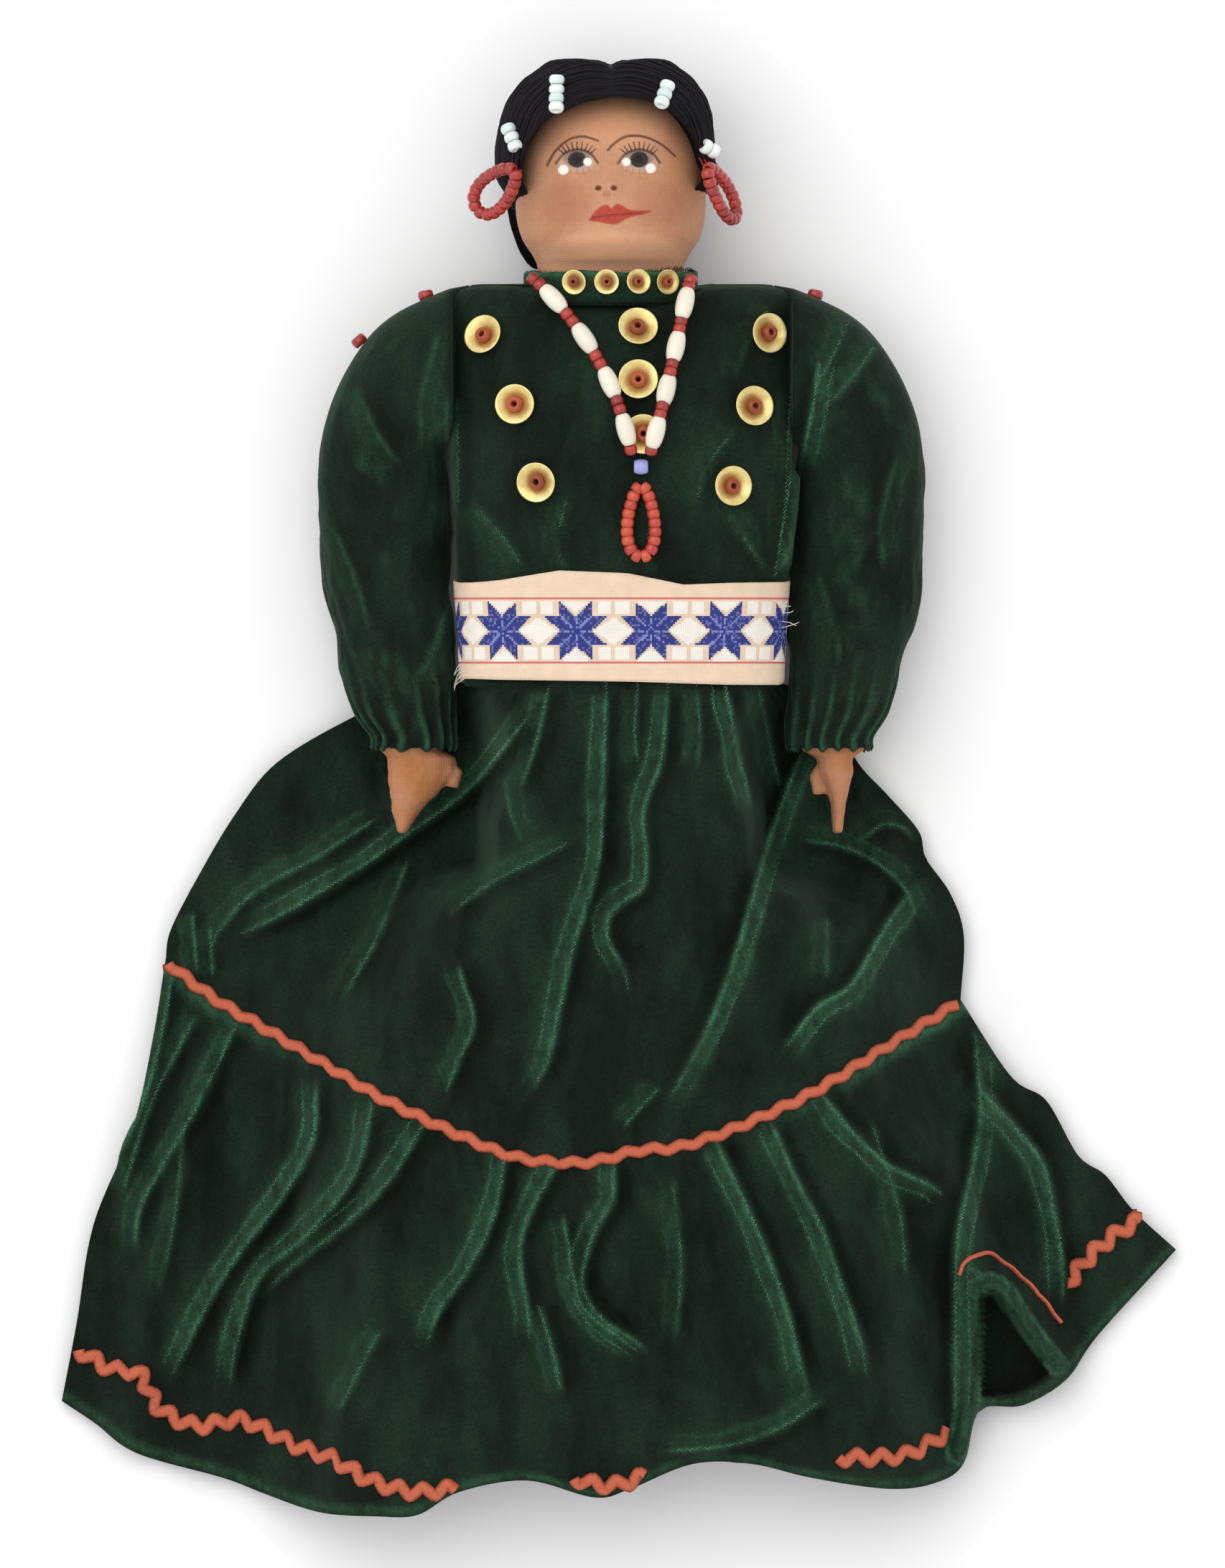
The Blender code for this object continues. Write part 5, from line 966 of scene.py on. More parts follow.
def new_tree(name, **inputs):
    """A geometry tree with named inputs. Each is a socket type, and an object's mesh comes first."""
    tree = bpy.data.node_groups.new(name, "GeometryNodeTree")
    tree.interface.new_socket("Geometry", in_out="INPUT", socket_type="NodeSocketGeometry")
    for label, kind in inputs.items():
        tree.interface.new_socket(label.replace("_", " ").capitalize(), in_out="INPUT", socket_type=kind)
    tree.interface.new_socket("Geometry", in_out="OUTPUT", socket_type="NodeSocketGeometry")
    return tree, put(tree, "NodeGroupInput").outputs


def end_tree(tree, shape, material):
    """Realizes instances, sets the material and ends the tree."""
    real = put(tree, "GeometryNodeRealizeInstances", {0: shape})
    soft = put(tree, "GeometryNodeSetShadeSmooth", {0: real.outputs[0]})
    painted = put(tree, "GeometryNodeSetMaterial", {"Geometry": soft.outputs[0], "Material": material})
    put(tree, "NodeGroupOutput", {0: painted.outputs[0]})
    return tree


def grow(piece, tree, **values):
    """Runs a tree on a piece with its inputs set, and keeps the result as a plain mesh."""
    modifier = piece.modifiers.new("grow", "NODES")
    modifier.node_group = tree
    for item in tree.interface.items_tree:
        key = item.name.lower().replace(" ", "_")
        if item.in_out == "INPUT" and key in values:
            modifier[item.identifier] = values[key]
    return made_plain(piece)


def toned(tree, shape, seed, domain):
    """Gives each copy or line a tone of its own."""
    tone = put(tree, "FunctionNodeRandomValue", {"Seed": seed}, data_type="FLOAT").outputs[1]
    return put(tree, "GeometryNodeStoreNamedAttribute", {"Geometry": shape, "Name": "tone", "Value": tone},
               data_type="FLOAT", domain=domain).outputs[0]


def copies_tree():
    """Copies of a model on points that carry a direction and a size. Each copy gets its own tone."""
    tree, given = new_tree("copies_on_points", model="NodeSocketObject", tone_seed="NodeSocketInt",
                           material="NodeSocketMaterial")
    model = put(tree, "GeometryNodeObjectInfo", {"Object": given["Model"]}, transform_space="ORIGINAL")
    axis, size = (put(tree, "GeometryNodeInputNamedAttribute", {"Name": name},
                      data_type="FLOAT_VECTOR").outputs["Attribute"] for name in ("axis", "size"))
    turn = put(tree, "FunctionNodeAlignRotationToVector", {"Vector": axis}, axis="Z")
    copies = put(tree, "GeometryNodeInstanceOnPoints", {
        "Points": given["Geometry"], "Instance": model.outputs["Geometry"], "Rotation": turn.outputs[0],
        "Scale": size})
    return end_tree(tree, toned(tree, copies.outputs[0], given["Tone seed"], "INSTANCE"), given["Material"])


def strands_tree():
    """Round strands along lines, thinner at their ends, that wander a little and differ in tone."""
    tree, given = new_tree("strands_on_lines", radius="NodeSocketFloat", spacing="NodeSocketFloat",
                           wander="NodeSocketFloat", tone_seed="NodeSocketInt", material="NodeSocketMaterial")
    lines = put(tree, "GeometryNodeMeshToCurve", {0: given["Geometry"]}).outputs[0]
    even = put(tree, "GeometryNodeResampleCurve", {
        "Curve": toned(tree, lines, given["Tone seed"], "CURVE"), "Length": given["Spacing"]}, mode="LENGTH")
    ways = put(tree, "ShaderNodeTexNoise", {"Scale": 1 / 0.004, "Detail": 1.0}).outputs["Color"]
    moved = scaled(tree, vector_maths(tree, "SUBTRACT", ways, (0.5, 0.5, 0.5)), given["Wander"])
    laid = put(tree, "GeometryNodeSetPosition", {"Geometry": even.outputs[0], "Offset": moved})
    share = put(tree, "GeometryNodeSplineParameter").outputs["Factor"]
    end = maths(tree, "MULTIPLY", maths(tree, "ABSOLUTE", maths(tree, "SUBTRACT", share, 0.5)), 2.0)
    radius = maths(tree, "MULTIPLY", given["Radius"], ranged(tree, end, 0.9, 1.0, 1.0, 0.35))
    outline = put(tree, "GeometryNodeCurvePrimitiveCircle", {"Resolution": 6, "Radius": 1.0})
    tube = put(tree, "GeometryNodeCurveToMesh", {"Curve": laid.outputs[0], "Profile Curve": outline.outputs[0],
                                                 "Scale": radius, "Fill Caps": True})
    return end_tree(tree, tube.outputs[0], given["Material"])


def braid_tree():
    """A wavy flat band along a line, dropped on the cloth under it and tilted as the cloth is."""
    tree, given = new_tree("braid_on_cloth", cloth="NodeSocketObject", width="NodeSocketFloat",
                           swing="NodeSocketFloat", pitch="NodeSocketFloat", thickness="NodeSocketFloat",
                           material="NodeSocketMaterial")
    line = put(tree, "GeometryNodeMeshToCurve", {0: given["Geometry"]})
    even = put(tree, "GeometryNodeResampleCurve", {
        "Curve": line.outputs[0], "Length": maths(tree, "DIVIDE", given["Pitch"], 16.0)}, mode="LENGTH")
    run = put(tree, "GeometryNodeSplineParameter").outputs["Length"]
    turn = maths(tree, "MULTIPLY", maths(tree, "DIVIDE", run, given["Pitch"]), 2 * math.pi)
    blunt = maths(tree, "MULTIPLY", maths(tree, "SINE", turn), 0.96)
    wave = maths(tree, "MULTIPLY", maths(tree, "ARCSINE", blunt), 0.78)
    tangent = put(tree, "GeometryNodeInputTangent").outputs[0]
    side = vector_maths(tree, "CROSS_PRODUCT", tangent, (0.0, 0.0, 1.0))
    out = scaled(tree, side, maths(tree, "MULTIPLY", wave, given["Swing"]))
    wavy = put(tree, "GeometryNodeSetPosition", {"Geometry": even.outputs[0], "Offset": out})
    cloth = put(tree, "GeometryNodeObjectInfo", {"Object": given["Cloth"]}, transform_space="ORIGINAL")
    high = vector_maths(tree, "ADD", put(tree, "GeometryNodeInputPosition").outputs[0], (0.0, 0.0, 0.1))
    ray = put(tree, "GeometryNodeRaycast", {
        "Target Geometry": cloth.outputs["Geometry"], "Source Position": high,
        "Ray Direction": (0.0, 0.0, -1.0), "Ray Length": 1.0}).outputs
    lift = put(tree, "ShaderNodeCombineXYZ", {"Z": maths(tree, "MULTIPLY", given["Thickness"], 0.38)})
    seat = vector_maths(tree, "ADD", ray["Hit Position"], lift.outputs[0])
    laid = put(tree, "GeometryNodeSetPosition", {"Geometry": wavy.outputs[0], "Selection": ray["Is Hit"],
                                                 "Position": seat})
    tilted = put(tree, "GeometryNodeSetCurveNormal", {"Curve": laid.outputs[0], "Normal": ray["Hit Normal"]},
                 mode="FREE")
    outline = put(tree, "GeometryNodeCurvePrimitiveCircle", {"Resolution": 12, "Radius": 0.5})
    # painted highlight: the middle of the band across its width gets a high tone and is drawn pale, its edges in the
    # darker coral, as light falls on a rounded band
    here = put(tree, "GeometryNodeInputPosition").outputs[0]
    off = put(tree, "ShaderNodeSeparateXYZ", {0: here}).outputs[1]
    tone = ranged(tree, maths(tree, "ABSOLUTE", off), 0.2, 0.46, 1.0, 0.0)
    outline = put(tree, "GeometryNodeStoreNamedAttribute", {"Geometry": outline.outputs[0], "Name": "tone",
                                                            "Value": tone}, data_type="FLOAT")
    wide = put(tree, "ShaderNodeCombineXYZ", {"X": given["Thickness"], "Y": given["Width"], "Z": 1.0})
    flat = put(tree, "GeometryNodeTransform", {"Geometry": outline.outputs[0], "Scale": wide.outputs[0]})
    band = put(tree, "GeometryNodeCurveToMesh", {"Curve": tilted.outputs[0], "Profile Curve": flat.outputs[0],
                                                 "Fill Caps": True})
    return end_tree(tree, band.outputs[0], given["Material"])


def tree_named(maker):
    """The tree a function makes, made once."""
    found = bpy.data.node_groups.get(maker.__name__)
    if found is None:
        found = maker()
        found.name = maker.__name__
    return found


def kept_material(name, maker, *values):
    """A material, made once."""
    return bpy.data.materials.get(name) or maker(*values)


def lathe(name, profile, sides):
    """A model turned round Z from (radius, height) pairs, in units."""
    turns = full_turn(sides)
    points = np.vstack([np.stack([r * np.cos(turns), r * np.sin(turns), np.full(sides, z)], axis=1)
                        for r, z in profile])
    return outwards(mesh_piece(name, points / MM, grid_faces(len(profile), sides, True)))


def bead_model():
    """A pierced bead of half size 1, with a rounded wall."""
    turns = np.linspace(0, 2 * math.pi, 11)
    hole = 0.26
    wall = [((1 + hole) / 2 + (1 - hole) / 2 * np.sign(c) * abs(c) ** 0.95, np.sign(s) * abs(s) ** 0.95)
            for c, s in zip(np.cos(turns), np.sin(turns))]
    wall[-1] = wall[0]
    return lathe("bead_model", wall, 14)


def oval_model():
    """A long pierced bead of half size 1 that narrows to its ends."""
    turns = np.linspace(math.pi / 2, -math.pi / 2, 13)
    wall = [(0.30 + 0.70 * np.cos(t) ** 0.75, np.sin(t)) for t in turns]
    wall += [(0.22, -0.9), (0.22, 0.0), (0.22, 0.9)]
    wall.append(wall[0])
    return lathe("oval_model", wall, 18)


def cup_model():
    """A cupped sequin of radius 1, with a flat foot, a flared cone and a rolled rim."""
    wall = [(0.10, 0.02), (0.34, 0.0), (0.42, 0.04), (0.62, 0.16), (0.84, 0.27), (0.95, 0.315), (1.0, 0.34),
            (0.995, 0.375), (0.94, 0.37), (0.82, 0.325), (0.61, 0.215), (0.42, 0.10), (0.33, 0.065),
            (0.10, 0.08)]
    wall.append(wall[0])
    cup = lathe("cup_model", wall, 40)
    # how near the middle a point is, which sets the painted reflection of the amber bead
    mark(cup, "bowl", [max(0.0, 1 - math.hypot(v.co.x, v.co.y)) for v in cup.data.vertices])
    return cup


def copies(name, model, spots, tone_seed, material):
    """Copies of a model on spots: (place, direction, size) in millimetres."""
    mesh = bpy.data.meshes.new(name)
    mesh.from_pydata([tuple(np.asarray(place) * MM) for place, _, _ in spots], [], [])
    piece = new_object(name, mesh)
    for label, k in (("axis", 1), ("size", 2)):
        layer = mesh.attributes.new(label, "FLOAT_VECTOR", "POINT")
        scale = MM if k == 2 else 1.0
        layer.data.foreach_set("vector", (np.array([spot[k] for spot in spots], float) * scale).ravel())
    grow(piece, tree_named(copies_tree), model=model, tone_seed=tone_seed, material=material)
    bpy.data.objects.remove(model)
    return piece


def lines_piece(name, lines):
    """Lines of points in millimetres as the edges of one piece."""
    points, edges = [], []
    for line in lines:
        start = len(points)
        points += [tuple(np.asarray(p) * MM) for p in line]
        edges += [(start + i, start + i + 1) for i in range(len(line) - 1)]
    mesh = bpy.data.meshes.new(name)
    mesh.from_pydata(points, edges, [])
    return new_object(name, mesh)


def strands(name, lines, radius, wander, tone_seed, material, spacing=0.9):
    return grow(lines_piece(name, lines), tree_named(strands_tree), radius=radius * MM, spacing=spacing * MM,
                wander=wander * MM, tone_seed=tone_seed, material=material)


def threaded(line, beads):
    """Places of beads threaded tight along a line: each is (radius, length)."""
    line = np.asarray(line, float)
    total, start, spots = sum(length for _, length in beads), 0.0, []
    for radius, length in beads:
        low, high = along(line, np.array([start / total, (start + length) / total]))
        axis = (high - low) / max(np.linalg.norm(high - low), 1e-9)
        middle = along(line, np.array([(start + length / 2) / total]))[0]
        spots.append((middle, axis, (radius, radius, length / 2 * 0.97)))
        start += length
    return spots


def clear_of_folds(x, y, edge, crown, v):
    """The front cloth's height: up over the legs, and down to the floor beside them."""
    reach = np.abs(x - BODY_X)
    spread = ease((v - HIP_ROOM_SHARE) / (1 - HIP_ROOM_SHARE))
    room = HIP_ROOM_HALF_WIDTH + (LEG_ROOM_HALF_WIDTH - HIP_ROOM_HALF_WIDTH) * spread
    room = np.minimum(room, LEG_ROOM_SHARE * edge)
    width = HIP_DRAPE_WIDTH + (DRAPE_WIDTH - HIP_DRAPE_WIDTH) * spread
    fall = ease((reach - room) / np.minimum(width, np.maximum(edge - room, CLOTH)))
    return SKIRT_EDGE_Z + (crown - SKIRT_EDGE_Z) * (1 - fall)


def fold_height(folds, u, v):
    """The height of the broad folds at shares across and down a panel."""
    height = 0.0
    for u0, v0, u1, v1, width, size in folds:
        part = (v - v0) / (v1 - v0)
        off = (u - u0 - (u1 - u0) * part) / width
        fade = ease((part / FOLD_END_SHARE + 1) / 2) * ease(((1 - part) / FOLD_END_SHARE + 1) / 2)
        height = height + size * fade * np.exp(-off * off)
    return height * FOLD_HEIGHT


def hand_dent(x, y, z):
    """The cloth's height where a hand or a cuff lies on it."""
    inner_x, outer_x, length, slant, slant_length, edge, rise = HAND_DENT
    low = SKIRT_EDGE_Z + rise
    reach = np.abs(x - BODY_X)
    inner = inner_x + slant * np.maximum(y - WAIST_Y + slant_length, 0)
    off_x = np.maximum(np.maximum(inner - reach, reach - outer_x), 0)
    off_y = np.maximum(WAIST_Y - length - y, 0)
    across = (DENT_SOFT_ACROSS + DENT_SOFTER_ABOVE * ease((y + 9) / 12)) * edge
    away = np.hypot(off_x / across, off_y / (DENT_SOFT_ALONG * edge))
    return np.where(z > low, low + (z - low) * ease(away), z)


def patch(top, bottom, left, right, rows):
    """Rows of places across a panel, from its top row down to three other edges."""
    u = np.linspace(0, 1, len(top))
    v = rows[:, None, None]
    straight = top[None] * (1 - v) + along(bottom, u)[None] * v
    pull_left = along(left, rows)[:, None] - (top[0] * (1 - v) + bottom[0] * v)
    pull_right = along(right, rows)[:, None] - (top[-1] * (1 - v) + bottom[-1] * v)
    return straight + pull_left * (1 - u[None, :, None]) ** 2 + pull_right * u[None, :, None] ** 2


def panel_edge(shares, half_width, length, top_y):
    return np.array([(BODY_X + x * half_width, top_y - y * length) for x, y in shares])


def reaching(line):
    """A crease's line, begun a little earlier, so that it fades in at the seam or the waist."""
    first, second = np.array(line[0]), np.array(line[1])
    return [tuple(first + (first - second) * 3.2 / np.linalg.norm(first - second)), *line]


def creased(places, creases):
    """The height of sharp creases, the painted highlight on each ridge and its gentle flank, and the painted shade
    in the dip beside it.
    """
    height, crest, hollow = (np.zeros(len(places)) for _ in range(3))
    for size, side, line in creases:
        off, share = near_line(places, curve(reaching(line), 5))
        off = off * side
        fade = ease(share / 0.12 + 0.25) * ease((1 - share) / 0.2)
        flank = 2.2 + 1.4 * size
        wavy = off + 0.3 * np.sin(share * 15 + size * 7)
        rise = np.where(off > 0, np.exp(-(np.maximum(off, 0) / flank) ** 1.4), np.exp(-(off / 1.1) ** 2))
        dip = np.exp(-((off + 3.0) / 1.9) ** 2) * (off < 0)
        height += size * fade * (rise * (np.abs(rise) > 0.02) - 0.45 * dip)
        strong = min(size / 2.2, 1.0) * fade
        # painted highlight: a thin line on the ridge, a second line beside it and a broad band on the gentle flank
        line_light = np.exp(-(off / 0.7) ** 2)
        second = 0.5 * np.exp(-((wavy - 2.9) / 0.6) ** 2)
        flank_light = 0.33 * np.exp(-(np.abs(wavy - 1.6) / 2.3) ** 1.6) * (wavy > -0.6)
        crest = np.maximum(crest, strong * np.maximum(np.maximum(line_light, second), flank_light))
        # painted shade: darker in the dip on the steep side of the ridge
        hollow = np.maximum(hollow, strong * np.exp(-((off + 2.2) / 1.7) ** 2) * (off < -0.3))
    return height, crest, hollow


def crumple(points, depth, size, seed):
    """Small uneven waves of cloth, as heights for points."""
    heights = np.empty(len(points))
    for n, (x, y) in enumerate(points[:, :2]):
        heights[n] = noise.fractal(Vector((x / size + seed, y / (size * 1.9), seed)), 0.55, 2.1, 3)
    return heights * depth


def waist_row(columns, front):
    """Points round the front or back of the waist, from the left in view to the right."""
    _, width, depth, squareness = BODY_SHARES[0]
    half_depth = BODY_HALF_DEPTH * depth
    start, span = math.pi + FRONT_WRAP, -math.pi - 2 * FRONT_WRAP
    if not front:
        half_depth += FLAT_CUT
        start, span = math.pi + BACK_WRAP, math.pi - 2 * BACK_WRAP
    across, up = oval(start + span * np.linspace(0, 1, columns), squareness)
    return hoop(BODY_X + across * BODY_HALF_WIDTH * width, WAIST_Y - WAIST_GAP, BODY_Z + up * half_depth)


def fall_share(x, v, length_share):
    """How far the cloth has left the shape of the waist."""
    side = np.abs(x - BODY_X) - BODY_HALF_WIDTH * BODY_SHARES[0][1]
    return np.maximum(ease(v / length_share), ease(side / SIDE_FALL))


def calm(u, v):
    return ease(u / EDGE_CALM_SHARE) * ease((1 - u) / EDGE_CALM_SHARE) * v


def tier_points(columns, rows, front, crease):
    """Points of an upper panel, with their painted highlight and painted shade."""
    top_y = WAIST_Y - WAIST_GAP
    waist = waist_row(columns, front)
    seam = curve(panel_edge(SEAM, TIER_HALF_WIDTH, TIER_LENGTH, top_y))
    left, right = (curve(np.vstack([end, panel_edge(side, TIER_HALF_WIDTH, TIER_LENGTH, top_y)]))
                   for end, side in ((waist[:1, :2], TIER_LEFT), (waist[-1:, :2], TIER_RIGHT)))
    flat = patch(waist[:, :2], seam, left, right, rows)
    x, y = flat[..., 0], flat[..., 1]
    u = np.broadcast_to(np.linspace(0, 1, columns), x.shape)
    v = np.broadcast_to(rows[:, None], x.shape)
    start = waist[None, :, 2]
    if not front:
        z = start + (SKIRT_BACK_Z - start) * fall_share(x, v, BACK_FALL_SHARE)
        return np.stack([x, y, z], axis=-1), np.zeros(x.shape), np.zeros(x.shape)
    edge = np.where(x < BODY_X, (BODY_X - x[:, :1]), (x[:, -1:] - BODY_X))
    crown = np.maximum(start + (TIER_CROWN - start) * v, TIER_CROWN)
    laid = clear_of_folds(x, y, edge, crown, v)
    z = start + (laid - start) * fall_share(x, v, WAIST_FALL_SHARE)
    fade = ease(v / WAIST_FALL_SHARE) * ease((1 - v) / SEAM_CALM_SHARE) * calm(u, 1.0)
    z = np.where(v > 0, hand_dent(x, y, z + fade * fold_height(TIER_FOLDS, u, v)), z)
    places = flat.reshape(-1, 2)
    ridge, crest, hollow = (part.reshape(x.shape) for part in creased(places, TIER_CREASES))
    gather = 0.5 * np.sin(u * 105 + 2.0 * np.sin(u * 23)) * ease(v / 0.02) * (1 - ease(v / 0.2))
    pressed = ease(v / 0.04)
    at_seam = ease((1 - v) / 0.05)
    small = crumple(places, 0.9, 9.0, 3.7).reshape(x.shape) * calm(u, pressed)
    z = z + (ridge * crease * pressed + gather + small) * at_seam
    tucked = np.stack([waist[:, 0], waist[:, 1] + 3.2, waist[:, 2] - 0.3], axis=-1)
    shape = np.stack([x, y, np.maximum(z, SKIRT_EDGE_Z - 0.6)], axis=-1)
    extra = np.zeros((1, columns))
    return (np.concatenate([tucked[None], shape]), np.concatenate([extra, crest * pressed]),
            np.concatenate([extra, hollow * pressed]))


def ruffle_points(columns, rows, front, crease):
    """Points of a lower panel, with their painted highlight and painted shade."""
    seam_y = WAIST_Y - WAIST_GAP - TIER_LENGTH
    seam = curve(panel_edge(SEAM, TIER_HALF_WIDTH, TIER_LENGTH, WAIST_Y - WAIST_GAP)) - np.array([0, SEAM_GAP])
    hem = curve(panel_edge(HEM, RUFFLE_HALF_WIDTH, RUFFLE_LENGTH, seam_y))
    left, right = (curve(np.vstack([end, panel_edge(side, RUFFLE_HALF_WIDTH, RUFFLE_LENGTH, seam_y)]))
                   for end, side in ((seam[:1], RUFFLE_LEFT), (seam[-1:], RUFFLE_RIGHT)))
    flat = patch(along(seam, np.linspace(0, 1, columns)), hem, left, right, rows)
    x, y = flat[..., 0], flat[..., 1]
    u = np.broadcast_to(np.linspace(0, 1, columns), x.shape)
    v = np.broadcast_to(rows[:, None], x.shape)
    if not front:
        return np.stack([x, y, np.full(x.shape, SKIRT_BACK_Z)], axis=-1), np.zeros(x.shape), np.zeros(x.shape)
    edge = np.where(x < BODY_X, (BODY_X - x[:, :1]), (x[:, -1:] - BODY_X))
    z = clear_of_folds(x, y, edge, TIER_CROWN + (RUFFLE_CROWN - TIER_CROWN) * v, 1.0)
    z = z + calm(u, ease(v / SEAM_CALM_SHARE)) * fold_height(RUFFLE_FOLDS, u, v)
    places = flat.reshape(-1, 2)
    ridge, crest, hollow = creased(places, RUFFLE_CREASES)
    at_seam = ease(v / 0.05)
    gather = 0.55 * np.sin(u * 180 + 2.4 * np.sin(u * 31)) * ease(v / 0.03) * (1 - ease(v / 0.35))
    small = crumple(places, 1.0, 10.0, 9.1).reshape(x.shape) * calm(u, 1.0)
    z = z + (ridge.reshape(x.shape) * crease + gather + small) * at_seam
    z = z.ravel()
    # in the deep fold the painted highlight is mostly taken away and a painted shade laid over it
    deep = inside(places, FOLD_HOLLOW)
    z[deep] = np.minimum(z[deep], 4.6)
    crest[deep] *= 0.2
    hollow[deep] = 0.9
    for height, half_width, line in RUFFLE_ROLLS:
        off, share = near_line(places, curve(line, 6))
        off = np.abs(off)
        over = off < half_width
        dome = ease(1.35 * (1 - off / half_width))
        z[over] = np.maximum(z, SKIRT_EDGE_Z + (height - SKIRT_EDGE_Z) * dome)[over]
        # painted highlight on the flanks and tops of the rolled folds, with no painted shade there
        rim = np.exp(-((off / half_width - 0.78) / 0.2) ** 2) + 0.6 * np.exp(-(off / half_width / 0.22) ** 2)
        crest = np.where(over, np.maximum(rim * 0.8, 0.3), crest)
        hollow = np.where(over, 0, hollow)
    z = np.maximum(z, SKIRT_EDGE_Z - 0.6).reshape(x.shape)
    hem_roll = ease((v - 0.965) / 0.035)
    # painted highlight near both ends of the seam and along the rolled hem
    near_ends = np.exp(-(u / 0.14) ** 2) + np.exp(-((1 - u) / 0.2) ** 2)
    crest = np.maximum(crest.reshape(x.shape), 0.75 * np.exp(-((v - 0.025) / 0.02) ** 2) * near_ends)
    crest = np.maximum(crest, 0.35 * np.exp(-((v - 0.985) / 0.012) ** 2))
    return np.stack([x, y, z - 0.7 * hem_roll], axis=-1), crest, hollow.reshape(x.shape)


def cloth_panel(name, points, crest, hollow, material, thickness):
    """A panel of cloth under a grid of points, with its thickness below them."""
    rows, columns = points.shape[:2]
    piece = mesh_piece(name, points.reshape(-1, 3), grid_faces(rows, columns), material)
    mark(piece, "crest", crest.ravel())
    mark(piece, "hollow", hollow.ravel())
    return thickened(piece, thickness)


def tuft_model():
    """A tuft of pile of half width 1 and height 1."""
    corners = [(a, b, -0.3) for a, b in ((1, 0), (0, 1), (-1, 0), (0, -1))]
    points = np.array(corners + [(0.25, 0.15, 1.0)]) / MM
    faces = [(0, 1, 4), (1, 2, 4), (2, 3, 4), (3, 0, 4), (3, 2, 1, 0)]
    return outwards(mesh_piece("tuft_model", points, faces))


def open_pile(name, cloth, creases, body, spacing=0.36):
    """Pale green tufts along the creases of a piece of cloth, which draw the painted highlight lines on the ridges.
    """
    settings = bpy.context.scene.doll_velvet
    pile = kept_material("pile_open_on_creases", fibre_material, "pile_open_on_creases", settings.open_shade,
                         settings.open_lit, 0.0011, 0.9)
    tree = tree_of(cloth)
    spots = []
    for line_number, (size, side, line) in enumerate(creases):
        path = curve(reaching(line), 5)
        rows = ((0.0, 1.0), (2.9 * side, 0.6)) if size >= 1.9 else ((0.0, 1.0),)
        count = max(int(length_of(path) / spacing), 4)
        shares = np.linspace(0.01, 0.99, count)
        places = along(path, shares)
        ways = np.gradient(places, axis=0)
        ways /= np.maximum(np.linalg.norm(ways, axis=1, keepdims=True), 1e-9)
        for off, weight in rows:
            for n, (share, place, way) in enumerate(zip(shares, places, ways)):
                pick, other = (n * 0.6180339 + line_number) % 1.0, (n * 0.7548776 + line_number * 0.3) % 1.0
                ends = min(share / 0.12 + 0.25, (1 - share) / 0.2, 1.0)
                patchy = 0.55 + 0.9 * noise.noise(Vector((place[0] / 7, place[1] / 7, line_number)))
                tall = min(size / 1.8, 1.0) * ends * weight * min(max(patchy, 0.15), 1.1)
                if tall < 0.18:
                    continue
                out = off + (pick - 0.5) * 0.5 + (0.3 * math.sin(share * 15 + size * 7) if off else 0.0)
                x, y = place[0] - way[1] * out, place[1] + way[0] * out
                hit = from_above(tree, x, y)
                if hit[0] is None:
                    continue
                up = np.array(hit[1]) + np.array([(other - 0.5) * 0.8, (pick - 0.5) * 0.8, 0.4])
                width = 0.16 + 0.14 * tall
                spots.append((np.array(hit[0]) / MM, up, (width, width, 0.75 * tall)))
    dressed(copies(name, tuft_model(), spots, 91, pile), body, "velvet")


class DOLL_OT_skirt(bpy.types.Operator):
    """Builds the four velvet panels of the skirt"""

    bl_idname = "doll.skirt"
    bl_label = "Skirt"

    def execute(self, context):
        settings = context.scene.doll_velvet
        velvet = velvet_material(settings)
        for face, tier_columns, columns, tier_rows, rows in (
                ("front", 280, settings.columns, np.linspace(0, 1, 160), np.linspace(0, 1, 130)),
                ("back", 90, 110, np.linspace(0, 1, 60) ** 1.6, np.linspace(0, 1, 40))):
            self.panel("tier", face, TIER_CREASES, velvet,
                       *tier_points(tier_columns, tier_rows, face == "front", settings.crease))
            self.panel("ruffle", face, RUFFLE_CREASES, velvet,
                       *ruffle_points(columns, rows, face == "front", settings.crease))
        return {"FINISHED"}

    def panel(self, part, face, creases, velvet, points, crest, hollow):
        """One panel of cloth, with the tufts of its painted highlight at the front."""
        points = points if face == "front" else points[:, ::-1]
        piece = cloth_panel("velvet_" + part + "_" + face, points, crest, hollow, velvet,
                            bpy.context.scene.doll_velvet.cloth)
        dressed(piece, "doll", "velvet", "skirt_" + part + "_" + face)
        if face == "front":
            open_pile("velvet_" + part + "_open_pile", piece, creases, "doll")


def body_form(sides):
    """Rings of the blouse, from its table of shares."""
    rings = []
    for share, width, depth, squareness in curve(BODY_SHARES, 8):
        a, b = oval(full_turn(sides), squareness)
        half_depth = BODY_HALF_DEPTH * depth
        z = BODY_Z + b * np.where(b > 0, half_depth, half_depth + FLAT_CUT)
        rings.append(hoop(BODY_X + a * (BODY_HALF_WIDTH * width), WAIST_Y + share * BLOUSE_LENGTH,
                          np.maximum(z, 0)))
    return rings


def pushed(points, rows, columns, offsets):
    """Grid points of a closed form moved along its normals by offsets."""
    grid = points.reshape(rows, columns, 3)
    across = np.roll(grid, -1, axis=1) - np.roll(grid, 1, axis=1)
    down = np.gradient(grid, axis=0)
    normal = np.cross(across, down)
    normal /= np.maximum(np.linalg.norm(normal, axis=-1, keepdims=True), 1e-9)
    middle = grid.mean(axis=1, keepdims=True)
    facing = np.sign((normal * (grid - middle)).sum(-1, keepdims=True))
    return (grid + normal * facing * offsets.reshape(rows, columns, 1)).reshape(-1, 3)


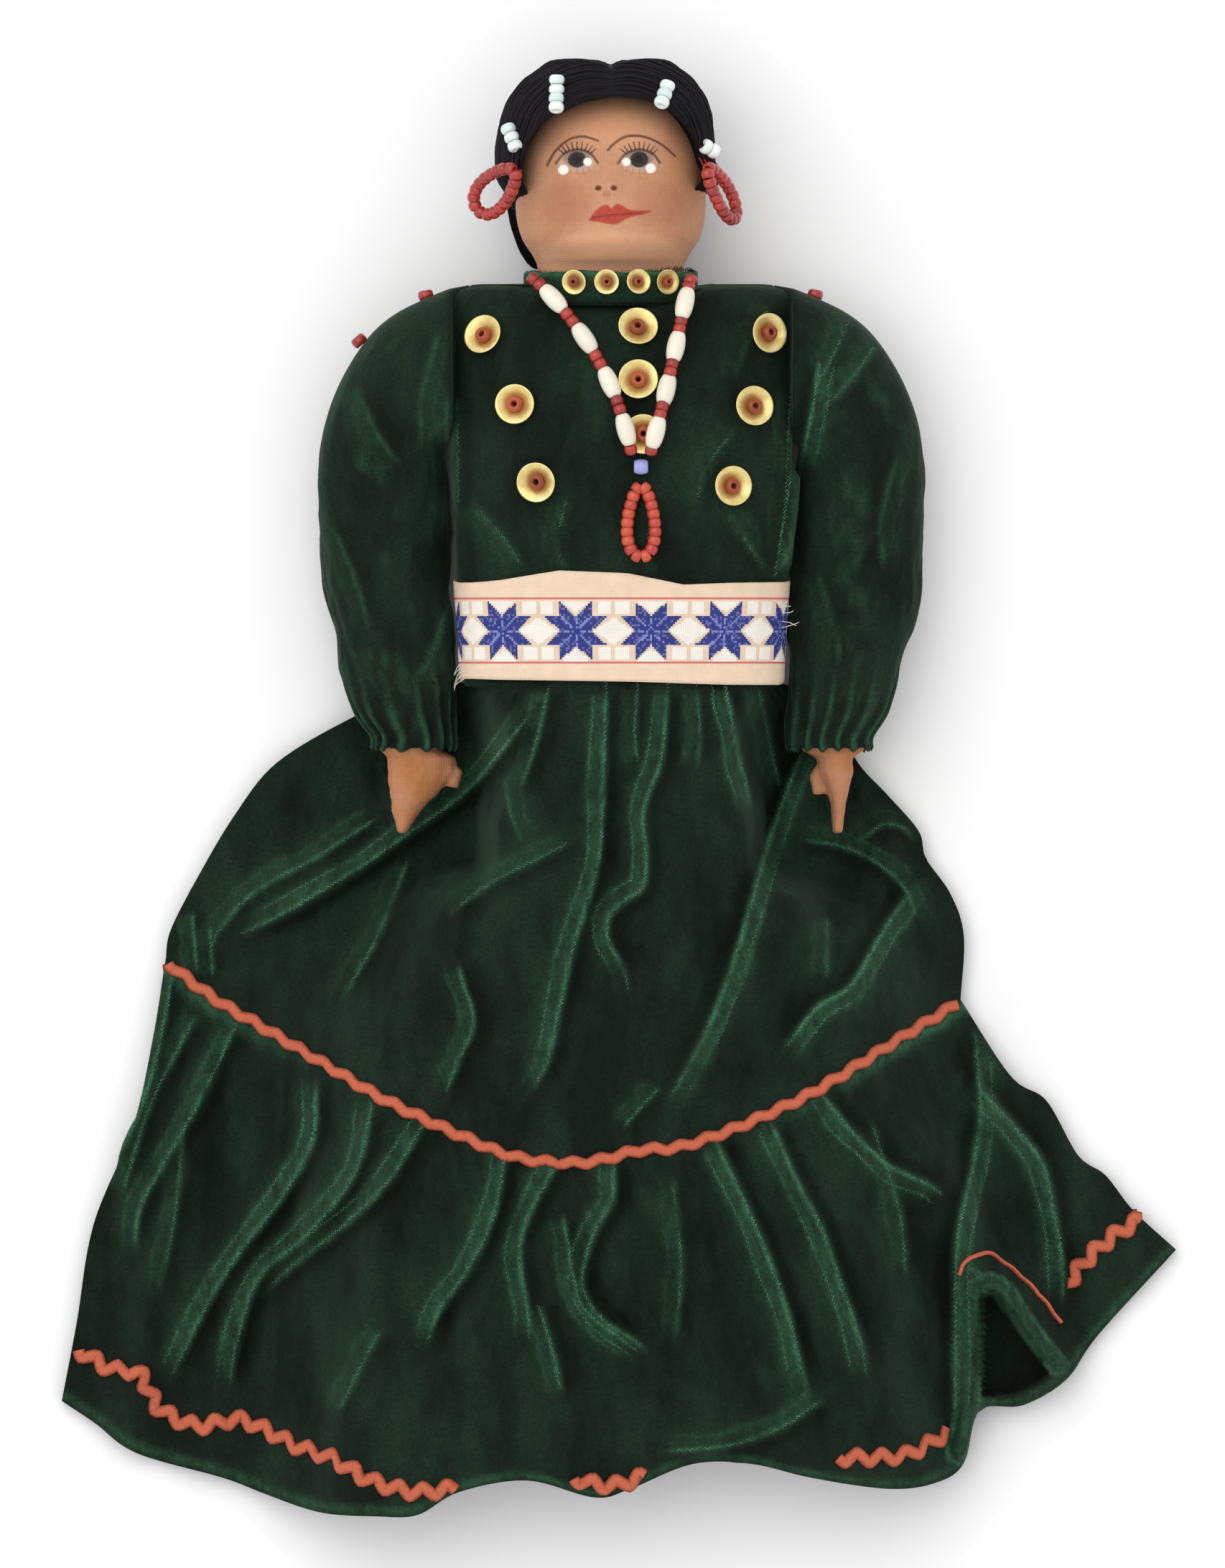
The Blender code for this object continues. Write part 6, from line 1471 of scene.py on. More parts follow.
def raised_shoulders(points):
    """Points with the line of the shoulders lifted to where the photograph has it."""
    reach = np.abs(points[:, 0] - BODY_X)
    share = ease((reach - 12) / 8) * (1 - ease((reach - 30) / 16)) * ease((points[:, 1] - 92) / 14)
    points[:, 1] += 2.2 * share
    return points


class DOLL_OT_blouse(bpy.types.Operator):
    """Builds the velvet blouse, its sleeves and its collar"""

    bl_idname = "doll.blouse"
    bl_label = "Blouse"

    def execute(self, context):
        settings = context.scene.doll_velvet
        velvet = kept_material("cotton_velvet_cut_pile", velvet_material, settings)
        self.body(velvet)
        for name, side in (("left", -1), ("right", 1)):
            self.sleeve(name, side, velvet)
        self.collar(velvet)
        return {"FINISHED"}

    def body(self, velvet):
        sides = 160
        turns = full_turn(sides)
        rings = body_form(sides)
        for y, grow in ((107.6, 0.3), (105.0, 0.1)):
            rings.append(hoop(HEAD_X + np.cos(turns) * (17.3 + grow), y, HEAD_Z + np.sin(turns) * (12.6 + grow)))
        rows = len(rings)
        points = raised_shoulders(np.vstack(rings))
        front = points[:, 2] > BODY_Z
        ridge, crest, hollow = creased(points[:, :2], BLOUSE_CREASES)
        soft = crumple(points[:, [0, 1]] + points[:, [2, 2]] * 0.4, 0.45, 9.0, 5.3)
        calm_ends = np.repeat(ease(np.arange(rows) / 6) * (np.arange(rows) < rows - 8), sides)
        points = pushed(points, rows, sides, (ridge * front + soft) * calm_ends)
        points[:, 2] = np.maximum(points[:, 2], 0)
        piece = mesh_piece("velvet_blouse", points, grid_faces(rows, sides, True), velvet)
        mark(piece, "crest", crest * front * 0.9)
        mark(piece, "hollow", hollow * front)
        thickened(outwards(piece), 0.8 * MM)
        dressed(piece, "doll", "velvet", "blouse_body", fill=0.8)
        open_pile("velvet_blouse_open_pile", piece, BLOUSE_CREASES, "doll")

    def sleeve(self, name, side, velvet):
        sides = 128
        turns = full_turn(sides)
        a, b = oval(turns, 2.2)
        rings, stub = [], []
        for turn, width, depth, lift in curve(FAN_SHARES, 6):
            half_depth = ARMHOLE / 2 * depth
            low = half_depth - FLAT_CUT
            half = (ARMHOLE * width - ARMPIT_RADIUS) / 2
            c, s = math.cos(math.radians(turn)), math.sin(math.radians(turn))
            reach = ARMPIT_RADIUS + (1 + a) * half
            z = low + (BODY_Z - low) * lift + b * half_depth
            rings.append(np.stack([BODY_X + side * (INNER_X + reach * s), ARMPIT_Y + reach * c,
                                   np.maximum(z, 0)], axis=1))
        head, top = rings[0], rings[0][:, 1].max()
        for inset, tall, deep in ((0.3, 1.0, 0.72), (1.0, 1.0, 0.45), (4.2, 0.42, 0.25)):
            stub.insert(0, np.stack([head[:, 0] - side * inset, top - (top - head[:, 1]) * tall,
                                     BODY_Z + (head[:, 2] - BODY_Z) * deep], axis=1))
        tube = curve(((0.012, 1.003, 1.007, 0.0), *TUBE_SHARES), 7)
        for share, width, depth, lift in tube:
            half, half_depth = SLEEVE_WIDTH / 2 * width, SLEEVE_DEPTH / 2 * depth
            z = half_depth - FLAT_CUT + lift * SLEEVE_LIFT + b * half_depth
            rings.append(hoop(BODY_X + side * (INNER_X + half + a * half), ARMPIT_Y - share * SLEEVE_LENGTH,
                              np.maximum(z, 0)))
        rings = stub + rings
        fan_rows = len(rings) - len(tube)
        share = np.concatenate([np.linspace(-0.3, 0, fan_rows, endpoint=False), tube[:, 0]])
        for inset, back in ((0.7, 0.4), (1.3, 3.0)):
            middle = rings[-1].mean(0)
            ring = middle + (rings[len(share) - 1] - middle) * (1 - inset / 9)
            ring[:, 1] += back
            rings.append(ring)
        rows = len(rings)
        share = np.concatenate([share, [1.0, 0.96]])
        grid = np.array(rings)
        near = np.exp(-((grid[..., 1] - ARMPIT_Y) / 13) ** 2)
        near *= np.exp(-(((grid[..., 0] - BODY_X) * side - INNER_X) / 18) ** 2)
        near[:len(stub) + 1] = near[-4:] = 0
        for _ in range(90):
            grid += ((np.roll(grid, 1, 0) + np.roll(grid, -1, 0)) / 2 - grid) * near[..., None] * 0.6
        points = raised_shoulders(grid.reshape(-1, 3))
        down = np.repeat(share, sides)
        round_it = np.tile(turns, rows)
        gathers = np.sin(round_it * CUFF_PLEATS + 1.7 * np.sin(round_it * 3 + side))
        gathered = ease((down - 0.66) / 0.34)
        soft = crumple(np.stack([round_it * 13, points[:, 1]], axis=1), 0.75, 8.5, 2.0 + side)
        slack = 0.75 * np.sin(points[:, 1] / 6.5 + 1.3 * np.sin(round_it * 2 + side)) * ease((down - 0.25) / 0.35)
        offsets = 0.62 * gathers * gathered + soft * (1 - 0.5 * gathered) * ease((down + 0.1) / 0.2)
        offsets += slack * (1 - gathered) * 0.6
        points = pushed(points, rows, sides, offsets * (np.repeat(np.arange(rows), sides) < rows - 1))
        points[:, 2] = np.maximum(points[:, 2], 0)
        below = down > 0.04
        limit = INNER_X - 0.75
        reach = np.maximum((points[:, 0] - BODY_X) * side, np.where(below, limit, 0))
        near_belt = ease((44 - points[:, 1]) / 8) * (1 - ease((reach - INNER_X) / 9)) * below
        points[:, 0] = BODY_X + side * (reach - 1.3 * near_belt)
        # painted highlight on the tops of the cuff's gathers and of the small crumples
        crest = np.clip(gathers, 0, 1) ** 2 * gathered * 0.55 + np.clip(soft - 0.2, 0, 1) * 0.5
        # fold holds the painted highlight of the sleeve's creases
        ridge, fold, hollow = creased(points[:, :2], SLEEVE_CREASES[name])
        front = points[:, 2] > BODY_Z - 6
        points[:, 2] += ridge * front * 0.6
        crest = np.maximum(crest, fold * front)
        points, faces = ended(points, grid_faces(rows, sides, True), rows, sides)
        piece = mesh_piece("velvet_sleeve_" + name, points, faces, velvet)
        mark(piece, "crest", np.concatenate([crest, [0, 0]]))
        mark(piece, "hollow", np.concatenate([hollow * front, [0, 0]]))
        dressed(outwards(piece), "arm_" + name, "velvet", "sleeve_" + name, fill=0.5)
        deep = [crease for crease in SLEEVE_CREASES[name] if crease[0] > 0.9]
        if deep:
            open_pile("velvet_sleeve_open_pile_" + name, piece, deep, "arm_" + name)

    def collar(self, velvet):
        sides = 180
        turns = full_turn(sides)
        wave = 0.35 * np.sin(turns * 7 + 0.8) + 0.2 * np.sin(turns * 17)
        rings = []
        profile = ((0.0, 105.6), (0.1, 107.4), (0.0, 109.2), (0.1, 111.0), (0.0, COLLAR_TOP - 0.35),
                   (-0.5, COLLAR_TOP), (-1.1, COLLAR_TOP - 0.1), (-1.45, COLLAR_TOP - 0.6), (-1.5, 110.0),
                   (-1.45, 107.6), (-1.4, 105.6))
        for grow, y in profile:
            top = ease((y - 110.5) / 1.5)
            rings.append(hoop(HEAD_X + np.cos(turns) * (COLLAR_HALF_WIDTH + grow), y + wave * top * 0.6,
                              HEAD_Z + np.sin(turns) * (COLLAR_HALF_DEPTH + grow)))
        points = np.vstack(rings)
        rows = len(rings)
        # painted highlight, row by row, strongest along the collar's rolled top edge
        crest = np.repeat([0.05, 0.1, 0.1, 0.3, 0.9, 0.6, 0.2, 0, 0, 0, 0], sides)
        piece = mesh_piece("velvet_collar", points, np.vstack([
            grid_faces(rows, sides, True),
            [[(rows - 1) * sides + i, i, (i + 1) % sides, (rows - 1) * sides + (i + 1) % sides]
             for i in range(sides)]]), velvet)
        mark(piece, "crest", crest)
        dressed(outwards(piece), "doll", "velvet", "collar_band", fill=0.3)
        self.fray(velvet)

    def fray(self, velvet):
        """Cut threads that stand out of the collar's edge, mostly at its right side."""
        spots = []
        for i in range(190):
            turn = math.radians(8 + 164 * ((i * 0.6180339) % 1.0))
            side_bias = 0.35 + 0.9 * math.exp(-((math.degrees(turn) - 38) / 22) ** 2)
            pick = (i * 0.754877) % 1.0
            reach = side_bias * (0.5 + 0.8 * pick)
            root = np.array([HEAD_X + math.cos(turn) * (COLLAR_HALF_WIDTH - 0.5), COLLAR_TOP - 0.2,
                             HEAD_Z + math.sin(turn) * (COLLAR_HALF_DEPTH - 0.5)])
            lean = (((i * 0.5698403) % 1.0) - 0.5) * 1.6
            out = np.array([math.cos(turn) * 0.35 + lean * 0.4, 1.0, math.sin(turn) * 0.35])
            spots.append([root, root + out * reach * 0.6, root + out * reach + np.array([lean * 0.3, 0, 0.1])])
        dressed(strands("collar_frayed_threads", spots, 0.09, 0.15, 3, velvet, spacing=0.4), "doll", "velvet")


def stroke(paint, places, colour, half_width, soft, line, strength=1.0, taper=0.0):
    """Lays a brush stroke over the paint that points carry."""
    off, share = near_line(places, curve(line, 6) if len(line) > 2 else np.asarray(line, float))
    width = half_width * (1 - taper * share)
    over = (1 - ease((np.abs(off) - width) / soft)) * strength
    lay(paint, colour, over)


def lay(paint, colour, over):
    """Mixes a colour over the paint by a share for each point."""
    alpha = paint[:, 3] + over * (1 - paint[:, 3])
    mixed = over / np.maximum(alpha, 1e-6)
    paint[:, :3] += (np.array(linear(colour)) - paint[:, :3]) * mixed[:, None]
    paint[:, 3] = alpha


def spot(paint, places, colour, x, y, half_x, half_y, soft, strength=1.0):
    off = np.hypot((places[:, 0] - x) / half_x, (places[:, 1] - y) / half_y)
    lay(paint, colour, (1 - ease((off - 1) / (soft / half_x) + 0.5)) * strength)


def painted_face(places, front):
    """The paint on each point of the head, as colour and cover, with painted light on the forehead, the chin and the
    right temple.
    """
    paint = np.zeros((len(places), 4))
    # painted light: a paler forehead and chin, laid in to even out the head's shading
    spot(paint, places, "#dfa27a", -1.0, 147.5, 16, 8, 7.0, 0.6)
    spot(paint, places, "#e0ab86", -1.5, 115.0, 17, 6, 6.0, 0.6)
    spot(paint, places, "#a2584a", -11.0, 127.0, 6, 5, 4.5, 0.30)
    spot(paint, places, "#a2584a", 8.5, 127.0, 6, 5, 4.5, 0.30)
    # painted light: a warmer orange at the right temple, where light falls on that side of the face
    spot(paint, places, "#c8814f", 14.5, 138.0, 5, 9, 4.0, 0.30)
    for x, y in EYES:
        spot(paint, places, "#cfc0b4", x, y - 0.5, 4.0, 2.1, 0.9, 0.30)
        spot(paint, places, "#59605f", x, y + 0.6, 3.0, 1.9, 1.1, 0.55)
        spot(paint, places, DARK_PAINT, x, y + 0.2, 2.0, 1.75, 0.4, 1.0)
        spot(paint, places, "#0d1012", x, y + 0.3, 1.05, 0.95, 0.35, 1.0)
        lid = [(x - 4.6, y - 0.6), (x - 2.8, y + 1.5), (x, y + 2.4), (x + 2.8, y + 1.6), (x + 4.5, y - 0.5)]
        stroke(paint, places, "#332825", 0.15, 0.25, lid, 0.8)
        for k in range(9):
            turn = math.radians(150 - k * 15)
            root = (x + 3.2 * math.cos(turn), y + 0.6 + 1.7 * math.sin(turn))
            tip = (root[0] + 1.5 * math.cos(turn), root[1] + 1.5 * math.sin(turn) + 0.3)
            stroke(paint, places, "#262423", 0.13, 0.14, (root, tip), 0.9, 0.5)
        for k in range(5):
            root = (x - 2.6 + k * 1.3, y - 1.7 - 0.25 * math.cos(k - 2))
            stroke(paint, places, "#54403a", 0.07, 0.12, (root, (root[0] + 0.12 * (k - 2), root[1] - 0.9)), 0.5, 0.5)
    for x, y, size in EYE_WHITES:
        spot(paint, places, WHITE_PAINT, x, y, size, size * 0.95, 0.3, 1.0)
    for colour, half_width, soft, line in FACE_STROKES:
        stroke(paint, places, colour, half_width, soft, line, 0.85, 0.25)
    for x, y in NOSTRILS:
        spot(paint, places, "#4a2517", x, y, 0.72, 0.58, 0.4, 0.95)
    stroke(paint, places, "#8a4a38", 0.2, 0.5, ((-2.6, 129.4), (-3.2, 129.0), (-2.2, 128.9)), 0.35)
    outline = curve([*MOUTH, MOUTH[0]], 6)
    off, _ = near_line(places, outline)
    filled = np.where(inside(places, outline.tolist()), 1.0, 1 - ease(np.abs(off) / 0.35))
    lay(paint, RED_PAINT, filled * 0.92)
    stroke(paint, places, "#84231f", 0.13, 0.3, ((-5.7, 124.0), (-1.8, 124.6), (5.2, 124.9)), 0.6)
    paint[:, 3] *= front
    return paint


class DOLL_OT_head(bpy.types.Operator):
    """Builds the head with its painted face"""

    bl_idname = "doll.head"
    bl_label = "Head"

    def execute(self, context):
        settings = context.scene.doll_skin
        cotton = cotton_material("brown_cotton_plain_weave_painted", settings.cotton, settings.worn,
                                 settings.thread, painted=True)
        columns = 330
        turns = np.concatenate([np.linspace(math.radians(8), math.radians(172), 276, endpoint=False),
                                np.linspace(math.radians(172), math.radians(368), 54, endpoint=False)])
        a, b = np.cos(turns), np.sin(turns)
        table = curve(HEAD_SHARES, 12)
        rows = 210
        shares = np.linspace(0, 1, rows)
        spread = np.stack([np.interp(shares * table[-1, 0], table[:, 0], table[:, k]) for k in range(4)], axis=1)
        points = np.vstack([hoop(HEAD_X + a * HEAD_HALF_WIDTH * width, NECK_FOOT + share * HEAD_LENGTH,
                                 HEAD_Z + b * HEAD_HALF_DEPTH * np.where(b > 0, front, back))
                            for share, width, front, back in spread])
        up = ease((points[:, 2] - HEAD_Z) / 8)
        for x, y, half_x, half_y, rise in FACE_RELIEF:
            off = ((points[:, 0] - x) / half_x) ** 2 + ((points[:, 1] - y) / half_y) ** 2
            points[:, 2] += rise * np.exp(-off) * up
        paint = painted_face(points[:, :2], ease((points[:, 2] - HEAD_Z - 2) / 4))
        points, faces = ended(points, grid_faces(rows, columns, True), rows, columns)
        piece = mesh_piece("cotton_head", points, faces, cotton)
        layer = piece.data.color_attributes.new("paint", "FLOAT_COLOR", "POINT")
        layer.data.foreach_set("color", np.vstack([paint, np.zeros((2, 4))]).astype(np.float32).ravel())
        dressed(outwards(piece, merge=False), "head", "cotton_skin", "head", fill=0.9)
        return {"FINISHED"}


class DOLL_OT_stuffing(bpy.types.Operator):
    """Builds the stuffed body, arms and legs"""

    bl_idname = "doll.stuffing"
    bl_label = "Body, arms and legs"

    def execute(self, context):
        settings = context.scene.doll_skin
        cotton = cotton_material("brown_cotton_plain_weave", settings.cotton, settings.worn, settings.thread)
        hands = cotton_material("orange_brown_cotton_plain_weave", settings.hand, settings.worn,
                                settings.thread)
        body = softened("cotton_body", "stuffed_body", 1.3, 6, cotton)
        for v in body.data.vertices:
            x, y, z = v.co / MM
            at_belt = ease((abs(x - BODY_X) - 22) / 6) * (1 - ease((abs(y - 20) - 7) / 4)) * ease((z - 12) / 6)
            v.co.z -= BELT_TRIM * MM * float(at_belt)
        dressed(wrinkle(body, 0.25, 8.0), "doll", "cotton_skin", "stuffed_body", fill=0.8)
        for name in ("left", "right"):
            arm = softened("cotton_arm_" + name, "arm_" + name, 0.55, 8, hands)
            dressed(wrinkle(arm, 0.22, 4.5, seed=2.0), "arm_" + name, "cotton_skin", "arm_" + name, fill=0.8)
            leg = softened("cotton_leg_" + name, "leg_" + name, 0.9, 6, cotton)
            for v in leg.data.vertices:
                v.co.z *= LEG_FLATNESS
            dressed(wrinkle(leg, 0.3, 7.0, seed=4.0), "leg_" + name, "cotton_skin", "leg_" + name, fill=0.8)
        return {"FINISHED"}


class DOLL_OT_moccasins(bpy.types.Operator):
    """Builds the suede moccasins with their stitched seam"""

    bl_idname = "doll.moccasins"
    bl_label = "Moccasins"

    def execute(self, context):
        suede = suede_material(context.scene.doll_leather)
        wool = fibre_material("white_cotton_thread", context.scene.doll_hair.wool, (0.9, 0.88, 0.8), 0.0006,
                              0.9)
        for name in ("left", "right"):
            shoe = softened("suede_moccasin_" + name, "moccasin_" + name, 0.55, 5, suede)
            dressed(wrinkle(shoe, 0.2, 3.0, seed=6.0), "leg_" + name, "suede", "moccasin_" + name, fill=0.7)
            low, high, middle = box_of("moccasin_" + name)
            tree = tree_of(shoe)
            lines = []
            for k in range(22):
                turn = 2 * math.pi * k / 22
                x = middle[0] + math.cos(turn) * (high[0] - low[0]) * 0.30
                z = middle[2] + 1.0 + math.sin(turn) * (high[2] - low[2]) * 0.30
                hit = tree.ray_cast(Vector((x * MM, (low[1] - 10) * MM, z * MM)), Vector((0, 1, 0)))
                if hit[0] is None:
                    continue
                ahead = np.array([-math.sin(turn), 0, math.cos(turn)]) * 0.75
                seat = np.array(hit[0]) / MM + np.array([0, -0.12, 0])
                lines.append([seat - ahead, seat + np.array([0, -0.1, 0]), seat + ahead])
            if lines:
                stitches = strands("moccasin_stitches_" + name, lines, 0.2, 0.05, 5, wool, spacing=0.4)
                dressed(stitches, "leg_" + name, "wool_tie")
        return {"FINISHED"}


class DOLL_OT_hair(bpy.types.Operator):
    """Builds the floss cap with its parting, the bun and its wool tie"""

    bl_idname = "doll.hair"
    bl_label = "Hair"

    def execute(self, context):
        settings = context.scene.doll_hair
        floss = fibre_material("black_cotton_floss", settings.floss, settings.lit, 0.0007, 0.72, 0.2)
        wool = fibre_material("white_wool_yarn", settings.wool, (0.93, 0.9, 0.84), 0.0006, 0.9)
        cap = softened("floss_cap", "hair_cap", 0.7, 4, floss, self.face_opening())
        for v in cap.data.vertices:
            out = v.co.x / MM - HEAD_X
            fall = np.interp(abs(out), CROWN_REACH, CROWN_FALL)
            low = 1 - float(ease((v.co.z / MM - 20) / 13))
            pull = (RIGHT_PULL * MM * max(0.0, min(1.0, (out - 10) / 13))
                    * float(ease((v.co.y / MM - PULL_Y) / 6)))
            v.co.x -= pull * (1 - float(ease((v.co.z / MM - 25) / 11)))
            v.co.y -= fall * MM * float(ease((v.co.y / MM - CROWN_Y) / 12)) * low
            drawn = float(ease((TEMPLE_Y - v.co.y / MM) / 7))
            v.co.x += (HEAD_X * MM - v.co.x) * (DRAW_LEFT if v.co.x < HEAD_X * MM else DRAW_RIGHT) * drawn
            v.co.z -= DRAW_DOWN * MM * drawn * max(0.0, min(1.0, (v.co.z / MM - 8) / 10))
            parted = math.exp(-((v.co.x / MM - HEAD_X) / PARTING_WIDTH) ** 2)
            v.co.y -= PARTING_DEPTH * MM * parted * float(ease((v.co.y / MM - PARTING_Y) / 4))
        dressed(cap, "head", "hair_floss", "hair_cap", fill=0.7)
        tree = tree_of(cap)
        radius = settings.strand / MM
        centre = np.array([HEAD_X, 129.0, HEAD_Z])
        lines = []
        for side in (-1, 1):
            for n in range(settings.strands):
                tilt = math.radians(66 - 128 * (n + 0.5 + 0.35 * math.sin(n * 2.4 + side)) / settings.strands)
                line = []
                for k in range(34):
                    turn = math.radians(0.2 + 115 * k / 33)
                    way = Vector((side * math.sin(turn) * math.cos(tilt), math.cos(turn) * math.cos(tilt),
                                  math.sin(tilt)))
                    hit = tree.ray_cast(Vector((centre + np.array(way) * 60) * MM), -way)
                    if hit[0] is None or (np.array(hit[0]) / MM - centre) @ np.array(way) < 8:
                        break
                    place = np.array(hit[0]) / MM
                    notch = 0.25 * math.exp(-((place[0] - HEAD_X) / 1.2) ** 2)
                    line.append(place + np.array(hit[1]) * (radius * (0.1 + 0.3 * math.sin(n * 1.9)) - notch))
                if len(line) > 5:
                    lines.append(curve(line, 2))
        lines += self.side_lines()
        cap_strands = strands("floss_cap_strands", lines, radius, 0.5, 11, floss, spacing=1.3)
        dressed(cap_strands, "head", "hair_floss")
        self.bun(floss, wool, radius)
        return {"FINISHED"}

    def face_opening(self):
        """A cutter that opens the cap round the face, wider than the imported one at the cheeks."""
        sides = 72
        a, b = oval(full_turn(sides), 2.4)
        across = OPENING_X + a * np.where(a < 0, OPENING_LEFT, OPENING_RIGHT)
        lock = LOCK_DEPTH * np.exp(-((across - LOCK_X) / LOCK_WIDTH) ** 2) * (b > 0)
        up = OPENING_Y + b * OPENING_UP - lock
        rings = [np.stack([across, up, np.full(sides, z)], axis=1) for z in (25.0, 60.0)]
        points, faces = ended(np.vstack(rings), grid_faces(2, sides, True), 2, sides)
        return outwards(mesh_piece("face_opening", points, faces))

    def side_lines(self):
        """Strands that run behind the jaw to the bun, at each side."""
        lines = []
        for n in range(70):
            spread, depth = (n % 10) / 9, (n // 10) / 7
            lines.append(curve([
                (-24.3 + 2.2 * spread, 134, 22 - 16 * depth), (-24.1 + 2.6 * spread, 127, 17 - 12 * depth),
                (-22.6 + 3.6 * spread, 120, 12.5 - 9 * depth), (-18.6 + 4.0 * spread, 113.5, 9 - 6 * depth),
                (-11.0 + 3 * spread, 114.0 + 3 * spread, 6.0 - 3 * depth)], 4))
            if n % 2:
                lines.append(curve([
                    (19.5 - 2 * spread, 134, 14 - 8 * depth), (17.0 - 2 * spread, 128, 10 - 6 * depth),
                    (12.0, 124 + spread, 7 - 4 * depth), (6.0, 126.0 + 2 * spread, 5.0 - 2 * depth)], 4))
        return lines

    def bun(self, floss, wool, radius):
        """The bun at the nape, with its strands and the wraps of its tie."""
        dressed(softened("floss_bun", "hair_bun", 0.6, 3, floss), "head", "hair_floss", "hair_bun", fill=0.7)
        low, high, middle = box_of("hair_bun")
        tree = tree_of("hair_bun")
        lines = []
        for k in range(64):
            turn = 2 * math.pi * k / 64
            line = []
            for share in np.linspace(0.03, 0.97, 26):
                y = low[1] + (high[1] - low[1]) * share
                start = np.array([middle[0], y, middle[2]])
                hit = tree.ray_cast(Vector(start * MM), Vector((math.cos(turn), 0, math.sin(turn))))
                if hit[0] is not None and hit[0].z / MM > 0.5:
                    line.append(np.array(hit[0]) / MM)
            if len(line) > 4:
                lines.append(np.array(line))
        bun_strands = strands("floss_bun_strands", lines, radius * 0.9, 0.35, 13, floss, spacing=1.0)
        dressed(bun_strands, "head", "hair_floss")
        low, high, centre = box_of("bun_tie")
        yarn = 0.35
        across, _, up = (high - low) / 2 - yarn
        turns = np.linspace(0, 2 * math.pi * 5, 160)
        run = np.linspace(low[1] + yarn, high[1] - yarn, 160)
        wrap = np.stack([centre[0] + across * np.cos(turns), run, centre[2] + up * np.sin(turns)], axis=1)
        tie = strands("wool_tie_wraps", [wrap], 0.36, 0.05, 17, wool, spacing=0.7)
        dressed(tie, "head", "wool_tie", "bun_tie")


def mid_height(tree, x, y):
    """The height of the middle of a CAD chain over a place."""
    down = from_above(tree, x, y)[0]
    up = tree.ray_cast(Vector((x * MM, y * MM, -0.05)), Vector((0, 0, 1)))[0]
    if down is None or up is None:
        return tree.find_nearest(Vector((x * MM, y * MM, 0.04)))[0].z / MM
    return (down.z + up.z) / 2 / MM


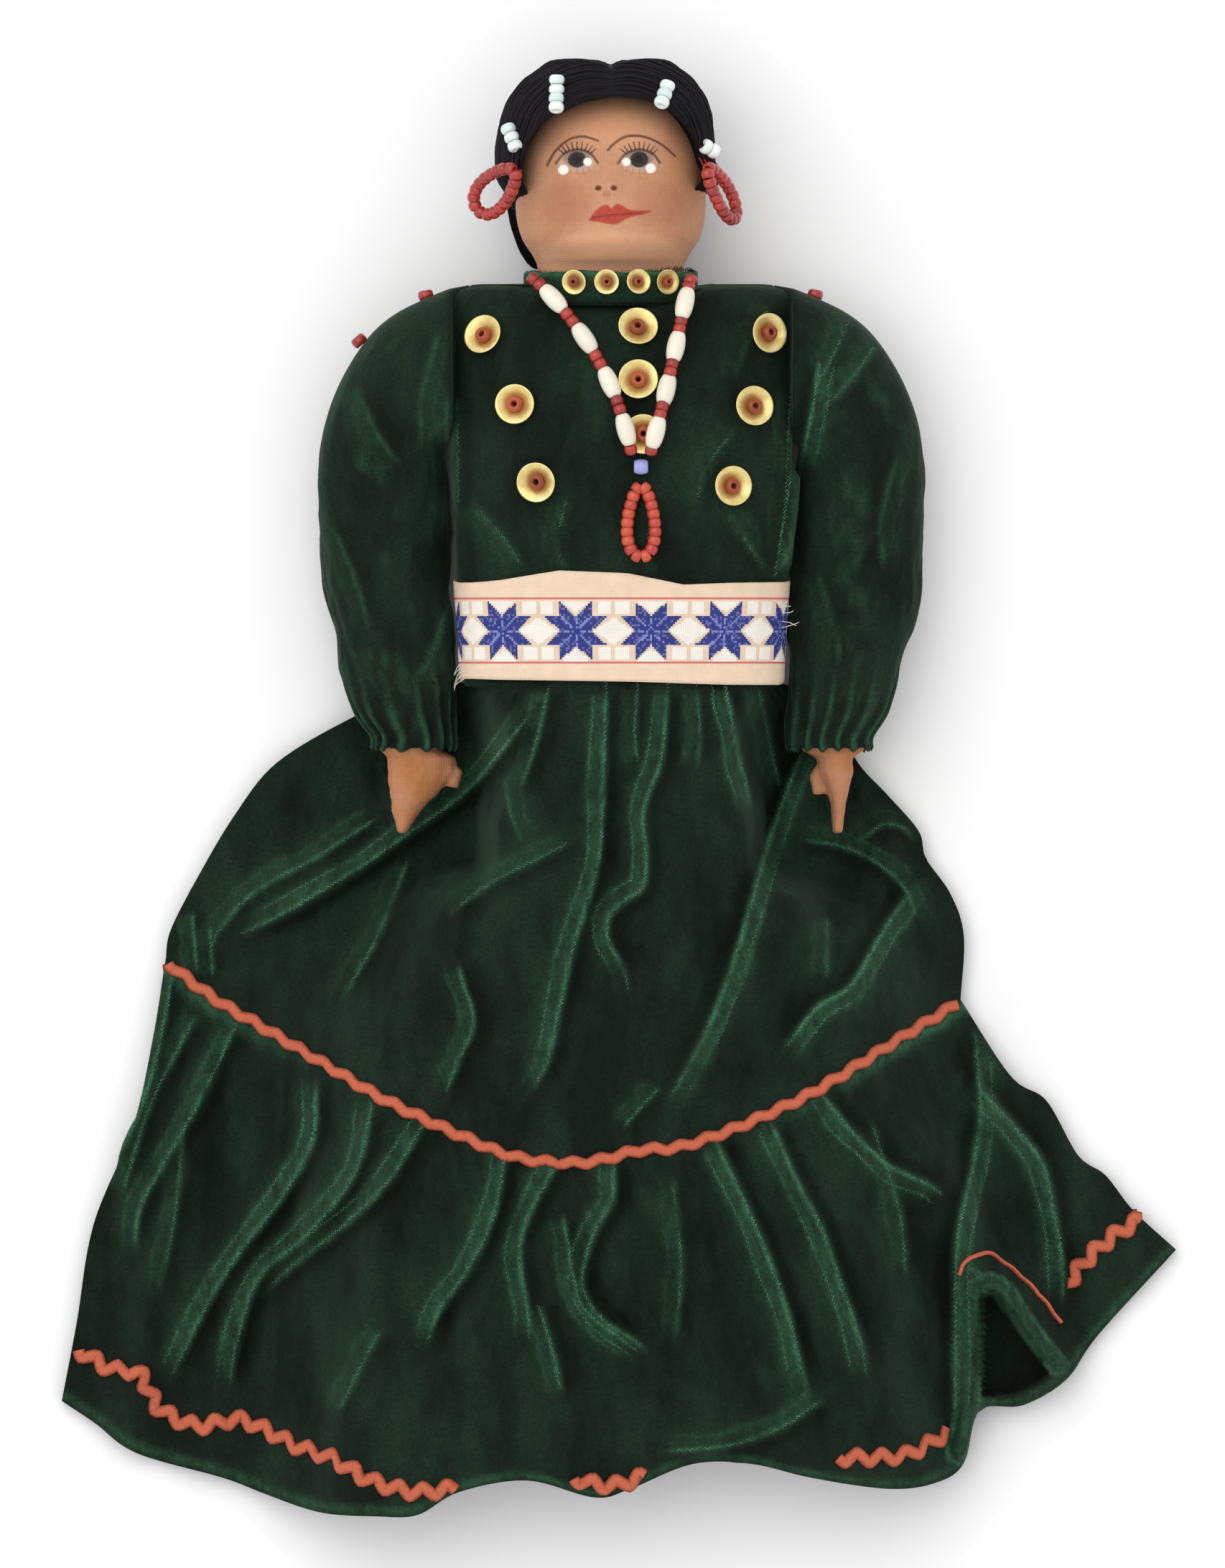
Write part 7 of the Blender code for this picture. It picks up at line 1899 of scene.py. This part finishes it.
class DOLL_OT_beads(bpy.types.Operator):
    """Builds the necklace, pendant, earrings, hair beads and shoulder beads"""

    bl_idname = "doll.beads"
    bl_label = "Beads"

    def execute(self, context):
        s = context.scene.doll_beads
        self.red = glass_material("red_glass_opaque", s.red, tuple(v * 0.55 for v in s.red))
        self.coral = glass_material("coral_glass_opaque", s.coral, s.red)
        self.ivory = glass_material("ivory_glass_opaque", s.ivory, tuple(v * 0.9 for v in s.ivory), 0.25)
        self.pale = glass_material("pale_turquoise_glass", linear("#eef3ee"), s.pale, 0.15)
        self.blue = glass_material("blue_white_glass", s.blue, linear("#dfe6f5"), 0.18)
        self.thread = fibre_material("dark_red_cotton_thread", tuple(v * 0.5 for v in s.red), s.red, 0.0006,
                                     0.85)
        self.necklace()
        self.pendant()
        self.earrings()
        self.hair_beads()
        self.shoulder_beads()
        return {"FINISHED"}

    def necklace(self):
        seeds, ovals = [], []
        sizes = {"s": (SEED_RADIUS, SEED_LENGTH), "o": (OVAL_RADIUS, OVAL_LENGTH)}
        for name, side in (("left", -1), ("right", 1)):
            tree = tree_of("necklace_strand_" + name)
            share = np.linspace(0, 1, 60)
            start = BODY_X - 2.4 + side * 17.8
            end = NECKLACE_CENTRE_X + side * 2.0
            x = start + (end - start) * share ** 0.8
            y = NECKLACE_TOP_Y + (NECKLACE_MEET_Y - NECKLACE_TOP_Y) * share
            z = np.array([mid_height(tree, a, b) for a, b in zip(x, y)])
            z = np.convolve(np.pad(z, 3, mode="edge"), np.ones(7) / 7, mode="valid")
            x = x + (2.8 if side < 0 else 0.8) * np.sin(math.pi * share)
            spots = threaded(np.stack([x, y, z], axis=1), [sizes[k] for k in STRAND])
            seeds += [spot for spot, kind in zip(spots, STRAND) if kind == "s"]
            ovals += [spot for spot, kind in zip(spots, STRAND) if kind == "o"]
        piece = copies("necklace_seed_beads", bead_model(), seeds, 21, self.red)
        dressed(piece, "necklace", "red_glass", "necklace_strand_left", "necklace_strand_right")
        dressed(copies("necklace_oval_beads", oval_model(), ovals, 22, self.ivory), "necklace", "white_glass")
        spot = (box_of("necklace_blue_bead")[2], (1.0, 0.0, 0.0), (1.7, 1.7, 1.6))
        blue = copies("necklace_blue_glass_bead", bead_model(), [spot], 23, self.blue)
        dressed(blue, "necklace", "blue_glass", "necklace_blue_bead")

    def pendant(self):
        _, high, middle = box_of("pendant_loop")
        top = high[1] - SEED_RADIUS
        turn = np.linspace(0, 2 * math.pi, 73)
        down = (1 - np.cos(turn)) / 2
        widening = 0.55 + 0.45 * down
        line = np.stack([NECKLACE_CENTRE_X + 3.8 * np.sin(turn) * widening, top - down * 15.4,
                         np.full(73, middle[2])], axis=1)
        spots = threaded(line, [(SEED_RADIUS, SEED_LENGTH)] * PENDANT_BEADS)
        piece = copies("pendant_seed_beads", bead_model(), spots, 24, self.coral)
        dressed(piece, "pendant", "red_glass", "pendant_loop")

    def earrings(self):
        hair = tree_of(bpy.data.objects["floss_cap"])
        for name, side, swing, tilt in EARRINGS:
            ahead = Vector((side * math.sin(swing), -math.cos(swing), -0.75)).normalized()
            flat = Vector((side * math.cos(swing), math.sin(swing), 0))
            across = (flat * math.cos(tilt) + ahead.cross(flat) * math.sin(tilt)).normalized()
            line = []
            for i in range(4 * EARRING_BEADS + 1):
                turn = 2 * math.pi * i / (4 * EARRING_BEADS)
                down = (1 - math.cos(turn)) / 2
                width = 4.3 * math.sin(turn) * (1 - 0.4 * (1 - down))
                line.append(np.array(ahead * down * 14.5 + across * width))
            line = np.array(line)
            line += box_of("earring_" + name)[2] - (line.max(0) + line.min(0)) / 2
            spots = threaded(line, [(SEED_RADIUS, SEED_LENGTH)] * EARRING_BEADS)
            piece = copies("earring_seed_beads_" + name, bead_model(), spots, 30 + side, self.red)
            dressed(piece, "earring_" + name, "red_glass", "earring_" + name)
            top = line[0]
            root = np.array(hair.find_nearest(Vector(top * MM))[0]) / MM
            inwards = (root - top) / max(0.01, float(np.linalg.norm(root - top)))
            loops = [curve([root + inwards * 1.5 + (apart, 0, 0), top + (0.6 * apart, 0, 0.9), top - inwards * 0.2],
                           4) for apart in (-0.5, 0.5)]
            stitch = strands("earring_stitches_" + name, loops, 0.17, 0.02, 50 + side, self.thread, spacing=0.4)
            dressed(stitch, "head", "red_glass")

    def hair_beads(self):
        hair = tree_of(bpy.data.objects["floss_cap"])
        for n, (name, (x0, y0, x1, y1, count)) in enumerate(HAIR_BEADS.items()):
            tree = tree_of("hair_beads_" + name)
            middle = box_of("hair_beads_" + name)[2]
            share = np.linspace(0, 1, 9)
            x = HEAD_X + HEAD_HALF_WIDTH * (x0 + (x1 - x0) * share)
            y = NECK_FOOT + HEAD_LENGTH * (y0 + (y1 - y0) * share)
            line = np.stack([x, y, np.zeros(9)], axis=1)
            line[:, :2] += middle[:2] - (line[0, :2] + line[-1, :2]) / 2
            line[:, 2] = [mid_height(tree, a, b) for a, b in line[:, :2]]
            packed = np.linspace(line[2, 2], line[-3, 2], 9)
            tops = [from_above(hair, a, b)[0] for a, b in line[:, :2]]
            seats = [top.z / MM + 0.7 * HAIR_BEAD_RADIUS for top in tops if top is not None]
            ends = (np.mean(seats[:3]), np.mean(seats[-3:])) if seats else (packed[0], packed[-1])
            line[:, 2] = np.clip(np.linspace(*ends, 9), packed - 2.0, packed + 0.6)
            centre = line.mean(0)
            line = centre + (line - centre) * count * HAIR_BEAD_LENGTH / length_of(line)
            spots = threaded(line, [(1.15 * HAIR_BEAD_RADIUS, HAIR_BEAD_LENGTH)] * count)
            piece = copies("hair_glass_beads_" + name, bead_model(), spots, 40 + n, self.pale)
            dressed(piece, "head", "white_glass", "hair_beads_" + name)

    def shoulder_beads(self):
        for side in ("left", "right"):
            names = [n for n in SHOULDER_BEADS if side in n]
            spots = []
            for name in names:
                middle = box_of(name)[2]
                out = np.array([middle[0] - BODY_X - (36 if side == "right" else -36), middle[1] - ARMPIT_Y, 0])
                out /= np.linalg.norm(out)
                spots.append((middle - out * 0.7, out, (1.75, 1.75, 1.15)))
            piece = copies("shoulder_glass_beads_" + side, bead_model(), spots, 50, self.red)
            dressed(piece, "arm_" + side, "red_glass", *names)


def seat_of(name):
    """The foot of a CAD sequin, the way it faces and its radius."""
    mesh = NODES[name].data
    points = np.array([v.co for v in mesh.vertices]) / MM
    middle = points.mean(0)
    _, _, axes = np.linalg.svd(points - middle)
    normal = axes[2] if axes[2][2] > 0 else -axes[2]
    up = (points - middle) @ normal
    flat = points - middle - np.outer(up, normal)
    return middle + normal * up.min(), normal, float(np.linalg.norm(flat, axis=1).max())


class DOLL_OT_sequins(bpy.types.Operator):
    """Builds the cup sequins with the beads that hold them"""

    bl_idname = "doll.sequins"
    bl_label = "Sequins"

    def execute(self, context):
        settings = context.scene.doll_beads
        gilt = sequin_material(settings)
        amber = glass_material("amber_glass_clear", settings.amber, tuple(v * 2.2 for v in settings.amber),
                               0.12)
        cups, holders = [], []
        names = (*CHEST_SEQUINS, *COLLAR_SEQUINS)
        for n, name in enumerate(names):
            foot, normal, radius = seat_of(name)
            lean = 0.10 * np.array([math.sin(n * 2.4), math.cos(n * 1.7), 0])
            if name == SHIFTED_SEQUIN:
                foot = foot + SEQUIN_SHIFT * np.array([-1.0, 0, normal[0] / normal[2]])
                lean = lean + (0, 0, SEQUIN_TILT)
            facing = normal + lean
            facing /= np.linalg.norm(facing)
            radius *= 1.0 if name in CHEST_SEQUINS else 1.2
            cups.append((foot + normal * 0.15, facing, (radius, radius, radius)))
            holders.append((foot + normal * (0.12 * radius + 0.8), facing,
                            (0.40 * radius, 0.40 * radius, 0.28 * radius)))
        dressed(copies("gilt_cup_sequins", cup_model(), cups, 61, gilt), "doll", "sequin", *names)
        dressed(copies("amber_holding_beads", bead_model(), holders, 62, amber), "doll", "red_glass")
        return {"FINISHED"}


class DOLL_OT_belt(bpy.types.Operator):
    """Builds the woven ribbon belt"""

    bl_idname = "doll.belt"
    bl_label = "Belt"

    def execute(self, context):
        ribbon = ribbon_material(context.scene.doll_belt)
        sides, rows = 260, 26
        turns = full_turn(sides) - math.pi / 2
        table = curve(BODY_SHARES, 12)
        rings, heights = [], []
        for share in np.arange(rows) / (rows - 1):
            y = BELT_FOOT + share * BELT_HEIGHT
            width, depth, squareness = (float(np.interp(y / BLOUSE_LENGTH, table[:, 0], table[:, k]))
                                        for k in (1, 2, 3))
            a, b = oval(turns, squareness)
            half_depth = BODY_HALF_DEPTH * depth + BELT_OUT
            z = BODY_Z + b * np.where(b > 0, half_depth, half_depth + FLAT_CUT - 0.5)
            x = BODY_X + a * (BODY_HALF_WIDTH * width + BELT_OUT)
            front = ease((z - BODY_Z) / 8)
            edge = (np.interp(x, BELT_EDGE_X, BELT_UPPER_RISE) * share ** 3
                    + np.interp(x, BELT_EDGE_X, BELT_LOWER_RISE) * (1 - share) ** 2)
            ripple = 0.16 * np.sin(x * 0.5 + 1.1) * share + 0.10 * np.sin(x * 1.3) * share
            rings.append(hoop(x, WAIST_Y - BELT_FOOT + y + edge * front, np.maximum(z + ripple * front, 0.35)))
            heights.append(y + edge * front)
        points = np.vstack(rings)
        piece = mesh_piece("woven_ribbon_belt", points, grid_faces(rows, sides, True), ribbon)
        half_way = rings[rows // 2]
        steps = np.linalg.norm(np.roll(half_way, -1, axis=0) - half_way, axis=1)
        arc = np.concatenate([[0], np.cumsum(steps)])
        middle = arc[np.argmin(np.abs(half_way[:, 0] - BELT_MIDDLE_X) + (half_way[:, 2] < BODY_Z) * 99)]
        lay_weave(piece, rows, sides, (arc - middle) / 100, np.array(heights) / 100)
        dressed(thickened(outwards(piece), 0.7 * MM), "doll", "belt_ribbon", "belt_ribbon")
        self.loose_threads(context.scene.doll_belt.white)
        return {"FINISHED"}

    def loose_threads(self, white):
        """Cut ends of the ribbon's threads, at both sides of the belt."""
        cotton = fibre_material("loose_ribbon_threads", tuple(v * 0.8 for v in white), white, 0.0006, 0.85)
        lines = []
        for n in range(4):
            bend, y = math.sin(n * 2.7), 39.6 - 1.6 * n
            lines.append(curve([(34.8, y, 27.0), (37.0, y + 0.5 * bend, 28.3),
                                (37.4 + 0.6 * (n * 5 % 4), y + 1.4 * bend, 27.9)], 5))
        for n in range(5):
            bend, y = math.sin(n * 1.9), 26.5 - 0.9 * n
            lines.append(curve([(-33.5, y + 1.0, 26.5), (-35.0, y, 25.5), (-35.9, y - 2.0 + bend, 23.5)], 5))
        threads = strands("loose_ribbon_threads", lines, 0.07, 0.4, 71, cotton, spacing=0.4)
        dressed(threads, "doll", "belt_ribbon")


def lay_weave(piece, rows, columns, run, heights):
    """A UV map for a closed grid: run along each ring, with one more value than columns, and heights up it."""
    layer = piece.data.uv_layers.new(name="weave")
    j, i = np.meshgrid(np.arange(rows - 1), np.arange(columns), indexing="ij")
    corners = ((j, i, i), (j + 1, i, i), (j + 1, i + 1, (i + 1) % columns), (j, i + 1, (i + 1) % columns))
    uv = np.stack([np.stack([run[k], heights[row, column]], axis=-1) for row, k, column in corners], axis=2)
    layer.data.foreach_set("uv", uv.astype(np.float32).ravel())


class DOLL_OT_braid(bpy.types.Operator):
    """Lays the rickrack braid on the seam and above the hem"""

    bl_idname = "doll.braid"
    bl_label = "Braid"

    def execute(self, context):
        settings = context.scene.doll_braid
        self.sizes = {"width": settings.width, "swing": settings.swing, "pitch": settings.pitch,
                      "thickness": settings.thickness}
        self.cotton = fibre_material("coral_cotton_rickrack", settings.coral, settings.pale, 0.0006, 0.8)
        cloth = self.joined("cloth_under_braid", "velvet_tier_front", "velvet_ruffle_front")
        self.lay("rickrack_seam_front", [self.seam(6)], SKIRT_EDGE_Z, cloth, "tier_rickrack_front",
                 swing=settings.swing * 0.42, width=settings.width * 0.95, pitch=settings.pitch * 1.1)
        self.lay("rickrack_hem_front", [curve(run, 5) for run in HEM_BRAIDS], SKIRT_EDGE_Z, cloth,
                 "hem_rickrack_front")
        self.lay("rickrack_turned_on_edge", [curve(FOLD_BRAID, 5)], SKIRT_EDGE_Z, cloth, width=1.0 * MM,
                 swing=0.12 * MM)
        bpy.data.objects.remove(cloth)
        self.back()
        return {"FINISHED"}

    def lay(self, name, lines, height, cloth, *nodes, **changed):
        """Braid along lines, which start at a height and drop on the cloth."""
        runs = [np.column_stack([line, np.full(len(line), height)]) for line in lines]
        piece = grow(lines_piece(name, runs), tree_named(braid_tree), cloth=cloth, material=self.cotton,
                     **{**self.sizes, **changed})
        dressed(piece, "doll", "rickrack", *nodes)

    def seam(self, per_span):
        line = curve(panel_edge(SEAM, TIER_HALF_WIDTH, TIER_LENGTH, WAIST_Y - WAIST_GAP + 0.2), per_span)
        return along(line, np.linspace(0.004, 0.996, 130))

    def joined(self, name, *pieces):
        """One object with the meshes of several, for a tree to drop lines on."""
        form = bmesh.new()
        for piece in pieces:
            form.from_mesh(bpy.data.objects[piece].data)
        mesh = bpy.data.meshes.new(name)
        form.to_mesh(mesh)
        form.free()
        return new_object(name, mesh)

    def back(self):
        """The braid under the back panels, flat between the cloth and the floor."""
        floor = flat_square("floor_under_braid", 200, 0.02)
        seam_y = WAIST_Y - WAIST_GAP - TIER_LENGTH
        hem = curve(panel_edge(HEM, RUFFLE_HALF_WIDTH, RUFFLE_LENGTH, seam_y + 9), 5)
        hem[:, 0] = BODY_X + (hem[:, 0] - BODY_X) * 0.93
        hem = along(hem, np.linspace(0.004, 0.996, 130))
        for name, node, line in (("seam", "tier", self.seam(5)), ("hem", "hem", hem)):
            self.lay("rickrack_" + name + "_back", [line], 30.0, floor, node + "_rickrack_back",
                     thickness=0.55 * MM)
        bpy.data.objects.remove(floor)


class DOLL_OT_stage(bpy.types.Operator):
    """Sets the floor, the lights and the camera"""

    bl_idname = "doll.stage"
    bl_label = "Stage"

    def execute(self, context):
        settings = context.scene.doll_stage
        flat_square("paper_floor", 2500, -0.15, floor_material(settings))
        world = bpy.data.worlds.new("even_light")
        world.use_nodes = True
        world.node_tree.nodes["Background"].inputs["Color"].default_value = (1, 1, 1, 1)
        world.node_tree.nodes["Background"].inputs["Strength"].default_value = settings.sky
        context.scene.world = world
        lamp = bpy.data.lights.new("large_soft_lamp", "AREA")
        lamp.shape = "SQUARE"
        lamp.size = 1.7
        lamp.energy = settings.lamp
        shown = bpy.data.objects.new("large_soft_lamp", lamp)
        shown.location = (-0.55, 0.6, 1.5)
        shown.rotation_euler = (Vector((0, 0, 0)) - shown.location).to_track_quat("-Z", "Y").to_euler()
        context.scene.collection.objects.link(shown)
        camera = bpy.data.cameras.new("camera")
        camera.sensor_fit = "VERTICAL"
        camera.sensor_height = 24.0
        plane = settings.height - 15 * MM
        camera.lens = 24.0 * plane / settings.view
        camera.clip_end = 20.0
        eye = bpy.data.objects.new("camera", camera)
        eye.location = (-1.4 * MM, 0.94 * MM, settings.height)
        context.scene.collection.objects.link(eye)
        context.scene.camera = eye
        context.scene.view_settings.view_transform = "Standard"
        return {"FINISHED"}


OPERATORS = (DOLL_OT_skirt, DOLL_OT_blouse, DOLL_OT_head, DOLL_OT_stuffing, DOLL_OT_moccasins, DOLL_OT_hair,
             DOLL_OT_belt, DOLL_OT_braid, DOLL_OT_sequins, DOLL_OT_beads, DOLL_OT_stage)


class DOLL_PT_panel(bpy.types.Panel):
    """Lists the doll's pieces and their settings"""

    bl_idname = "DOLL_PT_panel"
    bl_label = "Velvet Cloth Doll"
    bl_space_type = "VIEW_3D"
    bl_region_type = "UI"
    bl_category = "Doll"

    def draw(self, context):
        for operator in OPERATORS:
            self.layout.operator(operator.bl_idname)
        for name in SETTINGS:
            group = getattr(context.scene, name)
            box = self.layout.box()
            for key in group.__annotations__:
                box.prop(group, key)


def register():
    for group in SETTINGS.values():
        bpy.utils.register_class(group)
    for operator in OPERATORS:
        bpy.utils.register_class(operator)
    bpy.utils.register_class(DOLL_PT_panel)
    for name, group in SETTINGS.items():
        setattr(bpy.types.Scene, name, PointerProperty(type=group))


def unregister():
    for name in SETTINGS:
        delattr(bpy.types.Scene, name)
    for found in (DOLL_PT_panel, *reversed(OPERATORS), *reversed(list(SETTINGS.values()))):
        bpy.utils.unregister_class(found)


def main():
    register()
    for operator in OPERATORS:
        group, name = operator.bl_idname.split(".")
        getattr(getattr(bpy.ops, group), name)()


if __name__ == "__main__":
    main()
